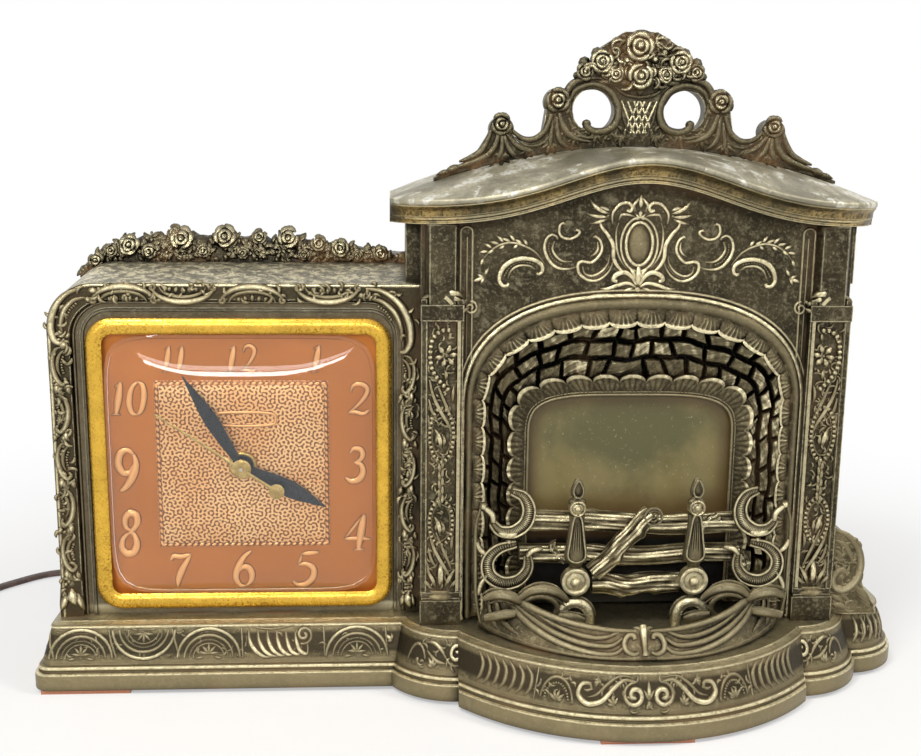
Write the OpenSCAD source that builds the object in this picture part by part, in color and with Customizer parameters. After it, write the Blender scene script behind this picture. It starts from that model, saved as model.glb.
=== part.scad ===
// Electric mantel clock beside a little lit fireplace.
// +X is to the viewer's right, +Y is to the back, +Z is up.
// The origin is on the table, under the middle of the plinth.

/* [Clock face] */
// Outer side of the square bezel
bezel_side = 115; // [100:1:125]
// Width of the gilt bezel ring
bezel_w = 6; // [4:0.5:8]
// How far the bezel stands in front of the face plate
bezel_t = 3; // [2:0.1:5]
// Corner radius of the bezel
bezel_r = 10; // [6:0.5:16]
// Margin of the face plate beside the bezel
face_margin = 5.1; // [3:0.1:10]
// Margin of the face plate over the bezel
face_head = 6.9; // [3:0.1:12]
// Margin of the face plate under the bezel
face_foot = 2.7; // [2:0.1:10]
// Corner radius at the top of the face plate
face_r = 14; // [6:0.5:22]
// Rise of the domed glass at its middle
dome = 10.4; // [9.6:0.2:14]
// Thickness of the glass
glass_t = 1.4; // [1:0.1:2]
// Thickness of the dial sheet
dial_t = 0.8; // [0.5:0.1:1.5]
// Side of the stippled square on the dial
panel_side = 66; // [50:1:80]

/* [Hands] */
// Hour shown
shown_hour = 3; // [0:1:11]
// Minute shown
shown_min = 54; // [0:1:59]
// Second shown
shown_sec = 50.7; // [0:0.1:59.9]
// Length of the hour hand
hour_len = 35.8; // [28:0.5:40]
// Length of the minute hand
min_len = 42; // [34:0.5:46]
// Length of the second hand
sec_len = 38.7; // [30:0.5:46]
// Length of the second hand's tail
sec_tail = 19; // [10:0.5:24]
// Thickness of the hour and minute hands
hand_t = 0.5; // [0.3:0.1:0.8]

/* [Clock case] */
// Width of the scrolled border at the outer side
border_w = 8.1; // [6:0.1:14]
// Width of the scrolled border at the fireplace side
border_in = 5.3; // [4:0.1:10]
// Height of the scrolled border over the face plate
border_top = 6.3; // [5:0.1:12]
// Depth of the clock case
case_d = 55; // [52:1:75]
// Rise of the roof from its front edge to the garland
roof_rise = 4; // [2:0.5:8]
// Distance from the front edge to the garland
roof_run = 40; // [34:1:42]
// Radius of the case's top corner
case_r = 18; // [8:1:24]
// Height of the rose garland over the roof
garland_h = 12; // [6:0.5:20]
// Depth of the rose garland
garland_d = 14; // [8:1:15]
// Wall of the castings
wall = 3; // [2:0.1:4]

/* [Fireplace] */
// Width of the fireplace body
fire_w = 161.8; // [150:0.5:185]
// Depth of the fireplace body
fire_d = 63.5; // [60:0.5:80]
// Height of the fireplace body at its ends
fire_h = 154; // [135:1:175]
// Rise of the camel-back shelf at its middle
camel_rise = 16; // [8:0.5:24]
// Half width at which the camel-back has fallen away
camel_run = 41; // [32:1:50]
// Half width of the hearth opening
arch_half = 63.6; // [55:0.5:64]
// Height of the hearth opening
arch_h = 127; // [105:1:130]
// Rise of the arch over its springing
arch_rise = 42; // [30:1:50]
// Width of a column
col_w = 15.9; // [12:0.1:16.5]
// How far a column stands in front of the body
col_d = 4.5; // [3:0.1:7]
// Height of a column's foot block
col_foot = 10; // [6:0.5:16]
// Height of the bud capital over the plinth
col_bud = 123; // [100:1:130]

/* [Shelf and crest] */
// Half length of the shelf
shelf_half = 92.5; // [88:0.5:105]
// Height of the moulded edge
cornice_h = 9.2; // [6:0.2:14]
// How far the shelf's middle stands in front of the body
shelf_bow = 19; // [12:0.5:26]
// Height of the shelf's ridge at its middle over the moulded edge
ridge_rise = 3.6; // [1:0.1:8]
// Distance from the body's front to the ridge
ridge_y = 13.5; // [9:0.5:22]
// Height of the crest over the ridge
crest_h = 42; // [30:1:55]
// Thickness of the crest
crest_t = 7; // [4:0.5:10]
// Radius of the two round holes in the crest
loop_r = 7.8; // [5:0.1:8.5]

/* [Hearth] */
// Width of the leaf border
leaf_w = 8.5; // [5:0.5:12]
// Depth of the brick reveal
reveal_d = 5.2; // [3:0.2:10]
// Half width of the screen window
win_half = 39.8; // [30:0.5:42]
// Height of the window's top over the plinth
win_top = 90; // [80:1:94]
// Width of the scalloped window frame
win_frame = 5.8; // [3:0.2:7]
// Radius of the bowed fender
fender_r = 69; // [66:0.5:76]
// Height of the fender
fender_h = 9.5; // [6:0.5:14]
// Half distance between the andirons
iron_half = 22.5; // [18:0.5:28]
// Height of an andiron
iron_h = 60; // [45:1:70]
// Radius of the logs
log_r = 2.9; // [2.2:0.1:3.2]

/* [Plinth] */
// Length of plinth beyond the clock case
end_step = 9.6; // [6:0.1:20]
// Length of plinth beyond the fireplace
right_step = 35.4; // [26:0.1:60]
// Depth of the plinth from the bow to the back
base_d = 116; // [112:1:130]
// Depth of the plinth under the clock
left_d = 68; // [64:1:76]
// Height of the plinth over its pads
base_h = 25.3; // [20:0.1:34]
// Height of the plain rim
rim_h = 7; // [5:0.5:10]
// Radius of the bowed front
bow_r = 90; // [84:1:110]
// Radius of the round pedestals
ped_r = 29.7; // [25:0.1:30]
// Thickness of the pads
pad_t = 1.5; // [1:0.1:3]

/* [Movement] */
// Thickness of the movement plates
plate_t = 1.2; // [0.8:0.1:2]
// Distance between the movement plates
plate_gap = 13.8; // [13:0.1:18]
// Radial running clearance of the arbors
run = 0.05; // [0.02:0.01:0.1]
// Module of the seconds wheel and the motion work
mod_a = 0.5; // [0.45:0.01:0.55]
// Module of the intermediate wheel
mod_b = 0.4; // [0.36:0.01:0.44]
// Radius of the motor can
can_r = 16; // [12:0.5:16.5]
// Length of the motor can
can_l = 13; // [8:0.5:14]
// Radius of the setting knob
knob_r = 7; // [5:0.5:9]

/* [Lamp] */
// Radius of the lamp bulb
bulb_r = 10; // [8:0.5:13]
// Length of the lamp bulb
bulb_l = 40; // [30:1:48]
// Radius of the flicker drum
drum_r = 19; // [17:0.5:22]
// Height of the flicker drum
drum_h = 44; // [30:1:52]

/* [Cord] */
// Width of the flat twin lead
cord_w = 5.2; // [4.4:0.1:6]
// Thickness of the flat twin lead
cord_t = 2.7; // [2.2:0.1:3.2]
// Inner radius of the coil
coil_in = 16.5; // [12:0.5:18]

/* [Hidden] */
$fn = 48;

// Colours as the photograph shows them
bronze = [0.36, 0.31, 0.2];
dark_bronze = [0.2, 0.18, 0.13];
silvered = [0.62, 0.6, 0.52];
gilt = [0.8, 0.6, 0.2];
copper = [0.86, 0.5, 0.34];
brassy = [0.72, 0.58, 0.28];
steel = [0.6, 0.61, 0.62];
hand_blue = [0.07, 0.09, 0.13];
brown = [0.2, 0.11, 0.08];

// Clearances
seam = 0.3;
slip = 0.1;
eps = 0.01;

// Plan of the whole, from left to right and from back to front
face_w = bezel_side + 2 * face_margin;
base_w = end_step + border_w + face_w + 2 * seam + border_in + fire_w + right_step;
left_x = -base_w / 2;
case_x0 = left_x + end_step;
dial_x = case_x0 + border_w + seam + face_w / 2;
fire_x0 = dial_x + face_w / 2 + seam + border_in;
fx = fire_x0 + fire_w / 2;
fire_x1 = fire_x0 + fire_w;
back_y = base_d / 2;
case_y = back_y - case_d;
fire_y = back_y - fire_d;
rim_y = back_y - left_d;

// Heights
deck_z = pad_t + base_h;
dial_z = deck_z + face_foot + bezel_side / 2;
face_h = face_foot + bezel_side + face_head;
case_top = deck_z + face_h + seam + border_top;
roof_z = case_top + roof_rise;

// Depths of the face, from the front of the case
border_t = 4.5;
field_y = case_y + bezel_t;
flange_y = case_y + border_t;
flange_t = 1.5;
lip_t = 1.2;
dial_y = flange_y;
post_y = dial_y + 8;
plate_y = post_y;
plate2_y = plate_y + plate_t + plate_gap;
back_plate_y = plate2_y + plate_t;
cover_t = 1;
cover_y = back_y - 10;

// Extrudes a drawing in X and Z between two depths
module slab(y0, y1) {
  translate([0, y1, 0]) rotate([90, 0, 0]) linear_extrude(y1 - y0) children();
}

// Round bar along Y
module rod(x, z, r, y0, y1, n = 48) {
  translate([x, y1, z]) rotate([90, 0, 0]) cylinder(h = y1 - y0, r = r, $fn = n);
}

// Box between two corners
module block(a, b) {
  translate(a) cube(b - a);
}

// Square with round corners, centred
module soft_square(w, h, r) {
  square([w - 2 * r, h], center = true);
  square([w, h - 2 * r], center = true);
  for (i = [-1, 1])
    for (j = [-1, 1])
      translate([i * (w / 2 - r), j * (h / 2 - r)]) circle(r);
}

// Plate standing on the deck, round only at its top corners
module tombstone(w, h, r) {
  translate([-w / 2, 0]) square([w, h - r]);
  translate([-w / 2 + r, 0]) square([w - 2 * r, h]);
  for (i = [-1, 1]) translate([i * (w / 2 - r), h - r]) circle(r);
}

// Closed skin through rings of points, capped at both ends or joined in a loop
module skin(rings, joined = false) {
  n = len(rings[0]);
  m = len(rings);
  last = joined ? m : m - 1;
  sides = [
    for (i = [0:last - 1])
      for (j = [0:n - 1])
        let (a = i * n + j, b = i * n + (j + 1) % n)
        let (c = ((i + 1) % m) * n + j, d = ((i + 1) % m) * n + (j + 1) % n)
          each [[a, c, b], [b, c, d]]
  ];
  caps = joined ? [] : [[for (j = [0:n - 1]) j], [for (j = [n - 1:-1:0]) (m - 1) * n + j]];
  polyhedron(points = [for (r = rings) each r], faces = concat(sides, caps), convexity = 8);
}

// Plinth
bow_y = -base_d / 2 + bow_r;
ped_dx = fire_w / 2 - 14.4;
ped_y = fire_y + 11;
lobe_r = 23;
lobe_y = fire_y + 24;
bow_half = ped_dx;

// Outline of the plinth, drawn in by a distance
module plan(d) {
  x1 = base_w / 2 - d;
  round_r = 6;
  difference() {
    translate([left_x + d, rim_y + d]) square([fx - left_x, left_d - 2 * d]);
    translate([left_x + d - 1, rim_y + d - 1]) square([round_r - d / 2 + 1, round_r - d / 2 + 1]);
  }
  translate([left_x + d + round_r - d / 2, rim_y + d + round_r - d / 2]) circle(round_r - d / 2);
  translate([fx - ped_dx, rim_y + d]) square([x1 - lobe_r - fx + ped_dx, left_d - 2 * d]);
  intersection() {
    translate([fx, bow_y]) circle(bow_r - d, $fn = 96);
    translate([fx - bow_half, -base_d]) square([2 * bow_half, base_d + back_y - d]);
  }
  for (s = [-1, 1]) translate([fx + s * ped_dx, ped_y]) circle(ped_r - d);
  translate([x1 - lobe_r + d, lobe_y]) circle(lobe_r - d);
  translate([x1 - lobe_r, lobe_y]) square([lobe_r, back_y - d - lobe_y]);
}

// Steps of the plinth's moulding: inset, and height as a share of what is over the rim
rim_steps = [[2.6, 0.1], [1.4, 0.22], [3.6, 0.36], [4.6, 0.52], [5.6, 0.68], [6.8, 0.84], [8.5, 1]];
deck_in = 8.5;
rim_w = 11.5;

module base_plinth() {
  color(bronze)
  difference() {
    translate([0, 0, pad_t]) {
      linear_extrude(rim_h) plan(0);
      for (s = rim_steps) linear_extrude(rim_h + s[1] * (base_h - rim_h)) plan(s[0]);
    }
    translate([0, 0, pad_t - 1]) linear_extrude(base_h - wall + 1) plan(rim_w);
  }
}

// Pads under the rim
pad_w = 9;
pad_l = 34;
module foot_pads() {
  color([0.72, 0.42, 0.3]) {
    block([left_x + 3, rim_y + 1, 0], [left_x + 3 + pad_l, rim_y + 1 + pad_w, pad_t]);
    block([left_x + 3, back_y - 1 - pad_w, 0], [left_x + 3 + pad_l, back_y - 1, pad_t]);
    block([fx - pad_l / 2, -back_y + 2.5, 0], [fx + pad_l / 2, -back_y + 2.5 + pad_w, pad_t]);
    block([base_w / 2 - 1.5 - pad_w, lobe_y, 0], [base_w / 2 - 1.5, lobe_y + pad_l, pad_t]);
  }
}

// Clock case
case_w = fire_x0 - case_x0;
case_hf = case_top - deck_z;
case_hb = roof_z - deck_z;

// Case outline: round at its free corner, square against the fireplace
module case_shape(h, d) {
  r = max(case_r - d, 1);
  translate([case_x0 + d, deck_z]) square([case_w - 2 * d, h - d - r]);
  translate([case_x0 + d + r, deck_z]) square([case_w - 2 * d - r, h - d]);
  translate([case_x0 + d + r, deck_z + h - d - r]) circle(r);
}

boss_r = 4;
pilot_r = 1.1;
cover_in = 0.3;
// Places of the back cover's screws
case_bosses = [
  [case_x0 + wall + boss_r, deck_z + boss_r + 1],
  [fire_x0 - wall - boss_r, deck_z + boss_r + 1],
  [case_x0 + wall + case_r, roof_z - wall - boss_r],
  [fire_x0 - wall - boss_r, roof_z - wall - boss_r]
];

module clock_case() {
  color(bronze)
  difference() {
    union() {
      difference() {
        union() {
          hull() {
            slab(case_y, case_y + 0.5) case_shape(case_hf, 0);
            slab(case_y + roof_run, case_y + roof_run + 0.5) case_shape(case_hb, 0);
          }
          slab(case_y + roof_run, back_y) case_shape(case_hb, 0);
        }
        hull() {
          slab(flange_y, flange_y + 0.5) case_shape(case_hf, wall);
          slab(case_y + roof_run, case_y + roof_run + 0.5) case_shape(case_hb, wall);
        }
        slab(case_y + roof_run, back_y + 1) case_shape(case_hb, wall);
        translate([0, 0, -1]) slab(flange_y, back_y + 1)
          translate([case_x0 + wall, deck_z]) square([case_w - 2 * wall, 3]);
        slab(case_y - 1, flange_y + 1) translate([dial_x, deck_z - 1])
          tombstone(face_w + 2 * seam, face_h + seam + 1, face_r + seam);
      }
      for (p = case_bosses) rod(p[0], p[1], boss_r + 0.5, cover_y - 8, cover_y);
      // Scrolled foot that flares out onto the plinth
      slab(case_y, case_y + 18) polygon([
        [case_x0, deck_z], [case_x0 - end_step + deck_in + 0.4, deck_z],
        [case_x0 - 0.7 * (end_step - deck_in) - 0.2, deck_z + 5], [case_x0, deck_z + 16]
      ]);
    }
    for (p = case_bosses) rod(p[0], p[1], pilot_r, cover_y - 7, cover_y + 1);
    // Way for the lamp lead into the fireplace
    translate([fire_x0 - wall - 1, lead_y, lead_z]) rotate([0, 90, 0]) cylinder(h = wall + 2, r = 3);
  }
}
lead_y = cover_y - 14;
lead_z = deck_z + 14;

// Garland of roses along the roof
garland_y = case_y + roof_run;
garland_x0 = case_x0 + case_r * 0.6;
garland_l = fire_x0 - seam - garland_x0;
roses = [
  [0.03, 0.25, 3.8], [0.1, 0.5, 4], [0.19, 0.72, 5], [0.29, 0.72, 4], [0.39, 0.8, 5.4],
  [0.52, 0.78, 5.2], [0.63, 0.7, 4.2], [0.73, 0.76, 4.8], [0.84, 0.5, 4.2], [0.94, 0.3, 3.6]
];
function hump(u) = pow(max(sin(180 * (0.04 + 0.94 * u)), 0), 0.6);

module rose_garland() {
  color(bronze)
  difference() {
    union() {
      slab(garland_y, garland_y + garland_d) polygon(concat(
        [[garland_x0 + garland_l, roof_z], [garland_x0, roof_z]],
        [for (i = [0:16]) [garland_x0 + garland_l * i / 16, roof_z + 0.72 * garland_h * hump(i / 16)]]
      ));
      for (r = roses)
        translate([garland_x0 + r[0] * garland_l, garland_y + 3, roof_z + r[1] * garland_h])
          sphere(r[2], $fn = 32);
    }
    block([case_x0 - 20, garland_y - 20, roof_z - 20], [fire_x0 + 1, back_y, roof_z]);
    block([fire_x0 - seam, garland_y - 20, roof_z - 20], [fire_x0 + 20, back_y, roof_z + 40]);
    block([case_x0, garland_y - 20, roof_z - 20], [fire_x0 + 1, garland_y, roof_z + 1]);
  }
}

// Fireplace
function bell(x) = exp(-pow(x / camel_run, 2));
function under_z(x) = deck_z + fire_h + camel_rise * bell(x);
function top_z(x) = under_z(x) + cornice_h;
fire_half = fire_w / 2;
body_n = 48;
body_line = [for (i = [0:body_n]) -fire_half + fire_w * i / body_n];

// Outline of the hearth opening and of all that follows it
function arch(a, b, z0, zb, n, k = 36) = concat(
  [[fx - a, zb], [fx + a, zb]],
  [for (i = [1:3]) [fx + a, zb + (z0 - zb) * i / 4]],
  [for (i = [0:k]) let (t = 180 * i / k)
    [fx + a * sign(cos(t)) * pow(abs(cos(t)), 2 / n), z0 + b * pow(sin(t), 2 / n)]],
  [for (i = [3:-1:1]) [fx - a, zb + (z0 - zb) * i / 4]]
);
spring_z = deck_z + arch_h - arch_rise;
function opening(d, zb) = arch(arch_half - d, arch_rise - d, spring_z, zb, 2.45);

// Side block that carries the shelf's end over the clock's roof
side_out = 5.4;
module side_block(s) {
  x = s < 0 ? fire_x0 - side_out : fire_x1 - wall / 2;
  z1 = under_z(fire_half) - seam;
  y0 = 3;
  y1 = roof_run - seam;
  slope = roof_rise / roof_run;
  translate([x, 0, 0]) rotate([90, 0, 90]) linear_extrude(side_out + wall / 2) polygon([
    [case_y + y0, case_top + y0 * slope], [case_y + y1, case_top + y1 * slope],
    [case_y + y1, z1], [case_y + y0, z1]
  ]);
}

fire_bosses = [
  [fire_x0 + wall + boss_r, deck_z + boss_r + 1], [fire_x1 - wall - boss_r, deck_z + boss_r + 1],
  [fire_x0 + wall + boss_r, deck_z + fire_h - wall - boss_r - 2],
  [fire_x1 - wall - boss_r, deck_z + fire_h - wall - boss_r - 2]
];
module fireplace_body() {
  color(bronze)
  difference() {
    union() {
      difference() {
        slab(fire_y, back_y) polygon(concat(
          [[fire_x1, deck_z], [fire_x0, deck_z]], [for (x = body_line) [fx + x, under_z(x)]]
        ));
        slab(fire_y + wall, back_y + 1) polygon(concat(
          [[fire_x1 - wall, deck_z - 1], [fire_x0 + wall, deck_z - 1]],
          [for (x = body_line) [fx + x * (1 - 2 * wall / fire_w), under_z(x) - wall]]
        ));
      }
      for (p = fire_bosses) rod(p[0], p[1], boss_r + 0.5, fire_cover_y - 8, fire_cover_y);
      for (s = [-1, 1]) side_block(s);
    }
    slab(fire_y - 1, fire_y + wall + 1) polygon(opening(0, deck_z - 1));
    for (p = fire_bosses) rod(p[0], p[1], pilot_r, fire_cover_y - 7, back_y + 1);
    translate([fire_x0 - 1, lead_y, lead_z]) rotate([0, 90, 0]) cylinder(h = wall + 2, r = 3);
  }
}

// Columns: foot block, ring, panelled shaft, bud capital and plain half-round top
module column(x0) {
  w = col_w;
  y0 = fire_y - col_d;
  top = under_z(fire_half);
  foot_z = deck_z + col_foot;
  bud_z = deck_z + col_bud;
  strip = 2.3;
  block([x0, y0, deck_z], [x0 + w, fire_y, foot_z]);
  block([x0 + 0.6, y0 + 0.4, foot_z], [x0 + w - 0.6, fire_y, foot_z + 1]);
  translate([x0 + 0.4, fire_y, foot_z + 2]) intersection() {
    rotate([0, 90, 0]) cylinder(h = w - 0.8, r = 1.6);
    translate([0, -5, -5]) cube([w, 5, 10]);
  }
  block([x0 + 0.4, y0 + 1, foot_z + 1], [x0 + w - 0.4, fire_y, foot_z + 3]);
  block([x0 + 0.6, y0 + 1.4, foot_z + 3], [x0 + w - 0.6, fire_y, bud_z]);
  block([x0 + 0.2, y0 + 0.6, foot_z + 3], [x0 + strip, fire_y, bud_z + 4]);
  block([x0 + w - strip, y0 + 0.6, foot_z + 3], [x0 + w - 0.2, fire_y, bud_z + 4]);
  block([x0, y0, bud_z - 4], [x0 + w, fire_y, bud_z + 2]);
  intersection() {
    translate([x0 + w / 2, fire_y, bud_z]) cylinder(h = top - bud_z, r = w / 2 - 1.6);
    block([x0, y0 + 0.3, bud_z], [x0 + w, fire_y, top + 1]);
  }
}

module column_left() {
  color(bronze) column(fire_x0);
}

module column_right() {
  color(bronze) column(fire_x1 - col_w);
}

// Shelf with its moulded camel-back edge
crest_y = fire_y + ridge_y;
function ridge_z(x) = deck_z + fire_h + camel_rise + cornice_h + ridge_rise
  - (camel_rise + ridge_rise) * pow(x / shelf_half, 2);
function front_y(x) = crest_y - (ridge_y + shelf_bow)
  * pow(max(1 - pow(abs(x) / shelf_half, 3.5), 0), 0.45);
// Moulding: distance back from the edge, and height as a share of the edge
moulding = [
  [6.6, 0], [6.6, 0.14], [5.6, 0.18], [5.6, 0.26], [4.9, 0.3], [4.3, 0.5], [2.9, 0.66],
  [1.2, 0.72], [0.7, 0.78], [0, 0.82], [0, 0.96], [0.5, 1]
];
function shelf_ring(x) =
  let (y0 = front_y(x), d = min(1, (crest_y - y0) / 9), zb = under_z(x), zr = ridge_z(x))
  concat(
    [[x, back_y, zb]],
    [for (p = moulding) [x, y0 + d * p[0], zb + cornice_h * p[1]]],
    [for (t = [0.2, 0.4, 0.6, 0.8, 1])
      [x, y0 + 0.5 * d + (crest_y - y0 - 0.5 * d) * t, zb + cornice_h
        + max(zr - zb - cornice_h, 0.2) * (1 - pow(1 - t, 1.6))]],
    [[x, back_y, zb + cornice_h + max(zr - zb - cornice_h, 0.2)]]
  );
shelf_line = concat(
  [for (x = [-0.985, -0.95]) x * shelf_half],
  [for (x = body_line) x],
  [for (x = [0.95, 0.985]) x * shelf_half]
);

module mantel_shelf() {
  color(silvered) translate([fx, 0, 0]) skin([for (x = shelf_line) shelf_ring(x)]);
}

// Crest: scrolled ribbon with two round holes, a basket of roses and four buds
bud_list = [[-51, 0.15, 4.6], [-30, 0.39, 5.2], [30, 0.39, 5.2], [51, 0.15, 4.6]];
function crest_line(x) = ridge_z(x) + 0.02;
module crest_strip(h) {
  polygon(concat(
    [for (x = [-76:4:76]) [x, crest_line(x)]],
    [for (x = [76:-4:-76]) [x, crest_line(x) + h * (1 - pow(abs(x) / 80, 2)) + 0.4]]
  ));
}
cut_half = shelf_half + 3.5;
module crest() {
  zr = ridge_z(0);
  color(bronze)
  translate([fx, 0, 0])
  slab(crest_y - crest_t / 2, crest_y + crest_t / 2)
  difference() {
    union() {
      crest_strip(7);
      for (s = [0, 1]) mirror([s, 0]) {
        translate([17, zr + 0.31 * crest_h]) circle(loop_r + 3.4);
        polygon([[24, zr - 1], [37, zr - 3], [34, zr + 0.38 * crest_h], [25, zr + 0.42 * crest_h]]);
        polygon([[42, zr - 5], [64, ridge_z(64) + 0.2], [54.5, zr + 0.14 * crest_h],
          [47.5, zr + 0.14 * crest_h]]);
      }
      polygon([[-8, zr], [8, zr], [12, zr + 0.5 * crest_h], [22, zr + 0.62 * crest_h],
        [14, zr + 0.86 * crest_h], [6, zr + 0.98 * crest_h], [-6, zr + 0.98 * crest_h],
        [-14, zr + 0.86 * crest_h], [-22, zr + 0.62 * crest_h], [-12, zr + 0.5 * crest_h]]);
      translate([0, zr + 0.85 * crest_h]) circle(0.15 * crest_h);
      for (b = bud_list) translate([b[0], zr + b[1] * crest_h - 0.5]) circle(b[2]);
    }
    for (s = [-1, 1]) translate([s * 17, zr + 0.31 * crest_h]) circle(loop_r);
    polygon(concat([[-2 * cut_half, 0], [-2 * cut_half, ridge_z(cut_half)]],
      [for (i = [-24:24]) let (x = cut_half * i / 24) [x, crest_line(x)]],
      [[2 * cut_half, ridge_z(cut_half)], [2 * cut_half, 0]]));
  }
}

// Scroll bracket at the fireplace's free side
module side_volute() {
  x0 = fire_x1;
  y0 = fire_y + 2;
  h = 37;
  color(bronze)
  slab(y0, y0 + 15) {
    polygon([[x0, deck_z], [x0 + 21, deck_z], [x0 + 20, deck_z + 4], [x0 + 16, deck_z + 9],
      [x0 + 14, deck_z + 0.4 * h], [x0 + 14, deck_z + 0.55 * h], [x0 + 10, deck_z + 0.8 * h],
      [x0 + 5, deck_z + 0.94 * h], [x0, deck_z + h]]);
    translate([x0 + 8.5, deck_z + 16]) circle(6.4);
  }
}

// Face plate: a field inside the scrolled border and a flange behind it
hole_half = bezel_side / 2 - 2.9;
module dial_surround() {
  fw = 2.5;
  color(silvered)
  difference() {
    union() {
      slab(field_y, flange_y) translate([dial_x, deck_z]) tombstone(face_w, face_h, face_r);
      slab(flange_y, flange_y + flange_t) translate([dial_x, deck_z])
        tombstone(face_w + 2 * fw, face_h + fw, face_r + fw);
      for (s = [-1, 1]) rod(dial_x + s * ear_x, dial_z, 3, flange_y + flange_t - eps, post_y);
    }
    slab(field_y - 1, flange_y + flange_t + 1) translate([dial_x, dial_z])
      soft_square(2 * hole_half, 2 * hole_half, bezel_r - 2.9);
    for (s = [-1, 1]) rod(dial_x + s * ear_x, dial_z, pilot_r, post_y - 5, post_y + 1);
  }
}
ear_x = hole_half + 4.4;

// Bezel: rounded ring, rebated for the glass, with a spigot through the face plate
lip_half = bezel_side / 2 - bezel_w;
rebate_half = lip_half + 1.5;
module ring_sweep(half, r) {
  s = half - r;
  for (k = [0:3]) rotate([0, 0, 90 * k]) {
    translate([s, 0, 0]) rotate([90, 0, 0]) translate([0, 0, -s]) linear_extrude(2 * s)
      translate([r - half, 0]) children();
    translate([s, s, 0]) rotate_extrude(angle = 90) translate([r - half, 0]) children();
  }
}
module bezel() {
  h = bezel_side / 2;
  w = bezel_w;
  color(gilt)
  translate([dial_x, field_y, dial_z]) rotate([90, 0, 0]) {
    difference() {
      ring_sweep(h, bezel_r) {
        intersection() {
          translate([h - w, 0]) square([w, bezel_t]);
          translate([h - w / 2, bezel_t - w * 0.72]) circle(w * 0.72, $fn = 64);
        }
      }
      translate([0, 0, -1]) linear_extrude(1 + bezel_t - lip_t)
        soft_square(2 * rebate_half, 2 * rebate_half, bezel_r - 4.5);
    }
    difference() {
      translate([0, 0, -4]) linear_extrude(4 + 0.6)
        soft_square(2 * hole_half - 2 * slip, 2 * hole_half - 2 * slip, bezel_r - 2.9);
      translate([0, 0, -5]) linear_extrude(7)
        soft_square(2 * rebate_half, 2 * rebate_half, bezel_r - 4.5);
    }
  }
}

// Domed glass with a flat rim in the bezel's rebate
glass_seg = 48;
glass_ring = 7;
function gauge(t, p) = pow(pow(abs(cos(t)), p) + pow(abs(sin(t)), p), -1 / p);
function dome_ring(half, h, s) = [
  for (j = [0:glass_seg - 1])
    let (t = 360 * j / glass_seg, p = 2 + 7 * s * s, r = s * half * gauge(t, p))
      [r * cos(t), r * sin(t), h * (1 - pow(s, 3))]
];
module dome_solid(half, h, z0) {
  skin(concat(
    [[for (p = dome_ring(half, h, 1)) [p[0], p[1], z0]]],
    [for (i = [0:glass_ring - 1]) dome_ring(half, h, 1 - 0.97 * i / (glass_ring - 1))]
  ));
}
module crystal() {
  rim_y0 = field_y - bezel_t + lip_t;
  color([0.85, 0.9, 0.92, 0.35])
  translate([dial_x, rim_y0, dial_z]) rotate([90, 0, 0])
  difference() {
    union() {
      dome_solid(lip_half - slip, dome - 0.6, -0.6);
      translate([0, 0, -1.1]) linear_extrude(1.1 - 0.02)
        soft_square(2 * rebate_half - 2 * slip, 2 * rebate_half - 2 * slip, bezel_r - 4.6);
    }
    dome_solid(lip_half - slip - glass_t, dome - 0.6 - glass_t, -3);
  }
}

// Dial with its raised square, and four feet that stand on the movement
dial_half = rebate_half - 0.2;
foot_half = 24;
module dial_plate() {
  color(copper)
  difference() {
    union() {
      slab(dial_y, dial_y + dial_t) translate([dial_x, dial_z])
        soft_square(2 * dial_half, 2 * dial_half, bezel_r - 4.7);
      slab(dial_y - 0.3, dial_y) translate([dial_x, dial_z]) square(panel_side, center = true);
      for (i = [-1, 1])
        for (j = [-1, 1])
          rod(dial_x + i * foot_half, dial_z + j * 21, 1.5, dial_y + dial_t - eps, plate_y);
    }
    rod(dial_x, dial_z, collar_in + 0.9, dial_y - 1, dial_y + dial_t + 1);
  }
}

// Arbor radii, each running in the next
sec_r = 0.6;
min_in = sec_r + run;
min_r = 1.4;
hr_in = min_r + run;
hr_r = 2.1;
collar_in = hr_r + seam + 0.05;
module dial_collar() {
  color(brassy)
  difference() {
    union() {
      rod(dial_x, dial_z, 5.4, dial_y - 1.9, dial_y - 0.3);
      rod(dial_x, dial_z, collar_in + 0.9, dial_y - 0.4, dial_y + dial_t);
    }
    rod(dial_x, dial_z, collar_in, dial_y - 3, dial_y + dial_t + 1);
  }
}

// Train: teeth, places and phases
n_sec_wheel = 36;
n_motor = 10;
n_sec_pin = 8;
n_mid = 60;
n_mid_pin = 8;
n_centre = 64;
n_cannon = 10;
n_min = 30;
n_min_pin = 8;
n_hour = 32;
n_set = 12;
mid_dist = mod_b * (n_sec_pin + n_mid) / 2;
mod_c = 2 * mid_dist / (n_mid_pin + n_centre);
motor_dist = mod_a * (n_sec_wheel + n_motor) / 2;
min_dist = mod_a * (n_cannon + n_min) / 2;
set_dist = mod_a * (n_min + n_set) / 2;
mid_dir = 150;
motor_dir = -90;
min_dir = 25;
set_dir = -35;
// Turn that puts a follower in mesh with its driver, which lies the other way along the line
function mesh(dir, n1, n2, a) = dir + 180 - 180 / n2 + (dir - a) * n1 / n2;
mid_turn = mesh(mid_dir, n_sec_pin, n_mid, 0);
centre_turn = mesh(mid_dir + 180, n_mid_pin, n_centre, mid_turn);
motor_turn = mesh(motor_dir, n_sec_wheel, n_motor, 0);
min_turn = mesh(min_dir, n_cannon, n_min, centre_turn);
hour_turn = mesh(min_dir + 180, n_min_pin, n_hour, min_turn);
set_turn = mesh(set_dir, n_min, n_set, min_turn);
function polar(d, a) = [dial_x + d * cos(a), dial_z + d * sin(a)];
mid_at = polar(mid_dist, mid_dir);
motor_at = polar(motor_dist, motor_dir);
min_at = polar(min_dist, min_dir);
set_at = min_at + set_dist * [cos(set_dir), sin(set_dir)];

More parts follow.
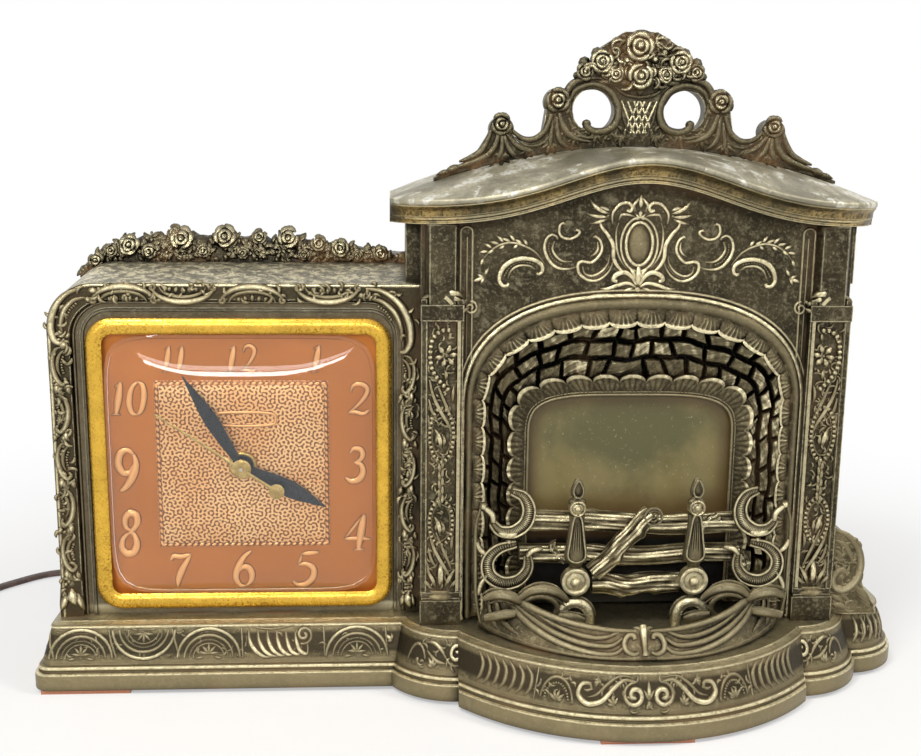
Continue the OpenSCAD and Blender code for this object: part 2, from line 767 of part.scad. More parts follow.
// Toothed disc, drawn thin in the tooth so that it runs freely
module gear(n, m, turn) {
  rp = n * m / 2;
  pitch = 360 / n;
  rotate(turn) polygon([
    for (i = [0:n - 1])
      each [
        for (q = [[-0.24, -0.95], [-0.13, 0.55], [0.13, 0.55], [0.24, -0.95]])
          let (a = (i + q[0]) * pitch, r = rp + q[1] * m) [r * cos(a), r * sin(a)]
      ]
  ]);
}
module wheel_at(p, n, m, turn, y0, y1, bore, spokes = 0) {
  rp = n * m / 2;
  slab(y0, y1) translate(p) difference() {
    gear(n, m, turn);
    circle(bore);
    if (spokes > 0)
      for (k = [0:spokes - 1]) rotate(turn + 360 * k / spokes)
        translate([rp * 0.56, 0]) circle(rp * 0.24);
  }
}
// Turned bar along Y at a place in the movement
module bar(p, r, y0, y1) {
  rod(p[0], p[1], r, y0, y1, 32);
}
centre = [dial_x, dial_z];

// Depths of the train
hour_y = dial_y + dial_t + 1.2;
cannon_y = hour_y + 2.1;
centre_y = plate_y + plate_t + 1.2;
mid_y = centre_y + 3.6;
sec_y = mid_y + 4;
wheel_t = 1.2;

// Depths of the hands, from the front
second_y = case_y - 2.8;
minute_y = case_y - 0.6;
hourhand_y = case_y + 1.4;
sec_turn = shown_sec * 6;
min_hand_turn = (shown_min + shown_sec / 60) * 6;
hour_hand_turn = (shown_hour + shown_min / 60 + shown_sec / 3600) * 30;

// Leaf-shaped blade that points up before it is turned to the time shown
module blade(len, w, at, root) {
  polygon([[root, 2], [w, at * len], [0, len], [-w, at * len], [-root, 2]]);
}
module hour_hand() {
  color(hand_blue)
  slab(hourhand_y, hourhand_y + hand_t) translate(centre) rotate(-hour_hand_turn)
  difference() {
    union() {
      circle(4.3);
      blade(hour_len, 3.3, 0.56, 1.6);
    }
    circle(hr_r + eps);
  }
}
module minute_hand() {
  color(hand_blue)
  slab(minute_y, minute_y + hand_t) translate(centre) rotate(-min_hand_turn)
  difference() {
    union() {
      circle(3.4);
      blade(min_len, 2.7, 0.52, 1.4);
    }
    circle(min_r + eps);
  }
}
module second_hand() {
  color(brassy) {
    slab(second_y, second_y + 0.4) translate(centre) rotate(-sec_turn)
    difference() {
      union() {
        circle(3.7);
        polygon([[0.65, 0], [0.3, sec_len], [-0.3, sec_len], [-0.65, 0]]);
        translate([-0.7, -sec_tail]) square([1.4, sec_tail]);
        translate([0, 3 - sec_tail]) circle(3);
      }
      circle(sec_r + eps);
    }
  }
}
module seconds_arbor() {
  color(steel) {
    bar(centre, sec_r, second_y - 1, plate2_y + plate_t);
    bar(centre, 1.1, second_y + 0.4, minute_y - 0.5);
    wheel_at(centre, n_sec_pin, mod_b, 0, mid_y - 0.6, mid_y + wheel_t + 0.6, sec_r - 0.05);
    wheel_at(centre, n_sec_wheel, mod_a, 0, sec_y, sec_y + wheel_t, sec_r - 0.05, 5);
  }
}
module centre_wheel() {
  color(brassy)
  difference() {
    union() {
      bar(centre, min_r, minute_y, centre_y + wheel_t + 0.8);
      slab(cannon_y - 0.1, cannon_y + wheel_t + 0.1) translate(centre)
        gear(n_cannon, mod_a, centre_turn);
      wheel_at(centre, n_centre, mod_c, centre_turn, centre_y, centre_y + wheel_t, min_in, 5);
    }
    bar(centre, min_in, minute_y - 1, centre_y + 9);
  }
}
module intermediate_wheel() {
  color(brassy) {
    bar(mid_at, sec_r, plate_y, back_plate_y);
    wheel_at(mid_at, n_mid_pin, mod_c, mid_turn, centre_y - 0.5, mid_y, sec_r - 0.05);
    wheel_at(mid_at, n_mid, mod_b, mid_turn, mid_y, mid_y + wheel_t, sec_r - 0.05, 5);
  }
}
module minute_wheel() {
  color(brassy) {
    wheel_at(min_at, n_min, mod_a, min_turn, cannon_y, cannon_y + wheel_t, stud_r + run, 4);
    wheel_at(min_at, n_min_pin, mod_a, min_turn, hour_y - 0.2, cannon_y, stud_r + run);
  }
}
stud_r = 0.7;
module hour_wheel() {
  color(brassy)
  difference() {
    union() {
      bar(centre, hr_r, hourhand_y, hour_y + wheel_t);
      slab(hour_y, hour_y + wheel_t) translate(centre) gear(n_hour, mod_a, hour_turn);
    }
    bar(centre, hr_in, hourhand_y - 1, hour_y + 5);
  }
}
motor_shaft_r = 0.8;
module motor_pinion() {
  color(steel) {
    bar(motor_at, motor_shaft_r, sec_y - 1, back_plate_y + 3);
    wheel_at(motor_at, n_motor, mod_a, motor_turn, sec_y - 0.4, sec_y + wheel_t + 0.4,
      motor_shaft_r - 0.05);
  }
}
set_r = 1;
module set_arbor() {
  color(steel) {
    bar(set_at, set_r, cannon_y - 0.4, back_y - 3);
    wheel_at(set_at, n_set, mod_a, set_turn, cannon_y, cannon_y + wheel_t, set_r - 0.05);
  }
}
module set_knob() {
  color(brassy)
  difference() {
    union() {
      bar(set_at, knob_r - 2.5, cover_y + cover_t + 0.5, cover_y + cover_t + 3);
      bar(set_at, knob_r, cover_y + cover_t + 3, back_y - 1);
    }
    bar(set_at, set_r + eps, cover_y, back_y - 2.9);
    for (k = [0:11]) translate([set_at[0] + knob_r * cos(30 * k), 0, set_at[1] + knob_r * sin(30 * k)])
      rod(0, 0, 0.7, cover_y + cover_t + 2, back_y, 16);
  }
}

// Movement plates
plate_x0 = -28;
plate_x1 = 28;
plate_z0 = -34;
plate_z1 = 25;
pillars = [[-25, 22], [25, 22], [-25, -31], [25, -31]];
module plate_shape(y, ears) {
  slab(y, y + plate_t) translate(centre) difference() {
    union() {
      translate([plate_x0, plate_z0]) square([plate_x1 - plate_x0, plate_z1 - plate_z0]);
      if (ears) translate([-ear_x - 4, -5]) square([2 * ear_x + 8, 10]);
    }
    for (p = pillars) translate(p) circle(1.3);
    translate(mid_at - centre) circle(sec_r + run);
    translate(set_at - centre) circle(set_r + run);
    if (ears) {
      circle(min_r + run);
      for (s = [-1, 1]) translate([s * ear_x, 0]) circle(1.4);
    } else {
      circle(sec_r + run);
      translate(motor_at - centre) circle(motor_shaft_r + run);
    }
  }
}
module movement_plate_front() {
  color(brassy) {
    plate_shape(plate_y, true);
    bar(min_at, stud_r, hour_y - 0.4, plate_y + eps);
  }
}
module movement_plate_back() {
  color(brassy) plate_shape(plate2_y, false);
}
module movement_pillars() {
  color(steel)
  for (p = pillars) {
    bar(centre + p, 2.3, plate_y + plate_t, plate2_y);
    bar(centre + p, 1.3 - eps, plate_y, back_plate_y + 0.6);
  }
}
module movement_screws() {
  color(steel)
  for (s = [-1, 1]) {
    bar(centre + [s * ear_x, 0], 2.6, plate_y + plate_t, plate_y + plate_t + 1.6);
    bar(centre + [s * ear_x, 0], pilot_r - eps, post_y - 4.5, plate_y + plate_t + 0.1);
  }
}

// Motor: sealed can, laminated core and coil
module motor_can() {
  color([0.55, 0.38, 0.24])
  difference() {
    union() {
      bar(motor_at, can_r, back_plate_y + 0.7, back_plate_y + 0.7 + can_l);
      bar(motor_at, 3.2, back_plate_y, back_plate_y + 1);
    }
    bar(motor_at, motor_shaft_r + run, back_plate_y - 1, back_plate_y + 3.2);
  }
}
core_y = back_plate_y + 3;
core_t = 7;
coil_z = motor_at[1] - can_r - 13;
module stator_core() {
  cx = motor_at[0];
  cz = motor_at[1];
  color(dark_bronze)
  difference() {
    block([cx - can_r - 5, core_y, coil_z - 4], [cx + can_r + 1.2, core_y + core_t, cz + 4]);
    block([cx - can_r - 10, core_y - 1, coil_z + 4], [cx - can_r + 3, core_y + core_t + 1, cz - can_r + 3]);
    rod(cx, cz, can_r + slip, core_y - 1, core_y + core_t + 1, 64);
    block([cx - 11, core_y - 1, coil_z + 4], [cx + 11, core_y + core_t + 1, cz]);
  }
}
module motor_coil() {
  cx = motor_at[0];
  color([0.45, 0.2, 0.1])
  difference() {
    translate([cx - 10.8, core_y + core_t / 2, coil_z]) rotate([0, 90, 0]) cylinder(h = 21.6, r = 8);
    block([cx - 12, core_y - slip, coil_z - 4 - slip], [cx + 12, core_y + core_t + slip, coil_z + 4 + slip]);
  }
}

// Hearth insert: leaf border, brick reveal, scalloped frame and a flange behind the wall
window_z0 = deck_z + 71;
window_zb = deck_z + 6;
function window(d) = arch(win_half + d, deck_z + win_top - window_z0 + d, window_z0, window_zb - 0.4 * d, 4);
function at_y(pts, y) = [for (p = pts) [p[0], y, p[1]]];
insert_y = fire_y - 1.5;
screen_y = fire_y + wall + 2;
module hearth_insert() {
  fy = insert_y + reveal_d;
  zb = deck_z + seam;
  color(bronze) skin([
    at_y(opening(0.5, zb + 0.4), insert_y),
    at_y(opening(0.5 + leaf_w, zb + 1), insert_y),
    at_y(window(win_frame), fy),
    at_y(window(win_frame), fy - 1.2),
    at_y(window(0), fy - 1.2),
    at_y(window(0), screen_y),
    at_y(opening(-3, zb), screen_y),
    at_y(opening(-3, zb), fire_y + wall),
    at_y(opening(0.5, zb + 0.4), fire_y + wall)
  ], joined = true);
}

// Translucent screen behind the window
screen_t = 0.8;
screen_over = 2.5;
screen_foot = 30;
module fire_screen() {
  color([0.55, 0.52, 0.36, 0.8])
  slab(screen_y, screen_y + screen_t)
    polygon(arch(win_half + screen_over, deck_z + win_top - window_z0 + screen_over, window_z0,
      deck_z + screen_foot, 4));
}

// Bowed fender with its scrolls, on a thin hearth plate
fender_bow = 36.8;
fender_y = fire_y - col_d + fender_r - fender_bow;
fender_turn = 61;
hearth_t = 1.6;
eye_list = [-36, -22, 22, 36];
scroll_r = 7.4;
scroll_t = 2;
module arc_tube(x, z, a0, a1) {
  translate([x, 0, z]) rotate([90, 0, 0]) rotate([0, 0, a0]) rotate_extrude(angle = a1 - a0)
    translate([scroll_r, 0]) circle(scroll_t, $fn = 24);
}
module side_scroll(s) {
  translate([fx, log_y - log_r - seam - scroll_t - 0.8, 0]) mirror([s > 0 ? 1 : 0, 0, 0]) translate([-48.5, 0, 0]) {
    arc_tube(0, deck_z + 26.7, 90, 380);
    arc_tube(0, deck_z + 26.7 + 2 * scroll_r, -90, 160);
    translate([scroll_r * cos(20), 0, deck_z + 26.7 + scroll_r * sin(20)]) sphere(scroll_t + 0.6, $fn = 24);
    translate([scroll_r * cos(160), 0, deck_z + 26.7 + scroll_r * (2 + sin(160))])
      sphere(scroll_t + 0.6, $fn = 24);
    translate([-4, 0, deck_z + seam + 1]) cylinder(h = 20, r = 2.2, $fn = 24);
  }
}
module fender() {
  z0 = deck_z + seam;
  r = fender_r;
  color(bronze) {
    difference() {
      translate([fx, fender_y, z0]) rotate([0, 0, -90 - fender_turn])
        rotate_extrude(angle = 2 * fender_turn, $fn = 96) polygon([
          [r, 0], [r, hearth_t], [r - 1.4, hearth_t + 0.8], [r - 2.8, fender_h],
          [r - 5.2, fender_h], [r - 4.6, hearth_t], [r - 24, hearth_t], [r - 24, 0]
        ]);
      for (a = eye_list) translate([fx, fender_y, z0 + 0.6 * fender_h]) rotate([90, 0, a])
        cylinder(h = r + 5, r = 1.7, $fn = 24);
      block([fx - r, insert_y - seam, deck_z], [fx + r, back_y, deck_z + 2 * fender_h]);
    }
    side_scroll(-1);
    side_scroll(1);
  }
}

// Andiron: reeded half-round foot, boss, baluster, small boss and flame
iron_y = insert_y - 13;
module andiron(s) {
  z = deck_z + seam + hearth_t;
  k = (iron_h - 10) / 50;
  x = fx + s * iron_half;
  difference() {
    rod(x, z, 9, iron_y - 2, iron_y + 2);
    block([x - 12, iron_y - 4, z - 12], [x + 12, iron_y + 4, z]);
    rod(x, z + 3.4, 2, iron_y - 4, iron_y + 4);
  }
  rod(x, z + 8 + 11 * k, 5, iron_y - 2.6, iron_y + 2);
  translate([x, iron_y, z]) rotate_extrude() polygon([
    [0, 6], [1.6, 6], [1.6, 8 + 16 * k], [2.2, 8 + 19 * k], [3, 8 + 23 * k], [2.6, 8 + 30 * k],
    [1.7, 8 + 37 * k], [2.4, 8 + 38 * k], [2.4, 8 + 39 * k], [1.6, 8 + 42 * k], [2, 8 + 45 * k],
    [2.3, 8 + 47 * k], [1.2, 8 + 50.5 * k], [0, 8 + 52 * k]
  ]);
  rod(x, z + 8 + 40.5 * k, 3, iron_y - 2.8, iron_y + 1.6);
}
module andiron_left() {
  color(bronze) andiron(-1);
}
module andiron_right() {
  color(bronze) andiron(1);
}

// Cast logs on two uprights
log_y = insert_y - 0.5 - log_r;
module log(p0, p1, r, y = log_y) {
  d = p1 - p0;
  l = norm(d);
  translate([fx + p0[0], y, deck_z + p0[1]]) rotate([0, 90 - atan2(d[1], d[0]), 0])
    cylinder(h = l, r = r, $fn = 24);
}
module log_grate() {
  color(dark_bronze) {
    log([-39, 41], [41, 40.6], log_r);
    log([-44, 28.6], [42, 28.2], log_r);
    log([-13.5, 16], [19, 15.6], log_r * 0.9);
    log([-15, 23], [7.5, 45], log_r, log_y - log_r * 1.4);
    for (s = [-1, 1]) block([fx + s * 12 - 1.5, log_y - 1.5, deck_z],
      [fx + s * 12 + 1.5, log_y + 1.5, deck_z + 40]);
  }
}

// Lamp, its bracket and the drum that turns over it
lamp_y = (screen_y + back_y) / 2 + 2;
socket_z = deck_z + 16;
bulb_z = socket_z + 18;
pivot_z = bulb_z + bulb_l + 14;
needle_r = 0.5;
arm_x = (bulb_r + drum_r) / 2;
module lamp_bracket() {
  color(steel) {
    difference() {
      union() {
        block([fx - 9, lamp_y - 6, deck_z], [fx + arm_x + 1, lamp_y + 6, deck_z + 1.4]);
        block([fx - 9, lamp_y - 6, deck_z], [fx - 7.6, lamp_y + 6, socket_z]);
        block([fx - 9, lamp_y - 8, socket_z - 1.4], [fx + 9, lamp_y + 8, socket_z]);
      }
      translate([fx, lamp_y, socket_z - 5]) cylinder(h = 10, r = 4);
      translate([fx + 4, lamp_y, deck_z - 1]) cylinder(h = 4, r = 1.6);
    }
    // Wire that carries the needle over the bulb
    translate([fx + arm_x, lamp_y, deck_z]) cylinder(h = pivot_z - 8 - deck_z, r = 0.9, $fn = 24);
    block([fx - 1, lamp_y - 0.8, pivot_z - 9], [fx + arm_x, lamp_y + 0.8, pivot_z - 7.6]);
    translate([fx, lamp_y, pivot_z - 8]) cylinder(h = 8, r = needle_r, $fn = 24);
  }
}
module lamp_socket() {
  color([0.1, 0.09, 0.08])
  difference() {
    union() {
      translate([fx, lamp_y, socket_z]) cylinder(h = 18, r = 8);
      translate([fx, lamp_y, socket_z - 7]) cylinder(h = 7.1, r = 4 - slip);
    }
    translate([fx, lamp_y, socket_z + 4]) cylinder(h = 15, r = 6.2);
  }
}
module lamp_bulb() {
  r = bulb_r;
  color([0.9, 0.55, 0.2, 0.8])
  translate([fx, lamp_y, bulb_z - 12]) rotate_extrude() polygon(concat(
    [[0, -1.9], [3, -1.9], [5.8, 0], [5.8, 12]],
    [for (t = [0:10:180]) [5.8 * (1 - t / 180) + (r - 5.8 * (1 - t / 180)) * sin(t),
      12 + bulb_l / 2 * (1 - cos(t))]]
  ));
}
drum_t = 0.5;
module flame_drum() {
  z1 = pivot_z + 1.2;
  color([0.8, 0.35, 0.15, 0.7])
  translate([fx, lamp_y, 0])
  difference() {
    union() {
      translate([0, 0, z1 - drum_h]) cylinder(h = drum_h, r = drum_r, $fn = 64);
      translate([0, 0, z1 - 5]) cylinder(h = 5.4, r = 2);
    }
    translate([0, 0, z1 - drum_h - 1]) difference() {
      cylinder(h = drum_h + 0.4, r = drum_r - drum_t, $fn = 64);
      translate([0, 0, drum_h - 4]) cylinder(h = 6, r = 2);
    }
    translate([0, 0, z1 - 6]) cylinder(h = 4.85, r = needle_r + run, $fn = 24);
    for (k = [0:7]) rotate([0, 0, 45 * k]) translate([0, 0, z1 - 2]) linear_extrude(4)
      polygon([[5, 0], [drum_r - 2.5, 0], [drum_r - 4, 5], [6, 2.4]]);
    for (k = [0:5]) rotate([0, 0, 60 * k + 20]) translate([drum_r - 3, -2.5, z1 - drum_h * 0.82])
      cube([6, 5, drum_h * 0.5]);
  }
}

// Back covers with their screws
cover_gap = 0.3;
relief_at = [dial_x - 30, deck_z + 12];
module clock_back() {
  color(dark_bronze)
  difference() {
    slab(cover_y, cover_y + cover_t) case_shape_in();
    for (p = case_bosses) rod(p[0], p[1], 1.4, cover_y - 1, cover_y + 3);
    bar(set_at, set_r + 0.6, cover_y - 1, cover_y + 3);
    rod(relief_at[0], relief_at[1], relief_r + slip, cover_y - 1, cover_y + 3);
    for (k = [-3:3]) rod(dial_x + 9 * k, roof_z - 24, 2.2, cover_y - 1, cover_y + 3);
  }
}
module case_shape_in() {
  d = wall + cover_gap;
  r = max(case_r - d, 1);
  h = case_hb;
  translate([case_x0 + d, deck_z + cover_gap]) square([case_w - 2 * d, h - d - r - cover_gap]);
  translate([case_x0 + d + r, deck_z + cover_gap]) square([case_w - 2 * d - r, h - d - cover_gap]);
  translate([case_x0 + d + r, deck_z + h - d - r]) circle(r);
}
module cover_screw(p, y) {
  rod(p[0], p[1], 2.4, y, y + 1.2, 32);
  rod(p[0], p[1], pilot_r - eps, y - 6, y + 0.1, 32);
}
module clock_back_screws() {
  color(steel) for (p = case_bosses) cover_screw(p, cover_y + cover_t);
}
fire_cover_y = back_y - 4;
module firebox_back() {
  g = wall + cover_gap;
  color(dark_bronze)
  difference() {
    slab(fire_cover_y, fire_cover_y + cover_t) polygon(concat(
      [[fire_x1 - g, deck_z + cover_gap], [fire_x0 + g, deck_z + cover_gap]],
      [for (x = body_line) [fx + x * (1 - 2 * g / fire_w), under_z(x) - g]]
    ));
    for (p = fire_bosses) rod(p[0], p[1], 1.4, fire_cover_y - 1, back_y);
    for (i = [-4:4])
      for (j = [0:1]) rod(fx + 11 * i, deck_z + 128 + 10 * j, 2.4, fire_cover_y - 1, back_y);
  }
}
module firebox_back_screws() {
  color(steel) for (p = fire_bosses) cover_screw(p, fire_cover_y + cover_t);
}

// Cord: relief, lead to the floor, coil, tail and plug
relief_r = 5;
relief_l = 22;
relief_y0 = cover_y - 3;
relief_y1 = cover_y + cover_t + relief_l;
module cord_relief() {
  color([0.14, 0.1, 0.09])
  difference() {
    union() {
      rod(relief_at[0], relief_at[1], relief_r, cover_y - 0.1, cover_y + cover_t + 0.1);
      rod(relief_at[0], relief_at[1], relief_r + 1.8, relief_y0, cover_y);
      translate([relief_at[0], cover_y + cover_t, relief_at[1]]) rotate([-90, 0, 0])
        cylinder(h = 2, r = relief_r + 1.5);
      translate([relief_at[0], cover_y + cover_t, relief_at[1]]) rotate([-90, 0, 0])
        cylinder(h = relief_l, r1 = relief_r, r2 = cord_w / 2 + 0.9);
    }
    translate([relief_at[0], relief_y1 - 3, relief_at[1]]) rotate([-90, 0, 0])
      cylinder(h = 4, r = cord_w / 2 + 0.1);
  }
}

// Centre lines: hand-chosen points, smoothed
lie = cord_t / 2 + 0.05;
lead_pts = [
  [relief_at[0], relief_y1 - 3, relief_at[1]], [relief_at[0], relief_y1 + 4, relief_at[1] - 0.5],
  [-123, 83, 33], [-127, 94, 21], [-134, 105, 8], [-146, 114, 2], [-170, 122, lie],
  [-198, 120, lie], [-214, 108, lie], [-224, 94, lie]
];
coil_at = [-270, 84];
coil_pitch = 7;
coil_rise = cord_t + 0.9;
coil_dir = -20;
coil_turns = 8.389;
coil_in_turns = (coil_turns - 0.5) / 2;
coil_out = coil_in + coil_pitch * coil_in_turns;
function ease(t) = t * t * (3 - 2 * t);
function coil_rad(t) = t < coil_in_turns ? coil_out - coil_pitch * t
  : t < coil_in_turns + 0.5 ? coil_in
  : coil_in + coil_pitch * (t - coil_in_turns - 0.5);
function coil_z_at(t) = lie + coil_rise * ease(min(max((t - coil_in_turns) / 0.5, 0), 1));
function coil_pt(t) =
  let (a = coil_dir - 360 * t)
    [coil_at[0] + coil_rad(t) * cos(a), coil_at[1] + coil_rad(t) * sin(a), coil_z_at(t)];
coil_steps = round(coil_turns * 24);
coil_line = [for (i = [0:coil_steps]) coil_pt(coil_turns * i / coil_steps)];
function head(a) = [sin(a), -cos(a), 0];
in_head = head(coil_dir);
out_head = head(coil_dir - 360 * coil_turns);
coil_path = concat(
  [coil_line[0] - cord_w * in_head], coil_line, [coil_line[coil_steps] + cord_w * out_head]
);
coil_start = coil_path[0];
coil_end = coil_path[len(coil_path) - 1];

// Curve through points, with its end directions given
function spline(p, t0, t1, k) = [
  for (i = [0:len(p) - 2])
    let (a = i == 0 ? t0 : (p[i + 1] - p[i - 1]) / 2)
    let (b = i == len(p) - 2 ? t1 : (p[i + 2] - p[i]) / 2)
      for (j = [0:k - 1])
        let (t = j / k, t2 = t * t, t3 = t2 * t)
          p[i] * (2 * t3 - 3 * t2 + 1) + a * (t3 - 2 * t2 + t) + p[i + 1] * (3 * t2 - 2 * t3)
            + b * (t3 - t2)
];
function unit(v) = v / norm(v);
// Flat oval section carried along a line, broad side down
function oval(p, dir, n) =
  let (side = unit(cross(dir, [0, 0, 1])), up = cross(side, dir))
    [for (k = [0:n - 1]) let (a = 360 * (k + 0.5) / n)
      p + side * cord_w / 2 * cos(a) + up * cord_t / 2 * sin(a)];
function line_dir(l, i, d0, d1) = i == 0 ? d0 : i == len(l) - 1 ? d1 : unit(l[i + 1] - l[i - 1]);
function tube(l, d0, d1, n) = [for (i = [0:len(l) - 1]) oval(l[i], line_dir(l, i, d0, d1), n)];
function span(l) = [for (i = [1:len(l) - 1]) norm(l[i] - l[i - 1])];
function total(v, i = 0) = i < len(v) ? v[i] + total(v, i + 1) : 0;

lead_line = concat(
  [for (p = spline(concat(lead_pts, [coil_start]), [0, 12, 0], in_head * 14, 3))
    [p[0], p[1], max(p[2], lie)]],
  [coil_start]
);
plug_head = out_head;
tail_l = 52;
tail_pts = [
  coil_end, coil_end + out_head * 20 + [0, 0, -0.6 * coil_rise],
  coil_end + out_head * 34 + [0, 0, lie - coil_end[2]],
  coil_end + out_head * tail_l + [0, 0, lie - coil_end[2]]
];
tail_line = concat(spline(tail_pts, out_head * 16, out_head * 12, 4), [tail_pts[3]]);

// Least gap of the coil to itself, in a space where the oval is round
squash = cord_w / cord_t;
coil_gap = min([
  for (i = [0:2:coil_steps])
    for (j = [i + 14:2:coil_steps])
      let (d = coil_line[i] - coil_line[j])
        (norm([d[0], d[1], d[2] * squash]) - cord_w) / squash
]);
echo(coil_gap_mm = coil_gap);
echo(cord_length_mm = total(span(lead_line)) + total(span(coil_path)) + total(span(tail_line)));

module cord_lead() {
  color(brown) skin(tube(lead_line, [0, 1, 0], in_head, 10));
}
module cord_coil() {
  color(brown) skin(tube(coil_path, in_head, out_head, 6));
}
module cord_tail() {
  color(brown) skin(tube(tail_line, out_head, plug_head, 10));
}

// Two-blade plug, lying flat
plug_at = tail_line[len(tail_line) - 1];
plug_turn = atan2(plug_head[1], plug_head[0]);
plug_l = 26;
plug_hw = 11;
plug_hh = 6.5;
module plug_body() {
  color([0.13, 0.09, 0.08])
  translate([plug_at[0], plug_at[1], 0]) rotate([0, 0, plug_turn]) {
    translate([8, -plug_hw, 0]) cube([plug_l - 8, 2 * plug_hw, 2 * plug_hh]);
    translate([0, 0, 0]) intersection() {
      translate([0, 0, plug_at[2]]) rotate([0, 90, 0]) cylinder(h = 8.1, r1 = cord_w / 2 + 1.2, r2 = plug_hw);
      translate([0, -plug_hw, 0]) cube([8.1, 2 * plug_hw, 2 * plug_hh]);
    }
  }
}
module plug_blades() {
  color(brassy)
  translate([plug_at[0], plug_at[1], 0]) rotate([0, 0, plug_turn])
    for (s = [-1, 1]) translate([plug_l, s * 6.35 - 0.75, plug_hh - 3.15]) cube([17, 1.5, 6.3]);
}

base_plinth();
foot_pads();
clock_case();
rose_garland();
fireplace_body();
column_left();
column_right();
mantel_shelf();
crest();
side_volute();
dial_surround();
bezel();
crystal();
dial_plate();
dial_collar();
hour_hand();
minute_hand();
second_hand();
hearth_insert();
fire_screen();
fender();
andiron_left();
andiron_right();
log_grate();
movement_plate_front();
movement_plate_back();
movement_pillars();
movement_screws();
seconds_arbor();
centre_wheel();
intermediate_wheel();
minute_wheel();
hour_wheel();
motor_can();
motor_pinion();
stator_core();
motor_coil();
set_arbor();
set_knob();
lamp_bracket();
lamp_socket();
lamp_bulb();
flame_drum();
clock_back();
clock_back_screws();
firebox_back();
firebox_back_screws();
cord_relief();
cord_lead();
cord_coil();
cord_tail();
plug_body();
plug_blades();
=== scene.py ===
from math import acos, asin, atan2, copysign, cos, degrees, dist, exp, hypot, pi, radians, sin, sqrt

import bpy
from mathutils import Matrix, Vector


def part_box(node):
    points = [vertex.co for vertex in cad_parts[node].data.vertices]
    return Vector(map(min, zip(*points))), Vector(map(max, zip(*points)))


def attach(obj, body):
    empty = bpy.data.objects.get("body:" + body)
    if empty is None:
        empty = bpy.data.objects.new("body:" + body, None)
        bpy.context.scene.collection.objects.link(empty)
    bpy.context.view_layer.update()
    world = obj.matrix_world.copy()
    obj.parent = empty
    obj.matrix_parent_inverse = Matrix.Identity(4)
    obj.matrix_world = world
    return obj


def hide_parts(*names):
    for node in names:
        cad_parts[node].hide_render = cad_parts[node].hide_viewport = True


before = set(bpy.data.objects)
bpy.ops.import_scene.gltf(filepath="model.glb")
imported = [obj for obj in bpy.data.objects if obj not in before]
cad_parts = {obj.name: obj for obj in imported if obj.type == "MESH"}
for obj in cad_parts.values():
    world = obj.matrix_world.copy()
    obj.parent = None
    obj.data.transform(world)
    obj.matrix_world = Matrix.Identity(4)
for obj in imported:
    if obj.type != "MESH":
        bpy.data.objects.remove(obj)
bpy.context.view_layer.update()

bl_info = {
    "name": "Electric mantel clock",
    "version": (1, 0, 0),
    "blender": (4, 5, 0),
    "location": "View3D > Sidebar > Clock",
    "description": "Dresses the solids of a cast mantel clock with a lit fireplace beside its dial",
    "category": "Object",
}

MM = 0.001
HOME = "clock"


def cosd(a):
    """Cosine of an angle in degrees."""
    return cos(radians(a))


def sind(a):
    """Sine of an angle in degrees."""
    return sin(radians(a))


def corners(node):
    """Lowest and highest corner of a solid, in millimetres."""
    lo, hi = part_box(node)
    return [c / MM for c in lo], [c / MM for c in hi]


# Places that the solids give
BASE_LO, BASE_HI = corners("base_plinth")
CASE_LO, CASE_HI = corners("clock_case")
BEZEL_LO, BEZEL_HI = corners("bezel")
SHELF_LO, SHELF_HI = corners("mantel_shelf")
COL_LO, COL_HI = corners("column_left")
COR_LO, COR_HI = corners("column_right")
SCREEN_LO = corners("fire_screen")[0]
VOLUTE_LO = corners("side_volute")[0]

DIAL_X = (BEZEL_LO[0] + BEZEL_HI[0]) / 2
DIAL_Z = (BEZEL_LO[2] + BEZEL_HI[2]) / 2
FX = (SHELF_LO[0] + SHELF_HI[0]) / 2
FIRE_X0, FIRE_X1 = COL_LO[0], COR_HI[0]
COL_W = COL_HI[0] - COL_LO[0]
COL_Y = COL_LO[1]
BACK_Y = BASE_HI[1]
DECK = BASE_HI[2]
CASE_X0 = -163.4
CASE_Y = CASE_LO[1]
ROOF_Z = CASE_HI[2]
CASE_TOP = ROOF_Z - 4.0
CASE_ROUND = 18.0
SLOPE_Y = CASE_Y + 40.0
RELIEF = 1.5


# Sizes and colours that a user would change
def colour(name, words, value):
    """A colour property."""
    return bpy.props.FloatVectorProperty(
        name=name, description=words, default=value, size=3, subtype="COLOR", min=0, max=1
    )


class ClockFinish(bpy.types.PropertyGroup):
    """Colours and wear of the finishes"""
    # the hollow colour also serves as the painted shade that the ambient occlusion lays where parts close in
    hollow: colour("Hollows", "Bronze wash left dark in the hollows", (0.020, 0.015, 0.008))
    wash: colour("Wash", "Bronze wash on plain metal", (0.135, 0.108, 0.056))
    rubbed: colour("Rubbed metal", "Metal rubbed bright on the high spots", (0.84, 0.745, 0.47))
    silver: colour("Silvered metal", "White metal where the wash has gone", (0.42, 0.385, 0.275))
    dust: colour("Dust", "Brown dust in the corners", (0.17, 0.092, 0.034))
    gilt: colour("Gilt", "Gilt of the bezel", (0.75, 0.455, 0.062))
    dial: colour("Dial", "Copper of the dial", (0.550, 0.176, 0.024))
    figures: colour("Figures", "Bright copper of the figures", (0.92, 0.46, 0.17))
    hands: colour("Hands", "Blue black lacquer of the hands", (0.006, 0.010, 0.015))
    cord: colour("Cord", "Aged brown of the lead", (0.045, 0.026, 0.020))
    wear: bpy.props.FloatProperty(
        name="Wear", description="How far the high spots are rubbed", default=0.55, min=0, max=1, subtype="FACTOR"
    )


class ClockOrnament(bpy.types.PropertyGroup):
    """Size of the cast ornament"""
    relief: bpy.props.FloatProperty(
        name="Relief", description="Height of the highest scrolls over their ground", default=RELIEF * MM,
        min=0.5 * MM, max=3 * MM, subtype="DISTANCE", unit="LENGTH"
    )


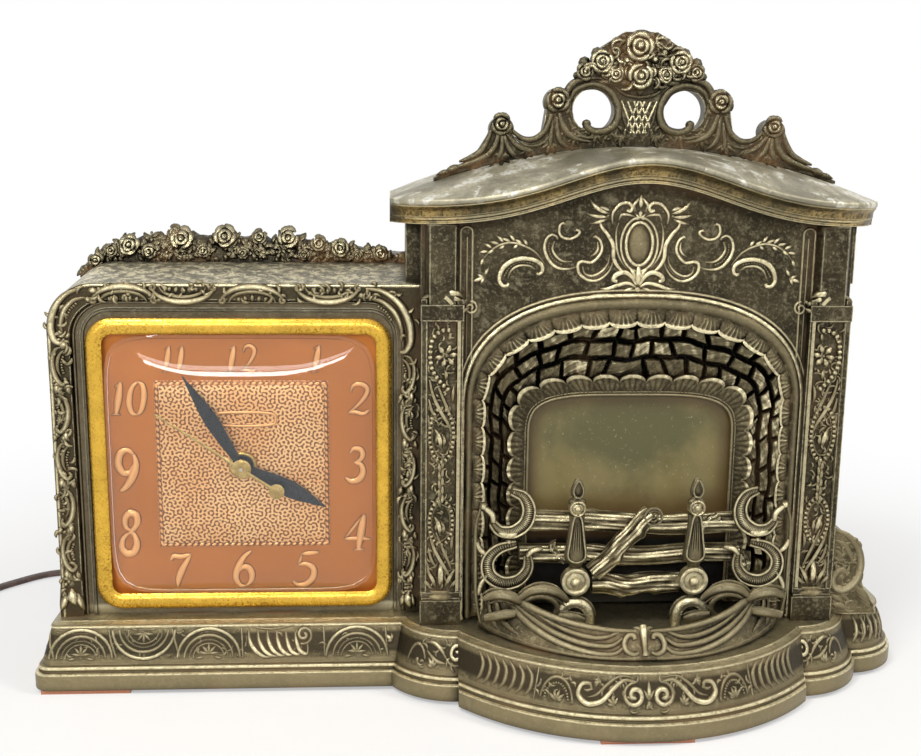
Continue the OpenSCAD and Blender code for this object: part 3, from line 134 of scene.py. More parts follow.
class ClockStage(bpy.types.PropertyGroup):
    """Table and lamps"""
    floor: colour("Floor", "Colour of the table", (0.93, 0.93, 0.93))
    key: bpy.props.FloatProperty(
        name="Main lamp", description="Power of the main soft lamp", default=9.0, min=0, max=60, unit="POWER"
    )


GROUPS = (("clock_finish", ClockFinish), ("clock_ornament", ClockOrnament), ("clock_stage", ClockStage))


def scaled(colour, by):
    return [c * by for c in colour]


def blended(a, b, share_a, share_b):
    return [share_a * p + share_b * q for p, q in zip(a, b)]


# Nodes of a material
class Shade:
    """A material whose nodes are added one by one; every pattern lies in the object's own space."""

    def __init__(self, name):
        self.mat = bpy.data.materials.new(name)
        self.mat.use_nodes = True
        self.tree = self.mat.node_tree
        self.tree.nodes.clear()
        self.out = self.add("ShaderNodeOutputMaterial")
        self.coord = self.add("ShaderNodeTexCoord").outputs["Object"]

    def add(self, kind, **values):
        node = self.tree.nodes.new(kind)
        for key, value in values.items():
            if key in node.inputs.keys():
                self.feed(node.inputs[key], value)
            else:
                setattr(node, key, value)
        return node

    def feed(self, socket, value):
        if isinstance(value, bpy.types.NodeSocket):
            self.tree.links.new(value, socket)
        elif socket.type == "RGBA" and len(value) == 3:
            socket.default_value = (*value, 1)
        else:
            socket.default_value = value

    def noise(self, scale, detail=3.0, rough=0.5, warp=0.0):
        node = self.add("ShaderNodeTexNoise", Scale=scale, Detail=detail, Roughness=rough, Distortion=warp)
        self.feed(node.inputs["Vector"], self.coord)
        return node.outputs["Fac"]

    def spread(self, value, low, high, to_low=0.0, to_high=1.0):
        node = self.add("ShaderNodeMapRange", interpolation_type="SMOOTHSTEP")
        for i, v in enumerate((value, low, high, to_low, to_high)):
            self.feed(node.inputs[i], v)
        return node.outputs[0]

    def sum(self, kind, a, b, clamp=False):
        node = self.add("ShaderNodeMath", operation=kind, use_clamp=clamp)
        self.feed(node.inputs[0], a)
        self.feed(node.inputs[1], b)
        return node.outputs[0]

    def plus(self, a, b, clamp=False):
        return self.sum("ADD", a, b, clamp)

    def minus(self, a, b):
        return self.sum("SUBTRACT", a, b)

    def times(self, a, b, clamp=False):
        return self.sum("MULTIPLY", a, b, clamp)

    def axis(self, name, vector=None):
        """One part of a vector, else of the place."""
        return self.add("ShaderNodeSeparateXYZ", Vector=vector or self.coord).outputs[name]

    def vector(self, kind, a, b=None):
        node = self.add("ShaderNodeVectorMath", operation=kind)
        self.feed(node.inputs[0], a)
        if b is not None:
            self.feed(node.inputs[1], b)
        return node.outputs["Value" if kind in ("LENGTH", "DOT_PRODUCT") else "Vector"]

    def mix(self, fac, a, b):
        node = self.add("ShaderNodeMix", data_type="RGBA")
        self.feed(node.inputs["Factor"], fac)
        self.feed(node.inputs[6], a)
        self.feed(node.inputs[7], b)
        return node.outputs[2]

    def level(self, fac, a, b):
        node = self.add("ShaderNodeMix", data_type="FLOAT")
        self.feed(node.inputs[0], fac)
        self.feed(node.inputs[2], a)
        self.feed(node.inputs[3], b)
        return node.outputs[0]

    def drawn(self, name):
        return self.add("ShaderNodeAttribute", attribute_name=name).outputs["Fac"]

    def bump(self, height, strength, distance):
        node = self.add("ShaderNodeBump", Strength=strength, Distance=distance, Height=height)
        return node.outputs["Normal"]

    def close(self, **values):
        node = self.add("ShaderNodeBsdfPrincipled", **values)
        self.tree.links.new(node.outputs[0], self.out.inputs["Surface"])
        return self.mat


def worn_edge(s, shape):
    """1 along sharp outer edges of large plain faces."""
    round_off = s.add("ShaderNodeBevel", samples=4, Radius=0.0008).outputs[0]
    return s.spread(s.vector("DOT_PRODUCT", round_off, shape["Normal"]), 0.985, 0.88)


def cast_metal(f, name, ground, high, carved=True, dusty=0.6, gloss=0.38, roof=False, pit=1.0, pale_under=0.0):
    """Cast metal: dark in its hollows, with painted shade where other parts close in over it, washed on its flats and
    rubbed bright where it stands up.

    carved metal reads the drawn relief, roof puts grey metal on level faces, pit scales the colour of the hollows and
    of the painted shade, and pale_under is the height under which the wash has gone.
    """
    s = Shade(name)
    shape = s.add("ShaderNodeNewGeometry").outputs
    broad = s.noise(70, 5, 0.62)
    patch = s.noise(260, 4, 0.6)
    grain = s.noise(1900, 3, 0.6)
    fleck = s.noise(720, 5, 0.72, 0.5)
    flat = s.mix(s.spread(broad, 0.36, 0.62), scaled(ground, 0.5), scaled(ground, 1.15))
    flat = s.mix(s.spread(patch, 0.54, 0.72, 0.0, 0.7), flat, blended(ground, high, 0.80, 0.20))
    flat = s.mix(s.spread(fleck, 0.50, 0.70, 0.0, 0.7), flat, blended(ground, high, 0.78, 0.22))
    flat = s.mix(s.spread(fleck, 0.46, 0.30, 0.0, 0.6), flat, scaled(ground, 0.35))
    rise = 0.0
    if pale_under:
        flat = s.mix(s.spread(s.axis("Z"), pale_under * MM, (pale_under - 1.5) * MM), flat, scaled(f.silver, 1.2))
    if roof:
        flat = s.mix(s.spread(s.axis("Y", shape["Normal"]), -0.4, -0.9), flat, scaled(ground, 0.4))
        grey = s.mix(s.spread(patch, 0.44, 0.58), scaled(f.silver, 0.70), (0.80, 0.72, 0.50))
        grey = s.mix(s.spread(fleck, 0.52, 0.60, 0.0, 0.95), grey, scaled(f.silver, 0.24))
        flat = s.mix(s.spread(s.axis("Z", shape["Normal"]), 0.5, 0.95), flat, grey)
    if carved:
        relief = s.drawn("relief")
        flat = s.mix(s.spread(relief, -0.05, -0.85), flat, scaled(blended(f.hollow, ground, 1.2, 0.10), pit))
        flat = s.mix(s.spread(relief, 0.02, 0.45, 0.0, 0.75), flat, blended(ground, high, 1.1, 0.09))
        rise = s.spread(relief, 0.46, 0.95)
        edge = s.times(s.spread(shape["Pointiness"], 0.54, 0.72), 0.7)
    else:
        edge = worn_edge(s, shape)
    hidden = s.add("ShaderNodeAmbientOcclusion", Distance=0.0042, samples=4).outputs["AO"]
    edge = s.times(edge, s.spread(hidden, 0.72, 0.9, 0.0, 0.8))
    worn = s.sum("MAXIMUM", edge, rise)
    worn = s.times(worn, s.spread(s.plus(patch, s.times(grain, 0.35)), 0.40, 0.76, 0.45, 1.0))
    worn = s.times(worn, s.spread(fleck, 0.34, 0.52, 0.35, 1.0))
    worn = s.times(worn, 0.4 + f.wear, clamp=True)
    # painted shade: deep is where the ambient occlusion finds parts close by, and there the colour goes to the hollow
    # colour scaled by pit
    deep = s.spread(hidden, 0.42, 1.0)
    paint = s.mix(deep, scaled(f.hollow, pit), flat)
    paint = s.mix(worn, paint, high)
    corner = s.times(s.spread(hidden, 0.88, 0.5), s.spread(s.noise(34, 4, 0.6), 0.44, 0.66, 0.0, dusty), clamp=True)
    paint = s.mix(corner, paint, f.dust)
    dull = s.level(worn, gloss, gloss - 0.12)
    dull = s.level(corner, dull, 0.85)
    dull = s.plus(dull, s.times(s.minus(patch, 0.5), 0.22))
    fine = s.plus(s.times(fleck, 0.5), s.times(grain, 0.15))
    normal = s.bump(s.plus(s.times(patch, 0.5), fine), 0.6, 0.0009)
    return s.close(**{"Base Color": paint, "Metallic": s.level(corner, 0.86, 0.1), "Roughness": dull,
                      "Normal": normal})


def shelf_metal(f):
    """Shelf: a gilded hollow moulding under a top where grey and white metal come and go."""
    s = Shade("mottled shelf")
    top = s.spread(s.drawn("relief"), 0.3, 0.7)
    broad = s.noise(42, 5, 0.65, 0.6)
    patch = s.noise(190, 4, 0.6)
    speck = s.noise(800, 4, 0.75)
    grey = s.mix(s.spread(broad, 0.36, 0.62), scaled(f.silver, 0.52), scaled(f.silver, 1.1))
    grey = s.mix(s.spread(s.times(patch, s.times(broad, 2.0)), 0.54, 0.66, 0.0, 0.8), grey, (0.70, 0.69, 0.62))
    grey = s.mix(s.spread(speck, 0.52, 0.66, 0.0, 0.6), grey, scaled(f.silver, 0.4))
    gold = s.mix(s.spread(broad, 0.38, 0.62), scaled(f.wash, 0.8), (0.42, 0.30, 0.115))
    gold = s.mix(s.spread(patch, 0.54, 0.70, 0.0, 0.7), gold, scaled(f.wash, 0.45))
    gold = s.mix(s.spread(speck, 0.46, 0.60, 0.0, 0.85), gold, scaled(f.wash, 0.35))
    shape = s.add("ShaderNodeNewGeometry").outputs
    paint = s.mix(s.times(worn_edge(s, shape), 0.75), s.mix(top, gold, grey), f.rubbed)
    rough = s.plus(s.spread(patch, 0.3, 0.7, 0.34, 0.50), s.times(top, 0.06))
    return s.close(**{"Base Color": paint, "Metallic": s.level(top, 0.9, 0.72), "Roughness": rough,
                      "Normal": s.bump(patch, 0.3, 0.0005)})


def coat(name, cloud, turn, low, high, rough, grain=None, glassy=0.0, **values):
    """A finish whose colour comes and goes between two.

    cloud is the noise of the colour and turn where it changes over. rough is a number, or a noise
    with the roughness at its two ends. grain is the noise of the bump with its strength and depth.
    """
    s = Shade(name)
    share = s.spread(s.noise(*cloud), *turn) if turn else s.noise(*cloud)
    values["Base Color"] = s.mix(share, low, high)
    if isinstance(rough, tuple):
        scale, detail, smooth, dull = rough
        rough = s.spread(s.noise(scale, detail, 0.6), 0.3, 0.7, smooth, dull)
    if grain:
        values["Normal"] = s.bump(s.noise(*grain[:3]), *grain[3:])
    if glassy:
        values.update({"Transmission Weight": glassy, "IOR": 1.45})
    return s.close(Roughness=rough, **values)


def cast_finishes(f):
    """Finishes of the cast metal, by name."""
    bronze, rubbed = f.wash, f.rubbed
    return {
        "bronze": cast_metal(f, "antique bronze", scaled(bronze, 1.3), rubbed, dusty=1.0),
        "ornament": cast_metal(f, "rubbed relief", bronze, rubbed, dusty=0.35),
        "dusty": cast_metal(f, "dusty bronze", scaled(bronze, 0.45), scaled(rubbed, 0.80), dusty=1.8, gloss=0.30,
                            pit=0.5),
        "silver": cast_metal(f, "worn silvered metal", f.silver, (0.62, 0.60, 0.50), dusty=0.25, gloss=0.46),
        "plate": cast_metal(f, "grey bronze plate", (0.115, 0.100, 0.064), (0.60, 0.55, 0.38), dusty=0.2, pit=5.0,
                            pale_under=DECK + 4.5),
        "shelf": shelf_metal(f),
        "plain": cast_metal(f, "bronzed metal", bronze, rubbed, carved=False),
        "case": cast_metal(f, "case metal", bronze, rubbed, carved=False, roof=True),
        "ground": cast_metal(f, "dark ground", scaled(bronze, 0.38), rubbed, carved=False),
        "stones": cast_metal(f, "sooty stones", scaled(bronze, 0.7), scaled(rubbed, 0.85), dusty=0.4, pit=0.12),
        "sooty": cast_metal(f, "sooty bronze", scaled(bronze, 0.5), scaled(rubbed, 0.7), carved=False, dusty=0.8),
        "sooty_relief": cast_metal(f, "sooty relief", scaled(bronze, 0.8), scaled(rubbed, 0.9), dusty=0.6, pit=0.5),
    }


def plain_finishes(f):
    """Finishes of the small parts, by name."""
    return {
        "dial": coat("copper dial", (26, 3, 0.5), (0.3, 0.7), scaled(f.dial, 0.90), f.dial, 0.40,
                     (5200, 2, 0.5, 0.06, 0.0001),
                     Metallic=0.45),
        "lacquer": coat("blue black lacquer", (700, 4, 0.6), (0.55, 0.7), f.hands, scaled(f.hands, 2.4),
                        (900, 3, 0.26, 0.42),
                        (2400, 2, 0.5, 0.05, 0.0001), Metallic=0.2),
        "cord": coat("aged brown rubber", (330, 4, 0.6), (0.35, 0.7), f.cord, scaled(f.cord, 2.3),
                     (800, 3, 0.38, 0.6),
                     (1500, 3, 0.6, 0.2, 0.0003)),
        "bakelite": coat("dark moulded plastic", (120, 5, 0.7, 1.0), (0.42, 0.66), (0.030, 0.018, 0.013),
                         (0.075, 0.042, 0.028),
                         (500, 3, 0.24, 0.40), (900, 2, 0.5, 0.06, 0.0002)),
        "brass": coat("train brass", (210, 4, 0.6), (0.38, 0.68), (0.40, 0.27, 0.085), (0.68, 0.50, 0.20),
                      (1500, 3, 0.26, 0.42),
                      (3000, 2, 0.6, 0.10, 0.0001), Metallic=0.95),
        "steel": coat("plain steel", (260, 4, 0.65), (0.55, 0.75), (0.47, 0.47, 0.46), (0.24, 0.20, 0.16),
                      (1300, 3, 0.26, 0.46),
                      (2600, 2, 0.6, 0.10, 0.0001), Metallic=0.95),
        "can": coat("coppered can", (150, 5, 0.6), (0.4, 0.7), (0.38, 0.19, 0.09), (0.20, 0.11, 0.06), 0.38,
                    (1800, 3, 0.6, 0.12, 0.0002), Metallic=0.8),
        "sheet": coat("brown painted sheet", (90, 5, 0.65), (0.38, 0.70), (0.035, 0.028, 0.020),
                      (0.085, 0.066, 0.045),
                      (600, 4, 0.42, 0.62), (1400, 3, 0.6, 0.15, 0.0003), Metallic=0.3),
        "felt": coat("terracotta felt", (1500, 4, 0.7), None, (0.30, 0.10, 0.05), (0.58, 0.27, 0.16), 0.95,
                     (3200, 3, 0.7, 0.5, 0.0004), **{"Sheen Weight": 0.3}),
        "bulb": coat("amber lamp glass", (120, 3, 0.5), (0.3, 0.7), (0.80, 0.36, 0.06), (0.92, 0.52, 0.14), 0.18,
                     glassy=0.5),
        "film": coat("flame film", (90, 3, 0.5, 1.5), (0.4, 0.62), (0.62, 0.09, 0.02), (0.88, 0.42, 0.06), 0.35,
                     glassy=0.35),
    }


def speckled_gilt(f):
    """Gilt with worn pits."""
    s = Shade("speckled gilt")
    pit = s.spread(s.noise(1150, 4, 0.8), 0.50, 0.60)
    worn = s.spread(s.noise(60, 4, 0.6), 0.40, 0.66, 0.15, 0.85)
    tone = s.mix(s.spread(s.noise(90, 4, 0.65), 0.38, 0.64), scaled(f.gilt, 0.84), f.gilt)
    tone = s.mix(s.spread(s.noise(700, 3, 0.6), 0.55, 0.7, 0.0, 0.35), tone, (0.30, 0.15, 0.02))
    paint = s.mix(s.times(pit, worn), tone, (0.24, 0.11, 0.012))
    return s.close(**{"Base Color": paint, "Metallic": 0.9, "Roughness": s.level(pit, 0.24, 0.5),
                      "Normal": s.bump(s.minus(1.0, pit), 0.15, 0.0002)})


WORM_WAVES = 7
WORM_TURNS = 4300


def hammered_copper():
    """Copper struck all over with short worms: the sum of waves of about one length in all directions."""
    s = Shade("hammered copper")
    axes = s.add("ShaderNodeSeparateXYZ", Vector=s.coord).outputs
    drift = s.noise(150, 0.0, 0.5)
    waves = 0.0
    for k in range(WORM_WAVES):
        a, turns = 0.2 + pi * k / WORM_WAVES, WORM_TURNS * (0.88 + 0.24 * (3 * k % WORM_WAVES) / WORM_WAVES)
        along = s.times(axes["X"], turns * cos(a))
        run = s.plus(along, s.times(axes["Z"], turns * sin(a)))
        bends = s.plus(run, s.times(drift, (-9.0, 9.0)[k % 2]))
        waves = s.plus(waves, s.sum("SINE", s.plus(bends, 2.4 * k), 0.0))
    ridge = s.spread(waves, -1.15, 0.0)
    paint = s.mix(s.spread(s.noise(40, 3, 0.5), 0.35, 0.65), (0.94, 0.51, 0.20), (1.0, 0.64, 0.30))
    paint = s.mix(ridge, (0.33, 0.105, 0.026), paint)
    paint = s.mix(s.spread(s.drawn("relief"), -0.2, -0.8), paint, (0.30, 0.10, 0.03))
    return s.close(**{"Base Color": paint, "Metallic": 0.55, "Roughness": 0.36, "Normal": s.bump(ridge, 0.9, 0.0006)})


def bright_figures(f):
    """Bright copper that darkens towards its ground."""
    s = Shade("bright copper")
    paint = s.mix(s.spread(s.drawn("relief"), 0.1, 0.7), (0.17, 0.055, 0.02), f.figures)
    return s.close(**{"Base Color": paint, "Metallic": 0.55, "Roughness": 0.34,
                      "Normal": s.bump(s.noise(2600, 2, 0.5), 0.08, 0.0001)})


def clear_glass():
    s = Shade("clear glass")
    return s.close(**{"Base Color": (1.0, 1.0, 1.0), "Transmission Weight": 1.0, "IOR": 1.4,
                      "Roughness": s.spread(s.noise(90, 4, 0.6), 0.45, 0.75, 0.0, 0.035)})


def grimy_film_with_painted_shade():
    """Amber film with a grey green cloud high in its middle, darker towards its rim and brown below; behind the logs
    it turns black, as painted shade for the dark hollow of the hearth.
    """
    s = Shade("grimy amber film")
    height = s.axis("Z")
    blot = s.noise(30, 5, 0.6, 0.3)
    speck = s.noise(900, 3, 0.7)
    from_middle = s.vector("SUBTRACT", s.coord, (FX * MM, 0, (DECK + WIN_TOP - 17) * MM))
    away = s.vector("LENGTH", s.vector("MULTIPLY", from_middle, (26, 0, 54)))
    cloud = s.plus(away, s.times(s.minus(blot, 0.5), 2.6))
    paint = s.mix(s.spread(cloud, 0.55, 1.45), (0.092, 0.085, 0.030), (0.205, 0.166, 0.060))
    paint = s.mix(s.spread(speck, 0.62, 0.74, 0.0, 0.7), paint, (0.42, 0.38, 0.24))
    paint = s.mix(s.spread(s.drawn("relief"), 0.0, 1.0, 0.0, 0.85), paint, (0.085, 0.05, 0.012))
    low = s.plus(height, s.times(s.minus(blot, 0.5), 0.018))
    paint = s.mix(s.spread(low, (DECK + 38) * MM, (DECK + 56) * MM), (0.10, 0.055, 0.018), paint)
    # painted shade: the film goes black low down, standing in for the dark hollow behind the logs
    paint = s.mix(s.spread(height, (DECK + 30) * MM, (DECK + 36) * MM), (0.004, 0.003, 0.002), paint)
    return s.close(**{"Base Color": paint, "Roughness": s.spread(speck, 0.4, 0.7, 0.34, 0.55),
                      "Transmission Weight": 0.08, "IOR": 1.45, "Normal": s.bump(speck, 0.12, 0.0002)})


def cloth_tape():
    """Cloth tape wound round a coil."""
    s = Shade("varnished cloth tape")
    wrap = s.add("ShaderNodeTexWave", Scale=110.0, Distortion=1.5, bands_direction="X", Vector=s.coord).outputs["Fac"]
    return s.close(**{"Base Color": s.mix(wrap, (0.13, 0.045, 0.018), (0.30, 0.12, 0.045)),
                      "Roughness": 0.5, "Normal": s.bump(wrap, 0.4, 0.0004)})


def stacked_iron():
    """Iron in thin sheets, one on the other."""
    s = Shade("japanned iron")
    paint = s.mix(s.spread(s.noise(300, 4, 0.6), 0.4, 0.7), (0.020, 0.020, 0.021), (0.065, 0.058, 0.050))
    sheets = s.add("ShaderNodeTexWave", Scale=160.0, bands_direction="Y").outputs["Fac"]
    return s.close(**{"Base Color": paint, "Metallic": 0.5, "Roughness": 0.48,
                      "Normal": s.bump(sheets, 0.25, 0.0003)})


def make_finishes(context):
    """Every finish of the clock, by name."""
    f = context.scene.clock_finish
    return {
        **cast_finishes(f), **plain_finishes(f), "gilt": speckled_gilt(f), "hammered": hammered_copper(),
        "figures": bright_figures(f), "glass": clear_glass(), "screen": grimy_film_with_painted_shade(), "tape": cloth_tape(),
        "iron": stacked_iron(),
    }


FINISH = {}


# Making and shaping of pieces. All drawings are in millimetres.
def alone(ob):
    """Makes a piece the only one selected."""
    bpy.ops.object.select_all(action="DESELECT")
    ob.select_set(True)
    bpy.context.view_layer.objects.active = ob


def hand_over(ob, finish, slot, *nodes, angle=38, body=HOME):
    """Shades a piece, gives it its finish and its body, and lets it stand for its solids."""
    alone(ob)
    bpy.ops.object.shade_smooth_by_angle(angle=radians(angle))
    ob.data.materials.clear()
    ob.data.materials.append(FINISH[finish])
    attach(ob, body)
    if nodes:
        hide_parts(*nodes)
    return ob


def mark_relief(ob, values):
    """Writes a mark for each point, for the finish to read: mostly how far it stands up, and on the stones and the
    keen relief also painted light and shade.
    """
    layer = ob.data.attributes.get("relief") or ob.data.attributes.new("relief", "FLOAT", "POINT")
    layer.data.foreach_set("value", values)


def sheet_of(name, rows, ring=False, loop=False, caps=False, relief=None):
    """A grid primitive whose rows of points are laid on given places; ring joins each row's ends, loop the rows."""
    nu, nv = len(rows[0]), len(rows)
    bpy.ops.object.select_all(action="DESELECT")
    bpy.ops.mesh.primitive_grid_add(x_subdivisions=nu - 1 + ring, y_subdivisions=nv - 1 + loop, size=1)
    ob = bpy.context.object
    ob.name = name
    ob.data.name = name
    wide = nu + ring
    co = []
    mark = []
    for j in range(nv + loop):
        row = rows[j % nv]
        for i in range(wide):
            co.extend(c * MM for c in row[i % nu])
            if relief:
                mark.append(relief[j % nv][i % nu])
    ob.data.vertices.foreach_set("co", co)
    if relief:
        mark_relief(ob, mark)
    ob.data.update()
    alone(ob)
    bpy.ops.object.mode_set(mode="EDIT")
    bpy.ops.mesh.select_all(action="SELECT")
    if ring or loop:
        bpy.ops.mesh.remove_doubles(threshold=1e-7)
    if caps:
        bpy.ops.mesh.select_all(action="DESELECT")
        bpy.ops.mesh.select_mode(type="EDGE")
        bpy.ops.mesh.select_non_manifold(extend=False)
        bpy.ops.mesh.edge_face_add()
    bpy.ops.mesh.select_all(action="SELECT")
    bpy.ops.mesh.normals_make_consistent(inside=False)
    bpy.ops.object.mode_set(mode="OBJECT")
    return ob


def smooth_path(pts, per=5, closed=False):
    """Points along a smooth curve through given ones."""
    n = len(pts)
    if n < 3 and not closed:
        return [tuple(p) for p in pts]
    out = []
    last = n if closed else n - 1
    for i in range(last):
        p0 = pts[(i - 1) % n] if closed or i > 0 else pts[0]
        p1, p2 = pts[i], pts[(i + 1) % n]
        p3 = pts[(i + 2) % n] if closed or i < n - 2 else pts[-1]
        for k in range(per):
            t = k / per
            out.append(tuple(
                0.5 * (2 * b + (c - a) * t + (2 * a - 5 * b + 4 * c - d) * t * t + (3 * b - a - 3 * c + d) * t ** 3)
                for a, b, c, d in zip(p0, p1, p2, p3)
            ))
    if not closed:
        out.append(tuple(pts[-1]))
    return out


def cast(name, strokes, place, sides=1, tall=1.5, fill=0.75, bold=1.0, painted_crown_light=0.0):
    """Scrolls and leaves in relief: tapering rounds drawn flat, then laid on a surface by place(u, v, w).

    sides is the fineness of the rounds, bold their width and fill their height for that width. tall is the height
    that counts as full relief, and keen paints shade on the flanks and leaves painted highlights on the crowns,
    whatever their height.
    """
    high = round(bpy.context.scene.clock_ornament.relief / (RELIEF * MM), 4)
    bpy.ops.object.select_all(action="DESELECT")
    bpy.ops.curve.primitive_nurbs_path_add()
    ob = bpy.context.object
    ob.name = name
    curve = ob.data
    curve.splines.clear()
    curve.dimensions = "3D"
    curve.twist_mode = "Z_UP"
    for pts, radii in strokes:
        spline = curve.splines.new("POLY")
        spline.points.add(len(pts) - 1)
        n = len(pts)
        for i, (p, point) in enumerate(zip(pts, spline.points)):
            t = i / (n - 1)
            r = radii(t) if callable(radii) else radii
            lift = p[2] if len(p) > 2 else 0.0
            point.co = (p[0], p[1], lift, 1)
            point.radius = max(bold * r, 0.04)
    curve.bevel_mode = "ROUND"
    curve.bevel_depth = 1.0
    curve.bevel_resolution = sides
    curve.use_fill_caps = True
    alone(ob)
    bpy.ops.object.convert(target="MESH")
    ob = bpy.context.object
    ob.data.name = name
    mesh = ob.data
    co = [0.0] * (3 * len(mesh.vertices))
    mesh.vertices.foreach_get("co", co)
    facing = [0.0] * len(co)
    mesh.vertices.foreach_get("normal", facing)
    out, mark = [], []
    for i in range(0, len(co), 3):
        u, v, w = co[i:i + 3]
        out.extend(c * MM for c in place(u, v, high * w * fill))
        # painted light: keen scales the mark by how far the point faces out, which paints shade on the flanks and
        # highlights on the crowns
        crown = abs(facing[i + 2]) ** 2.2
        mark.append(min(max(w * fill / tall, 0.0), 1.0) * (1 - painted_crown_light + painted_crown_light * crown))
    mesh.vertices.foreach_set("co", out)
    mark_relief(ob, mark)
    mesh.update()
    alone(ob)
    bpy.ops.object.mode_set(mode="EDIT")
    bpy.ops.mesh.select_all(action="SELECT")
    bpy.ops.mesh.normals_make_consistent(inside=False)
    bpy.ops.object.mode_set(mode="OBJECT")
    return ob


def joined(name, *obs):
    """Several meshes made one piece."""
    bpy.ops.object.select_all(action="DESELECT")
    for ob in obs:
        ob.select_set(True)
    bpy.context.view_layer.objects.active = obs[0]
    bpy.ops.object.join()
    obs[0].name = name
    obs[0].data.name = name
    return obs[0]


def taper(r, start=0.15, end=0.15, peak=0.5):
    """Thickness of a stroke: thin ends and a full middle."""
    def at(t):
        x = t / peak if t < peak else (1 - t) / (1 - peak)
        low = start if t < peak else end
        return r * (low + (1 - low) * sin(pi / 2 * max(min(x, 1), 0)))
    return at


def spiral(x, y, r, turns, start, r_end=0.15, hand=1, step=20):
    """A flat scroll that winds in from radius r about x, y; start and turns in degrees and turns."""
    n = max(int(abs(turns) * 360 / step), 4)
    out = []
    for i in range(n + 1):
        t = i / n
        a = radians(start + hand * turns * 360 * t)
        k = r * (1 - (1 - r_end) * t)
        out.append((x + k * cos(a), y + k * sin(a)))
    return out


def arc(x, y, rx, ry, a0, a1, step=12):
    n = max(int(abs(a1 - a0) / step), 3)
    return [
        (x + rx * cosd(a0 + (a1 - a0) * i / n), y + ry * sind(a0 + (a1 - a0) * i / n))
        for i in range(n + 1)
    ]


def leaf(x, y, a, size, width, curl=0.0, tip=0.05):
    """A pointed leaf from its foot, as one stroke that swells and curls."""
    pts = []
    for i in range(7):
        t = i / 6
        b = radians(a + curl * t)
        pts.append((x + size * t * cos(b), y + size * t * sin(b)))
    return (pts, taper(width, 0.25, tip, 0.42))


def fan(x, y, a, size, width, lobes=5, sweep=100, drop=0.35, tip=0.05):
    """A leaf of several lobes that open like a fan."""
    out = []
    for i in range(lobes):
        k = i / (lobes - 1) - 0.5
        out.append(leaf(x, y, a + sweep * k, size * (1 - drop * abs(2 * k)), width * (1 - 0.2 * abs(2 * k)), 18 * k,
                        tip))
    return out


def rose(x, y, r, lift=0.0, turn=0):
    """A rose seen from the front: curled petals in two rings round a wound heart."""
    out = [([(x - 0.12 * r, y, lift - 0.75 * r), (x, y, lift - 0.7 * r), (x + 0.12 * r, y, lift - 0.75 * r)],
            0.92 * r)]
    for count, far, wide, high, sweep in ((5, 0.76, 0.25, 0.0, 40), (3, 0.42, 0.20, 0.22, 62)):
        for k in range(count):
            a = turn + 360 * k / count + 17 * sin(3 * k + turn)
            px = [(qx, qy, lift + high * r) for qx, qy in arc(x, y, far * r, far * r, a - sweep, a + sweep, 20)]
            out.append((px, taper(wide * r, 0.3, 0.55, 0.6)))
    out.append(([(px, py, lift + 0.36 * r) for px, py in spiral(x, y, 0.16 * r, 1.0, turn, 0.1, 1, 40)],
                taper(0.13 * r, 0.6, 0.8)))
    return out


def hash_of(i, j=0):
    """A fixed number from 0 to 1 for a pair of counts."""
    x = sin(12.9898 * i + 78.233 * j + 4.1) * 43758.5453
    return x - x // 1


def filler(n, seed, x0, z0, x1, z1, r=0.5, size=2.2, lift=-0.15):
    """Small curls and buds that fill the ground between larger scrolls."""
    out = []
    for i in range(n):
        x, z = x0 + (x1 - x0) * hash_of(i, seed), z0 + (z1 - z0) * hash_of(i, seed + 1)
        a, k = 360 * hash_of(i, seed + 2), size * (0.5 + 0.7 * hash_of(i, seed + 3))
        up = lift + 0.3 * hash_of(i, seed + 4)
        out.append(([(px, pz, up) for px, pz in arc(x, z, k, k, a, a + 120, 24)], taper(r, 0.3, 0.3)))
    return out


def berry(x, y, r, lift=0.0):
    return ([(x - 0.01, y, lift - 0.6 * r), (x, y, lift - 0.1 * r), (x + 0.01, y, lift + 0.5 * r)],
            lambda t: r * (1.0, 1.0, 0.35)[round(2 * t)])


def beads(pts, r, gap=2.3):
    """A string of beads along a line, as one stroke that swells again and again."""
    length = [0.0]
    for a, b in zip(pts, pts[1:]):
        length.append(length[-1] + dist(a, b))
    n = max(int(length[-1] / (gap * r)), 2)
    out = []
    j = 0
    for i in range(6 * n + 1):
        d = length[-1] * i / (6 * n)
        while j < len(length) - 2 and length[j + 1] < d:
            j += 1
        t = (d - length[j]) / max(length[j + 1] - length[j], 1e-9)
        out.append(tuple(p + (q - p) * t for p, q in zip(pts[j], pts[j + 1])))
    return (out, lambda t: r * (0.25 + 0.75 * sqrt(abs(sin(pi * n * t)))))


def flip(strokes, x=0.0):
    """The same strokes on the other side of an upright line."""
    return [([(2 * x - p[0], *p[1:]) for p in pts], r) for pts, r in strokes]


def both(strokes, x=0.0):
    return strokes + flip(strokes, x)


def moved(strokes, dx, dy):
    """The same strokes in another place."""
    return [([(dx + p[0], dy + p[1], *p[2:]) for p in pts], r) for pts, r in strokes]


def on_front(y):
    """Lays a drawing in X and Z on an upright plane that faces the front."""
    return lambda u, v, w: (u, y - w, v)


# Camera, lamps and table
CAMERA_AT = (-0.0347, -0.4467, 0.2123)
CAMERA_LENS = 46.906
CAMERA_YAW = 3.318
CAMERA_PITCH = 11.346
CAMERA_ROLL = 0.598
CAMERA_SENSOR = 36
TABLE_R = 4
WORLD_POWER = 0.36


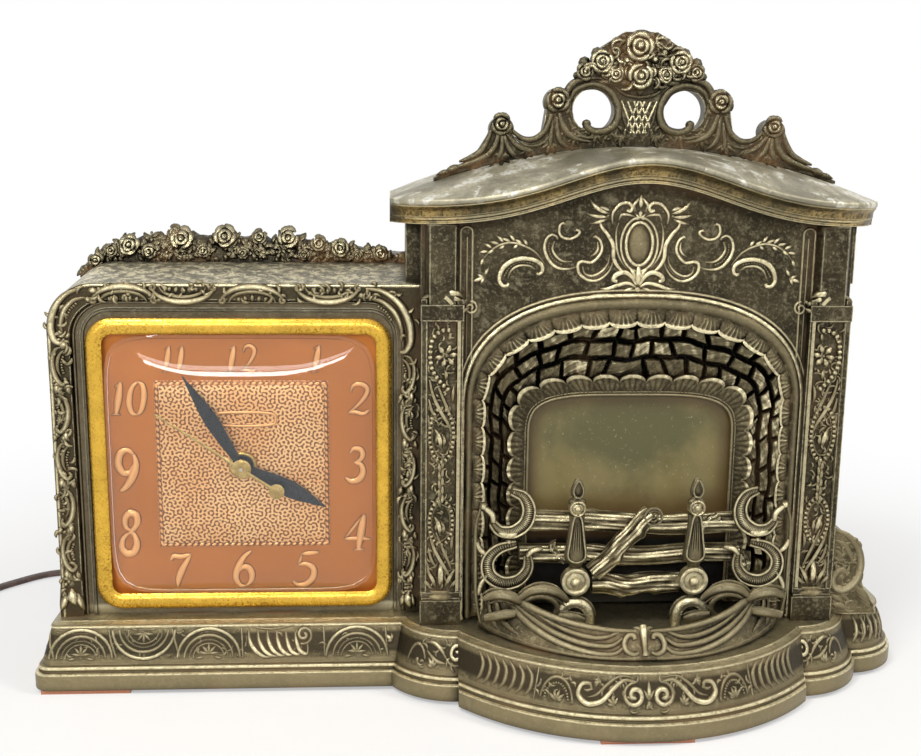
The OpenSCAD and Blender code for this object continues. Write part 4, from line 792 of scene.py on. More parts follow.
def make_camera(context):
    """The camera, where the photograph was taken from."""
    a, t, ro = (radians(v) for v in (CAMERA_YAW, CAMERA_PITCH, CAMERA_ROLL))
    ahead = Vector((sin(a) * cos(t), cos(a) * cos(t), -sin(t)))
    side = Vector((cos(a), -sin(a), 0))
    top = side.cross(ahead)
    right = side * cos(ro) + top * sin(ro)
    up = top * cos(ro) - side * sin(ro)
    bpy.ops.object.camera_add(location=CAMERA_AT)
    cam = context.object
    cam.name = "camera"
    cam.rotation_euler = Matrix((right, up, -ahead)).transposed().to_euler()
    cam.data.lens = CAMERA_LENS
    cam.data.sensor_width = CAMERA_SENSOR
    cam.data.clip_start = 0.01
    context.scene.camera = cam


def lamp(name, at, aim, size, power, tint=(1, 1, 1)):
    """A soft lamp at a place, turned to its aim."""
    bpy.ops.object.light_add(type="AREA", location=at)
    ob = bpy.context.object
    ob.name = name
    ob.rotation_euler = (Vector(aim) - Vector(at)).to_track_quat("-Z", "Y").to_euler()
    ob.data.shape = "RECTANGLE"
    ob.data.size, ob.data.size_y = size
    ob.data.energy = power
    ob.data.color = tint


def make_table(context):
    """The table: pale where it stands near, and white like the backdrop further off."""
    look = context.scene.clock_stage
    bpy.ops.mesh.primitive_circle_add(vertices=96, radius=TABLE_R, fill_type="NGON", location=(0, 0, 0))
    floor = context.object
    floor.name = "table"
    s = Shade("pale table")
    ray = s.add("ShaderNodeLightPath").outputs
    seen = s.sum("MAXIMUM", ray["Is Camera Ray"], s.sum("MAXIMUM", ray["Is Glossy Ray"], ray["Is Transmission Ray"]))
    reach = s.times(s.spread(s.vector("LENGTH", s.coord), 0.12, 0.50, 0.35, 1.0), seen)
    plain = s.add("ShaderNodeBsdfPrincipled",
                  **{"Base Color": list(look.floor), "Roughness": 0.75, "Specular IOR Level": 0.2})
    white = s.add("ShaderNodeEmission", Color=(1, 1, 1), Strength=1.0)
    blend = s.add("ShaderNodeMixShader")
    s.feed(blend.inputs[0], reach)
    s.feed(blend.inputs[1], plain.outputs[0])
    s.feed(blend.inputs[2], white.outputs[0])
    s.tree.links.new(blend.outputs[0], s.out.inputs["Surface"])
    floor.data.materials.append(s.mat)


def make_backdrop(context):
    """A world that lights softly and looks white."""
    world = bpy.data.worlds.new("studio")
    context.scene.world = world
    world.use_nodes = True
    tree = world.node_tree
    ground = tree.nodes["Background"]
    ground.inputs["Color"].default_value = (1.0, 0.99, 0.97, 1)
    ground.inputs["Strength"].default_value = WORLD_POWER
    backdrop = tree.nodes.new("ShaderNodeBackground")
    backdrop.inputs["Color"].default_value = (1, 1, 1, 1)
    ray = tree.nodes.new("ShaderNodeLightPath").outputs
    last = ray["Is Camera Ray"]
    for kind in ("Is Glossy Ray", "Is Transmission Ray"):
        either = tree.nodes.new("ShaderNodeMath")
        either.operation = "MAXIMUM"
        tree.links.new(last, either.inputs[0])
        tree.links.new(ray[kind], either.inputs[1])
        last = either.outputs[0]
    mixer = tree.nodes.new("ShaderNodeMixShader")
    tree.links.new(last, mixer.inputs[0])
    tree.links.new(ground.outputs[0], mixer.inputs[1])
    tree.links.new(backdrop.outputs[0], mixer.inputs[2])
    tree.links.new(mixer.outputs[0], tree.nodes["World Output"].inputs["Surface"])


def make_lamps(context):
    """Three soft lamps; the first one's power sets them all."""
    key = context.scene.clock_stage.key
    lamp("main lamp", (-0.45, -0.60, 1.05), (0.0, 0.0, 0.09), (0.30, 0.30), 0.78 * key, (1, 0.98, 0.94))
    lamp("side lamp", (0.80, -0.30, 0.80), (0.02, 0.0, 0.09), (0.25, 0.3), 0.45 * key, (1, 0.97, 0.92))
    lamp("window strip", (-0.16, -1.05, 0.56), (-0.09, 0.0, 0.1), (0.9, 0.06), 0.55 * key)
    context.scene.view_settings.view_transform = "Standard"


# Supply lead: twin flat flex, loose out of the case and wound on the table
LEAD_W = 5.2
LEAD_T = 2.7
LIE = LEAD_T / 2 + 0.05
LEAD_PTS = (
    (-122.4, 68.0, 38.8), (-122.4, 75.0, 38.3), (-123.0, 83.0, 33.0), (-127.0, 94.0, 21.0), (-134.0, 105.0, 8.0),
    (-146.0, 114.0, 2.0), (-170.0, 122.0, LIE), (-198.0, 120.0, LIE), (-214.0, 108.0, LIE), (-224.0, 94.0, LIE),
)
COIL_AT = (-270.0, 84.0)
COIL_IN = 16.5
COIL_PITCH = 7.0
COIL_RISE = LEAD_T + 0.9
COIL_DIR = -20.0
COIL_TURNS = 8.389
TAIL = ((0.0, 0.0), (20.0, 0.6), (34.0, 1.0), (52.0, 1.0))


def hermite(pts, first, last, per):
    """Points on a spline through places, with its end directions given."""
    out = []
    n = len(pts)
    for i in range(n - 1):
        p, q = Vector(pts[i]), Vector(pts[i + 1])
        a = Vector(first) if i == 0 else (q - Vector(pts[i - 1])) / 2
        b = Vector(last) if i == n - 2 else (Vector(pts[i + 2]) - p) / 2
        for j in range(per):
            t = j / per
            out.append(p * (2 * t ** 3 - 3 * t * t + 1) + a * (t ** 3 - 2 * t * t + t)
                       + q * (3 * t * t - 2 * t ** 3) + b * (t ** 3 - t * t))
    out.append(Vector(pts[-1]))
    return out


def lead_route():
    """The middle of the lead from the gland to the plug."""
    half = (COIL_TURNS - 0.5) / 2
    wide = COIL_IN + COIL_PITCH * half

    def turn_at(t):
        r = wide - COIL_PITCH * t if t < half else max(COIL_IN, COIL_IN + COIL_PITCH * (t - half - 0.5))
        x = min(max((t - half) / 0.5, 0), 1)
        a = radians(COIL_DIR - 360 * t)
        return Vector((COIL_AT[0] + r * cos(a), COIL_AT[1] + r * sin(a), LIE + COIL_RISE * x * x * (3 - 2 * x)))

    def ahead(t):
        a = radians(COIL_DIR - 360 * t)
        return Vector((sin(a), -cos(a), 0))

    steps = round(COIL_TURNS * 48)
    coil = [turn_at(COIL_TURNS * i / steps) for i in range(steps + 1)]
    start = coil[0] - LEAD_W * ahead(0)
    end = coil[-1] + LEAD_W * ahead(COIL_TURNS)
    lead = hermite([*LEAD_PTS, tuple(start)], (0, 12, 0), ahead(0) * 14, 8)
    lead = [Vector((p.x, p.y, max(p.z, LIE))) for p in lead]
    away = ahead(COIL_TURNS)
    drop = (0.0, -0.6 * COIL_RISE, LIE - end.z, LIE - end.z)
    tail = hermite([tuple(end + away * d + Vector((0, 0, z))) for (d, _), z in zip(TAIL, drop)], away * 16, away * 12,
                   6)
    return lead + coil + tail, away


def make_cord(context):
    """One moulded twin lead along the whole route, with a groove between its two cores."""
    line, away = lead_route()
    section = []
    for k in range(20):
        a = radians(18 * k + 9)
        x, y = cos(a), sin(a)
        y *= 1 - 0.24 * exp(-((x / 0.22) ** 2))
        section.append((x * LEAD_W / 2, y * LEAD_T / 2))
    rows = []
    for i, p in enumerate(line):
        d = line[min(i + 1, len(line) - 1)] - line[max(i - 1, 0)]
        d = Vector((0, 1, 0)) if i == 0 else away if i == len(line) - 1 else d.normalized()
        side = d.cross(Vector((0, 0, 1))).normalized()
        up = side.cross(d)
        rows.append([tuple(p + side * x + up * y) for x, y in section])
    ob = sheet_of("supply_lead", rows, ring=True, caps=True)
    hand_over(ob, "cord", "cord_rubber", "cord_lead", "cord_coil", "cord_tail", angle=50)


# Finishes of the solids that stay as they are
KEPT = {
    "plain": ("base_plinth", "side_volute", "rose_garland"), "case": ("clock_case",),
    "ground": ("fireplace_body", "column_left", "column_right", "crest"),
    "sooty": ("hearth_insert", "fender", "andiron_left", "andiron_right", "log_grate"),
    "plate": ("dial_surround",), "silver": ("mantel_shelf",),
    "felt": ("foot_pads",), "gilt": ("bezel",), "glass": ("crystal",), "dial": ("dial_plate",),
    "screen": ("fire_screen",), "lacquer": ("hour_hand", "minute_hand"),
    "brass": ("second_hand", "dial_collar", "movement_plate_front", "movement_plate_back", "centre_wheel",
              "intermediate_wheel",
              "minute_wheel", "hour_wheel", "set_knob", "plug_blades"),
    "steel": ("movement_pillars", "movement_screws", "seconds_arbor", "motor_pinion", "set_arbor", "lamp_bracket",
              "clock_back_screws", "firebox_back_screws"),
    "can": ("motor_can",), "iron": ("stator_core",), "tape": ("motor_coil",), "bulb": ("lamp_bulb",),
    "film": ("flame_drum",),
    "bakelite": ("lamp_socket", "cord_relief", "plug_body"), "sheet": ("clock_back", "firebox_back"),
}


def finish_solids():
    """Gives the solids their finishes."""
    for finish, names in KEPT.items():
        for name in names:
            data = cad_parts[name].data
            if not data.materials:
                data.materials.append(None)
            for i in range(len(data.materials)):
                data.materials[i] = FINISH[finish]


# Plinth
LEFT_X, RIGHT_X = BASE_LO[0], BASE_HI[0]
RIM_Y = -10.0
BOW_AT = (FX, 32)
BOW_R = 90.0
PED_DX, PED_Y, PED_R = 66.5, 5.5, 29.7
LOBE_AT = (150, 18.5)
LOBE_R = 23.0
SLOPE_Z0, SLOPE_Z1 = 12.6, 24.6
SLOPE_IN0, SLOPE_IN1 = 2.9, 6.6


def slope_in(z):
    """How far the carved face of the plinth is drawn in at a height."""
    t = (z - SLOPE_Z0) / (SLOPE_Z1 - SLOPE_Z0)
    return SLOPE_IN0 + (SLOPE_IN1 - SLOPE_IN0) * t


def circle_points(at, r, a0, a1, n):
    """Points on a circle, from one angle to the other in n steps."""
    turns = [radians(a0 + (a1 - a0) * i / n) for i in range(n + 1)]
    return [(at[0] + r * cos(a), at[1] + r * sin(a)) for a in turns]


def plinth_ring(d):
    """Outline of the plinth drawn in by a distance, from its back left corner round the front."""
    r = 6 - d / 2
    front = RIM_Y + d
    pts = [(LEFT_X + d, BACK_Y - d), (LEFT_X + d, 30), (LEFT_X + d, 10)]
    pts += circle_points((LEFT_X + d + r, front + r), r, 180, 270, 8)
    pr = PED_R - d
    drop = degrees(asin((PED_Y - front) / pr))
    ped = (FX - PED_DX, PED_Y)
    reach = ped[0] - pr * cosd(drop)
    start = LEFT_X + d + r
    pts += [(start + (reach - start) * i / 12, front) for i in range(1, 12)]
    pts += circle_points(ped, pr, 180 + drop, 270, 16)
    br = BOW_R - d
    side = degrees(acos(PED_DX / br))
    pts += circle_points(BOW_AT, br, 180 + side, 360 - side, 64)
    lr = LOBE_R - d
    other = (FX + PED_DX, PED_Y)
    dx, dy = LOBE_AT[0] - other[0], LOBE_AT[1] - other[1]
    gap = hypot(dx, dy)
    along = (gap * gap + pr * pr - lr * lr) / (2 * gap)
    off = sqrt(max(pr * pr - along * along, 0))
    meet = (other[0] + (along * dx + off * dy) / gap, other[1] + (along * dy - off * dx) / gap)
    a1 = degrees(atan2(meet[1] - other[1], meet[0] - other[0]))
    b0 = degrees(atan2(meet[1] - LOBE_AT[1], meet[0] - LOBE_AT[0]))
    pts += circle_points(other, pr, -90, a1, 16)
    pts += circle_points(LOBE_AT, lr, b0, 0, 14)
    pts += [(RIGHT_X - d, 40), (RIGHT_X - d, BACK_Y - d)]
    pts += [(RIGHT_X - d + (LEFT_X - RIGHT_X + 2 * d) * i / 6, BACK_Y - d) for i in range(1, 6)]
    return pts


PLINTH_FORM = (
    (11.5, DECK - 3.0), (11.5, 1.5), (0.6, 1.5), (0.1, 1.9), (0, 2.6), (0, 7.4), (0.2, 8.1), (0.9, 8.4), (1.5, 8.5),
    (1.6, 9), (1.3, 9.4), (1.2, 10), (1.4, 10.6), (1.9, 10.9), (2.7, 11.1), (2.9, 11.6), (2.9, 12.4), (3.8, 15.6),
    (4.7, 18.6), (5.7, 21.8), (6.5, 24.2), (6.3, 24.5), (6.1, 25.1), (6.3, 25.7), (7, 26.1), (8.3, 26.3), (9, 26.8),
    (11.5, 26.8),
)


PLINTH_BRIGHT = (8.1, 8.4, 10, 10.6, 24.5, 25.1)


def plinth_mark(y, z):
    """How bright the plinth is at a height: its edges, its deck and rim, and the dark ground of its carving."""
    if z in PLINTH_BRIGHT:
        return 0.9
    if z > 26:
        return 0.66
    plain = z >= 24 or z <= 12.5 or y > BACK_Y - 8
    return 0.4 if plain else -0.8


def make_plinth(context):
    """Stepped plinth, hollow from below."""
    rows = [[(x, y, z) for x, y in plinth_ring(d)] for d, z in PLINTH_FORM]
    marks = [[plinth_mark(p[1], z) for p in rows[0]] for _, z in PLINTH_FORM]
    skirt = sheet_of("plinth", rows, ring=True, caps=True, relief=marks)
    hand_over(skirt, "bronze", "antique_bronze", "base_plinth", angle=32)


def on_slope(u, v, w):
    """Lays a drawing in X and Z on the straight carved face, and round its left corner."""
    d = slope_in(v)
    r = 6 - d / 2
    past = LEFT_X + d + r - u
    if past < 0:
        return u, RIM_Y + d - 0.955 * w, v + 0.3 * w
    a = min(past / r, pi / 2)
    x = LEFT_X + d + r - (r + 0.955 * w) * sin(a)
    y = RIM_Y + d + r - (r + 0.955 * w) * cos(a) + max(past - r * pi / 2, 0)
    return x, y, v + 0.3 * w


def on_round(at, radius):
    """Lays a drawing on a round carved face; u runs along the curve from its middle."""
    def place(u, v, w):
        r = radius - slope_in(v) + 0.955 * w
        a = u / radius
        return at[0] + r * sin(a), at[1] - r * cos(a), v + 0.3 * w
    return place


def line(*pts, r=0.35):
    """A plain run of even thickness through places."""
    return (list(pts), r)


def curve(r, *xy, start=0.15, end=0.15, peak=0.5, per=5):
    """A smooth stroke through places given as x, y, x, y."""
    pts = [(xy[i], xy[i + 1]) for i in range(0, len(xy), 2)]
    return (smooth_path(pts, per), taper(r, start, end, peak))


def flower(x, y, r, n=5, turn=0, width=0.32):
    """Small cast flower: round petals and a button."""
    out = []
    for k in range(n):
        a = radians(turn + 360 * k / n)
        out.append(([(x + 0.25 * r * cos(a), y + 0.25 * r * sin(a)), (x + 0.65 * r * cos(a), y + 0.65 * r * sin(a)),
                     (x + r * cos(a), y + r * sin(a))], taper(width * r, 0.35, 0.5, 0.7)))
    return out + [berry(x, y, 0.24 * r)]


def lunette(x, y, rx, ry, up=1):
    """Nested arcs with beads between them and a small flower under them."""
    a0, a1 = (2, 178) if up > 0 else (-2, -178)
    out = [(arc(x, y, rx, ry, a0, a1), taper(0.62, 0.7, 0.7)),
           (arc(x, y, 0.78 * rx, 0.78 * ry, a0, a1), taper(0.5, 0.6, 0.6)),
           beads(arc(x, y, 0.62 * rx, 0.62 * ry, a0, a1, 6), 0.3), (arc(x, y, 0.50 * rx, 0.50 * ry, a0, a1), 0.24)]
    for k in range(5):
        out.append(leaf(x, y + 1.6 * up, (6 + 42 * k) * up, 0.32 * rx, 0.5))
    return out + [berry(x, y + 1.8 * up, 0.6), leaf(x - 2.0, y + 0.4 * up, 190 * up, 3.4, 0.45),
                  leaf(x + 2.0, y + 0.4 * up, -10 * up, 3.4, 0.45)]


def swirl_shell(x, y, r):
    """Shell whose long flutes sweep round into a spiral."""
    out = []
    for k in range(6):
        out.append(curve(0.72, x - 1.45 * r + 3.6 * k, y + 0.62 * r - 0.25 * k, x - 1.40 * r + 3.6 * k, y + 0.1 * r,
                         x - 1.10 * r + 3.4 * k, y - 0.38 * r,
                         x - 0.62 * r + 3.2 * k, y - 0.66 * r + 0.2 * k, x - 0.1 * r + 2.4 * k,
                         y - 0.62 * r + 0.9 * k, start=0.25, end=0.2, peak=0.45))
    out.append((spiral(x + 1.22 * r, y + 0.34 * r, 0.44 * r, 1.5, -110, 0.15), taper(0.55, 0.6, 0.9)))
    out.append(curve(0.42, x - 1.5 * r, y + 0.78 * r, x - 0.4 * r, y + 0.62 * r, x + 0.8 * r, y + 0.80 * r, start=0.5,
                     end=0.5))
    return out


def make_base_bands(context):
    """Scrolls and leaves of the straight face, the bow, the pedestals and the lobe."""
    low, high = SLOPE_Z0 + 0.3, SLOPE_Z1 - 0.2
    strokes = []
    for x, kind in ((-154.8, 1), (-130.9, -1), (-105.9, 1), (-48.6, 1)):
        strokes += lunette(x, low + 0.3 if kind > 0 else high - 0.3, 12, 10.8, kind)
    strokes += swirl_shell(-79, 18.6, 8)
    for x in (-142.8, -118.4, -166.4):
        strokes += [curve(0.45, x - 1.6, high - 0.4, x - 0.4, 19, x + 1.6, low + 0.4, start=0.6, end=0.6),
                    berry(x + 2.6, high - 1.2, 0.6),
                    berry(x - 2.6, low + 1.3, 0.6)]
    strokes += [curve(0.45, x, high, x + 0.6, low + 0.3, start=0.6, end=0.6) for x in (-93.4, -61.6)]
    strokes += [curve(0.45, -37.6, high, -36.6, low + 0.3, start=0.6, end=0.6)]
    for x in (-92, -60.2, -36.4):
        strokes += [berry(x - 2.8, high - 1.5, 0.5), berry(x - 2.8, low + 1.2, 0.5)]
    strokes += fan(-34.4, 19, 150, 4.2, 0.7, 3, 70)
    strokes += filler(70, 11, -176, low + 0.6, -36, high - 0.6, 0.34, 1.6, -0.2)
    straight = cast("base_scrolls_left", strokes, on_slope, tall=0.85, fill=0.85, bold=1.35)

    half = [
        (spiral(5.4, 17.6, 4.4, 1.6, 90, 0.14, -1), taper(0.8, 0.5, 0.8)),
        curve(0.85, 5.2, 22, 9.5, 22.6, 13.5, 19.5, 17.8, 15.2, 23, 14, 26.5, 16.8, 25.4, 20.4, 22.4, 20.8, 21.6,
              18.8, start=0.5, end=0.5),
        curve(0.5, 6, 23.6, 11, 23.9, 15.5, 21.2, 19.5, 17.4, 23, 16.2, start=0.4, end=0.3),
        *fan(13, 14, 60, 4.6, 0.65, 4, 90), *fan(18.8, 22.6, -60, 3.6, 0.6, 3, 80),
        (arc(34.8, low + 0.5, 6.2, 8.4, 6, 174), taper(0.5, 0.6, 0.6)),
        beads(arc(34.8, low + 0.5, 4.6, 6.4, 6, 174), 0.42),
        *[leaf(34.8, low + 0.8, 40 + 33 * k, 4, 0.6) for k in range(4)],
        curve(0.5, 42.8, high, 43.4, low, start=0.6, end=0.6),
    ]
    for k in range(7):
        x = 45.8 + 3.7 * k
        half.append(curve(0.62, x + 2.6, high - 0.3, x - 0.6, 20.5, x - 0.4, 16.2, x + 1.6, low + 0.4, start=0.35,
                          end=0.35))
    middle = [berry(0, 14.6, 1), *fan(0, 16, 90, 6.4, 0.75, 3, 46), *fan(0, low + 0.2, 90, 2.6, 0.5, 5, 130)]
    half += filler(36, 12, 3, low + 0.6, 44, high - 0.6, 0.42, 2)
    bow = cast("base_scrolls_bow", both(half) + middle, on_round(BOW_AT, BOW_R), tall=0.95, bold=1.4)

    rosette = [
        (spiral(-0.5, 18.9, 4.8, 1.75, 200, 0.12), taper(0.7, 0.5, 0.9)),
        curve(0.65, -5.2, 17.2, -8, 20.6, -12, 22.6, -16.2, 22, start=0.5),
        curve(0.55, -5.6, 15.4, -10, 16.2, -14.6, 19.4, start=0.4, end=0.2), *fan(-11, 13.6, 110, 5, 0.7, 4, 90),
        *fan(7.6, 14, 70, 7.6, 0.8, 4, 74), curve(0.5, 5.4, 23.4, 9.6, 22.4, 12.6, 18.4, start=0.4, end=0.2),
        (arc(-19.4, low + 0.6, 4.6, 7.6, 20, 170), taper(0.5, 0.5, 0.5)), berry(-19, 15, 0.9),
    ]
    rosette += filler(24, 13, -22, low + 0.6, 13, high - 0.6, 0.42, 2)
    left = cast("base_rosette_left", rosette, on_round((FX - PED_DX, PED_Y), PED_R), tall=0.9, bold=1.5)
    right = cast("base_rosette_right", flip(rosette), on_round((FX + PED_DX, PED_Y), PED_R), tall=0.9, bold=1.5)
    lobe = []
    for k in range(6):
        x = 3.0 + 4.6 * k
        lobe += [curve(0.7, x - 2.0, low + 0.5, x + 0.4, 16.5, x + 0.4, 20.5, x - 1.6, high - 0.4, start=0.3,
                       end=0.3)]
    lobe += filler(24, 14, 2, low + 0.6, 28, high - 0.6, 0.4, 2)
    end = cast("base_lobe_flutes", lobe, on_round(LOBE_AT, LOBE_R), tall=0.9, bold=1.4)
    for ob in (straight, bow, left, right, end):
        hand_over(ob, "ornament", "antique_bronze", angle=60)


# Clock case: worn roof edge, scrolled border and garland
def case_outline(d, n=10):
    """Left side and top of the case front, from its left foot to the fireplace."""
    r = max(CASE_ROUND - d, 1)
    x, top = CASE_X0 + d, CASE_TOP - d
    pts = [(x, DECK + (top - r - DECK) * i / 14) for i in range(14)]
    pts += [(x + r - r * cosd(90 * i / n), top - r + r * sind(90 * i / n)) for i in range(n + 1)]
    pts += [(x + r + (FIRE_X0 - 0.4 - x - r) * i / 16, top) for i in range(1, 17)]
    return pts


def make_case_edge(context):
    """Rounded worn nose that runs round the front of the case."""
    form = ((0.2, 1.6), (0.05, 0.6), (0.2, 0.15), (0.7, -0.15), (1.3, -0.1), (1.7, 0.3), (1.7, 1.6))
    rows = []
    for d, back in form:
        rows.append([(x, CASE_Y + max(back, -0.15), z) for x, z in case_outline(d)])
    marks = [[m] * len(rows[0]) for m in (0.3, 0.8, 1, 0.9, 0.6, 0, 0)]
    nose = sheet_of("case_nose", rows, loop=True, caps=True, relief=marks)
    hand_over(nose, "ornament", "antique_bronze", angle=60)


def side_scroll(x, z, k):
    """One C-scroll with its leaf and beads, as it runs up the side of the border; k of -1 mirrors it."""
    c = [
        curve(0.75, 1.5, 9.6, -0.9, 8.6, -2.3, 5.2, -2.3, 1.2, -1.2, -2.6, 0.8, -4.8, 2.2, -3.6, 1.6, -2.2, start=0.3,
              end=0.5),
        curve(0.55, 2.4, 8.4, 0.4, 6.6, -0.6, 3.6, -0.4, 0.4, 0.6, -1.8, start=0.3, end=0.3),
        beads([(1.8, 6.2), (1, 3.8), (1, 1.2), (1.7, -0.8)], 0.42),
        leaf(-1.6, -4.2, -70, 4.6, 0.85, -24), leaf(-0.4, -5, -100, 4.2, 0.7, 20), leaf(2.6, -5.2, -86, 3.8, 0.7, 14),
    ]
    c = [([(k * p[0], *p[1:]) for p in pts], r) for pts, r in c]
    return moved(c, x, z)


def make_case_border(context):
    """Arches, bowls and scrolls cast round the face plate."""
    y = CASE_Y - 0.1
    strokes = []
    z = 153.9
    for x, up in ((-134.6, 1), (-112.6, -1), (-87, 1), (-58.8, -1)):
        foot = z - 3.1 if up > 0 else z + 3.1
        a0, a1 = (0, 180) if up > 0 else (0, -180)
        strokes += [(arc(x, foot, 11.6, 6, a0, a1), taper(0.85, 0.35, 0.35)),
                    (arc(x, foot, 8.6, 4.2, a0, a1), taper(0.6, 0.35, 0.35))]
        strokes += [leaf(x + 2.2 * k, foot + 0.4 * up, (90 - 16 * k) * up, 3.0 - 0.35 * abs(k), 0.55) for k in (-2,
            -1, 0, 1, 2)]
        strokes += [(spiral(x + s * 11.4, foot + 0.7 * up, 1.4, 1.1, 90, 0.2, s), 0.42) for s in (-1, 1)]
    corner = [
        curve(1, -150, 156, -155.6, 153.6, -159.8, 148.6, -161.6, 142, -160.6, 136.8, -158.2, 135.4, -157, 137.2,
              start=0.35, end=0.4),
        curve(0.75, -148.6, 152.6, -153, 151.4, -156.6, 147.4, -158, 142, -157.4, 138.8, start=0.35, end=0.3),
        beads([(-151.6, 150.6), (-154.2, 148.2), (-156, 144.6)], 0.45),
        leaf(-147.6, 155, 14, 4.6, 0.85, -20), leaf(-149, 152.2, -4, 3.4, 0.7, -20), *rose(-157.4, 134.8, 1.5),
    ]
    strokes += corner
    right = [
        curve(1.05, -44.6, 156, -38.4, 155.2, -32, 150.6, -28.2, 143.4, -27.6, 136.4, -29.4, 132.4, -31.6, 131.8,
              start=0.35, end=0.4),
        curve(0.8, -43.2, 152.6, -38.2, 151.2, -33.6, 147, -31.2, 141, -31.2, 136, start=0.4, end=0.3),
        beads([(-40.2, 149.8), (-37, 147.4), (-34.8, 144)], 0.45), leaf(-44.6, 153.6, 170, 3.6, 0.75, 24),
    ]
    strokes += right
    for k, zz in enumerate((124.4, 106, 87.6, 69.2, 50.8)):
        strokes += side_scroll(-159.4, zz, -1 if k % 2 else 1)
        strokes += [berry(-159.6, zz - 10.4, 0.8), *fan(-159.2, zz - 9.2, 90, 3.4, 0.5, 3, 60)]
    for k, zz in enumerate((121, 102.6, 84.2, 65.8, 47.4)):
        strokes += side_scroll(-28.6, zz, 1 if k % 2 else -1)
        strokes += [berry(-28.6, zz - 10.0, 0.8),
                    *[line((-30, zz - 11.6 + 1.5 * j), (-27.2, zz - 11.3 + 1.5 * j), r=0.4) for j in range(3)]]
    strokes += [leaf(-159.4, 38.6, -90, 8, 1.3, 16), leaf(-161.4, 36.4, -100, 8, 1, -10),
                leaf(-157.2, 36.4, -80, 7.6, 0.9, 10)]
    strokes += [leaf(-28.8, 35.8, -90, 7.6, 1.2, 12), leaf(-30.4, 34.6, -96, 5.6, 0.8, -8),
                leaf(-27, 34.6, -84, 5.6, 0.8, 8)]
    strokes += filler(70, 21, -150, 151.9, -32, 157.2, 0.5, 2, 0.1)
    strokes += filler(80, 22, -162.2, 34, -156.2, 150, 0.5, 1.9, 0.1) + filler(80, 23, -30.4, 34, -26.2, 150, 0.5,
        1.9, 0.1)
    border = cast("case_border", strokes, on_front(y), sides=2, tall=1.4, fill=0.9, bold=1.7, painted_crown_light=0.6)
    hand_over(border, "ornament", "antique_bronze", angle=60)


GARLAND_TOP = (
    (-167, 156.5), (-162, 161), (-157.3, 163.4), (-152, 168), (-146, 170.9), (-137.5, 174), (-128, 174.4),
    (-113.7, 175.6), (-99, 175.2), (-85, 173.6), (-75, 174.4), (-63, 172), (-52, 170.4), (-40, 168.2), (-26, 166.8),
)
GARLAND_ROSES = (
    (-140.4, 168.6, 4.4), (-122.8, 173.6, 3.2), (-119.6, 171.4, 4.9), (-102.4, 172.2, 4.8), (-88.6, 172, 3.3),
    (-76.8, 171.8, 4.6), (-64.6, 169.6, 3.5), (-55.8, 167.8, 4), (-39.4, 165.6, 3.4), (-153.6, 162.4, 3.5),
    (-147.6, 166.4, 2.9), (-110.8, 166.4, 3), (-132.4, 166, 3.3), (-95, 165.6, 2.8), (-70.6, 165, 2.6),
    (-48.6, 164.4, 2.6),
)


def garland_height(x):
    """Height of the garland's top over a place."""
    for (x0, z0), (x1, z1) in zip(GARLAND_TOP, GARLAND_TOP[1:]):
        if x0 <= x <= x1:
            return z0 + (z1 - z0) * (x - x0) / (x1 - x0)
    return GARLAND_TOP[-1][1]


def roof_at(x):
    """Height of the level part of the roof over a place."""
    r = CASE_ROUND
    edge = CASE_X0 + r - x
    return ROOF_Z if edge <= 0 else ROOF_Z - r + sqrt(max(r * r - edge * edge, 0))


def make_garland(context):
    """Bank of roses, leaves and fruit that closes the back of the roof."""
    y0, y1 = SLOPE_Y + 0.8, BACK_Y - 0.4
    xs = [CASE_X0 + 4.2 + (FIRE_X0 - 0.6 - CASE_X0 - 4.2) * i / 90 for i in range(91)]
    rows = []
    for t, k in ((0, 0), (0.03, 0.35), (0.14, 0.66), (0.34, 0.86), (0.60, 0.95), (0.86, 0.9), (1, 0.7), (1, 0)):
        row = []
        for i, x in enumerate(xs):
            base = roof_at(x) - 0.6
            lump = 0.88 + 0.08 * sin(0.62 * i + 5 * t) + 0.06 * sin(1.31 * i - 8 * t)
            row.append((x, y0 + (y1 - y0) * t, base + (garland_height(x) - 1.0 - base) * k * lump))
        rows.append(row)
    bank = sheet_of("garland_bank", rows, loop=True, caps=True)
    hand_over(bank, "dusty", "antique_bronze", "rose_garland", angle=70)

    def lean(u, v, w):
        rise = max(v - roof_at(u), 0) / 12.0
        return u, SLOPE_Y + 0.4 + 5.2 * rise * rise - w, v

    strokes = []
    for i, (x, z, r) in enumerate(GARLAND_ROSES):
        strokes += rose(x, z, r, 0.3 * r, 40 * i)
    for i in range(330):
        x = -160.0 + 134.0 * hash_of(i, 61)
        base = roof_at(x)
        z = base + 1.0 + (garland_height(x) - base - 3.4) * hash_of(i, 62)
        a = 360 * hash_of(i, 63)
        strokes += [leaf(x, z, a, 3.6, 1.05, 50 * (hash_of(i, 64) - 0.5), 0.3)]
        if i % 5 == 0:
            strokes += [berry(x + 1.0, z, 1.1, 0.5)]
        if i % 8 == 1:
            strokes += flower(x, z, 2.2, 5, a)
    blooms = cast("garland_roses", strokes, lean, tall=2.1, fill=0.9, painted_crown_light=0.85)
    hand_over(blooms, "dusty", "antique_bronze", angle=60)


# Face plate, dial, glass and hands
FACE_HALF = 62.6
FACE_TOP = 151.4
DIAL_Y = 7.2
GLASS_HALF = 51.3
GLASS_RIM_Y = 4.2


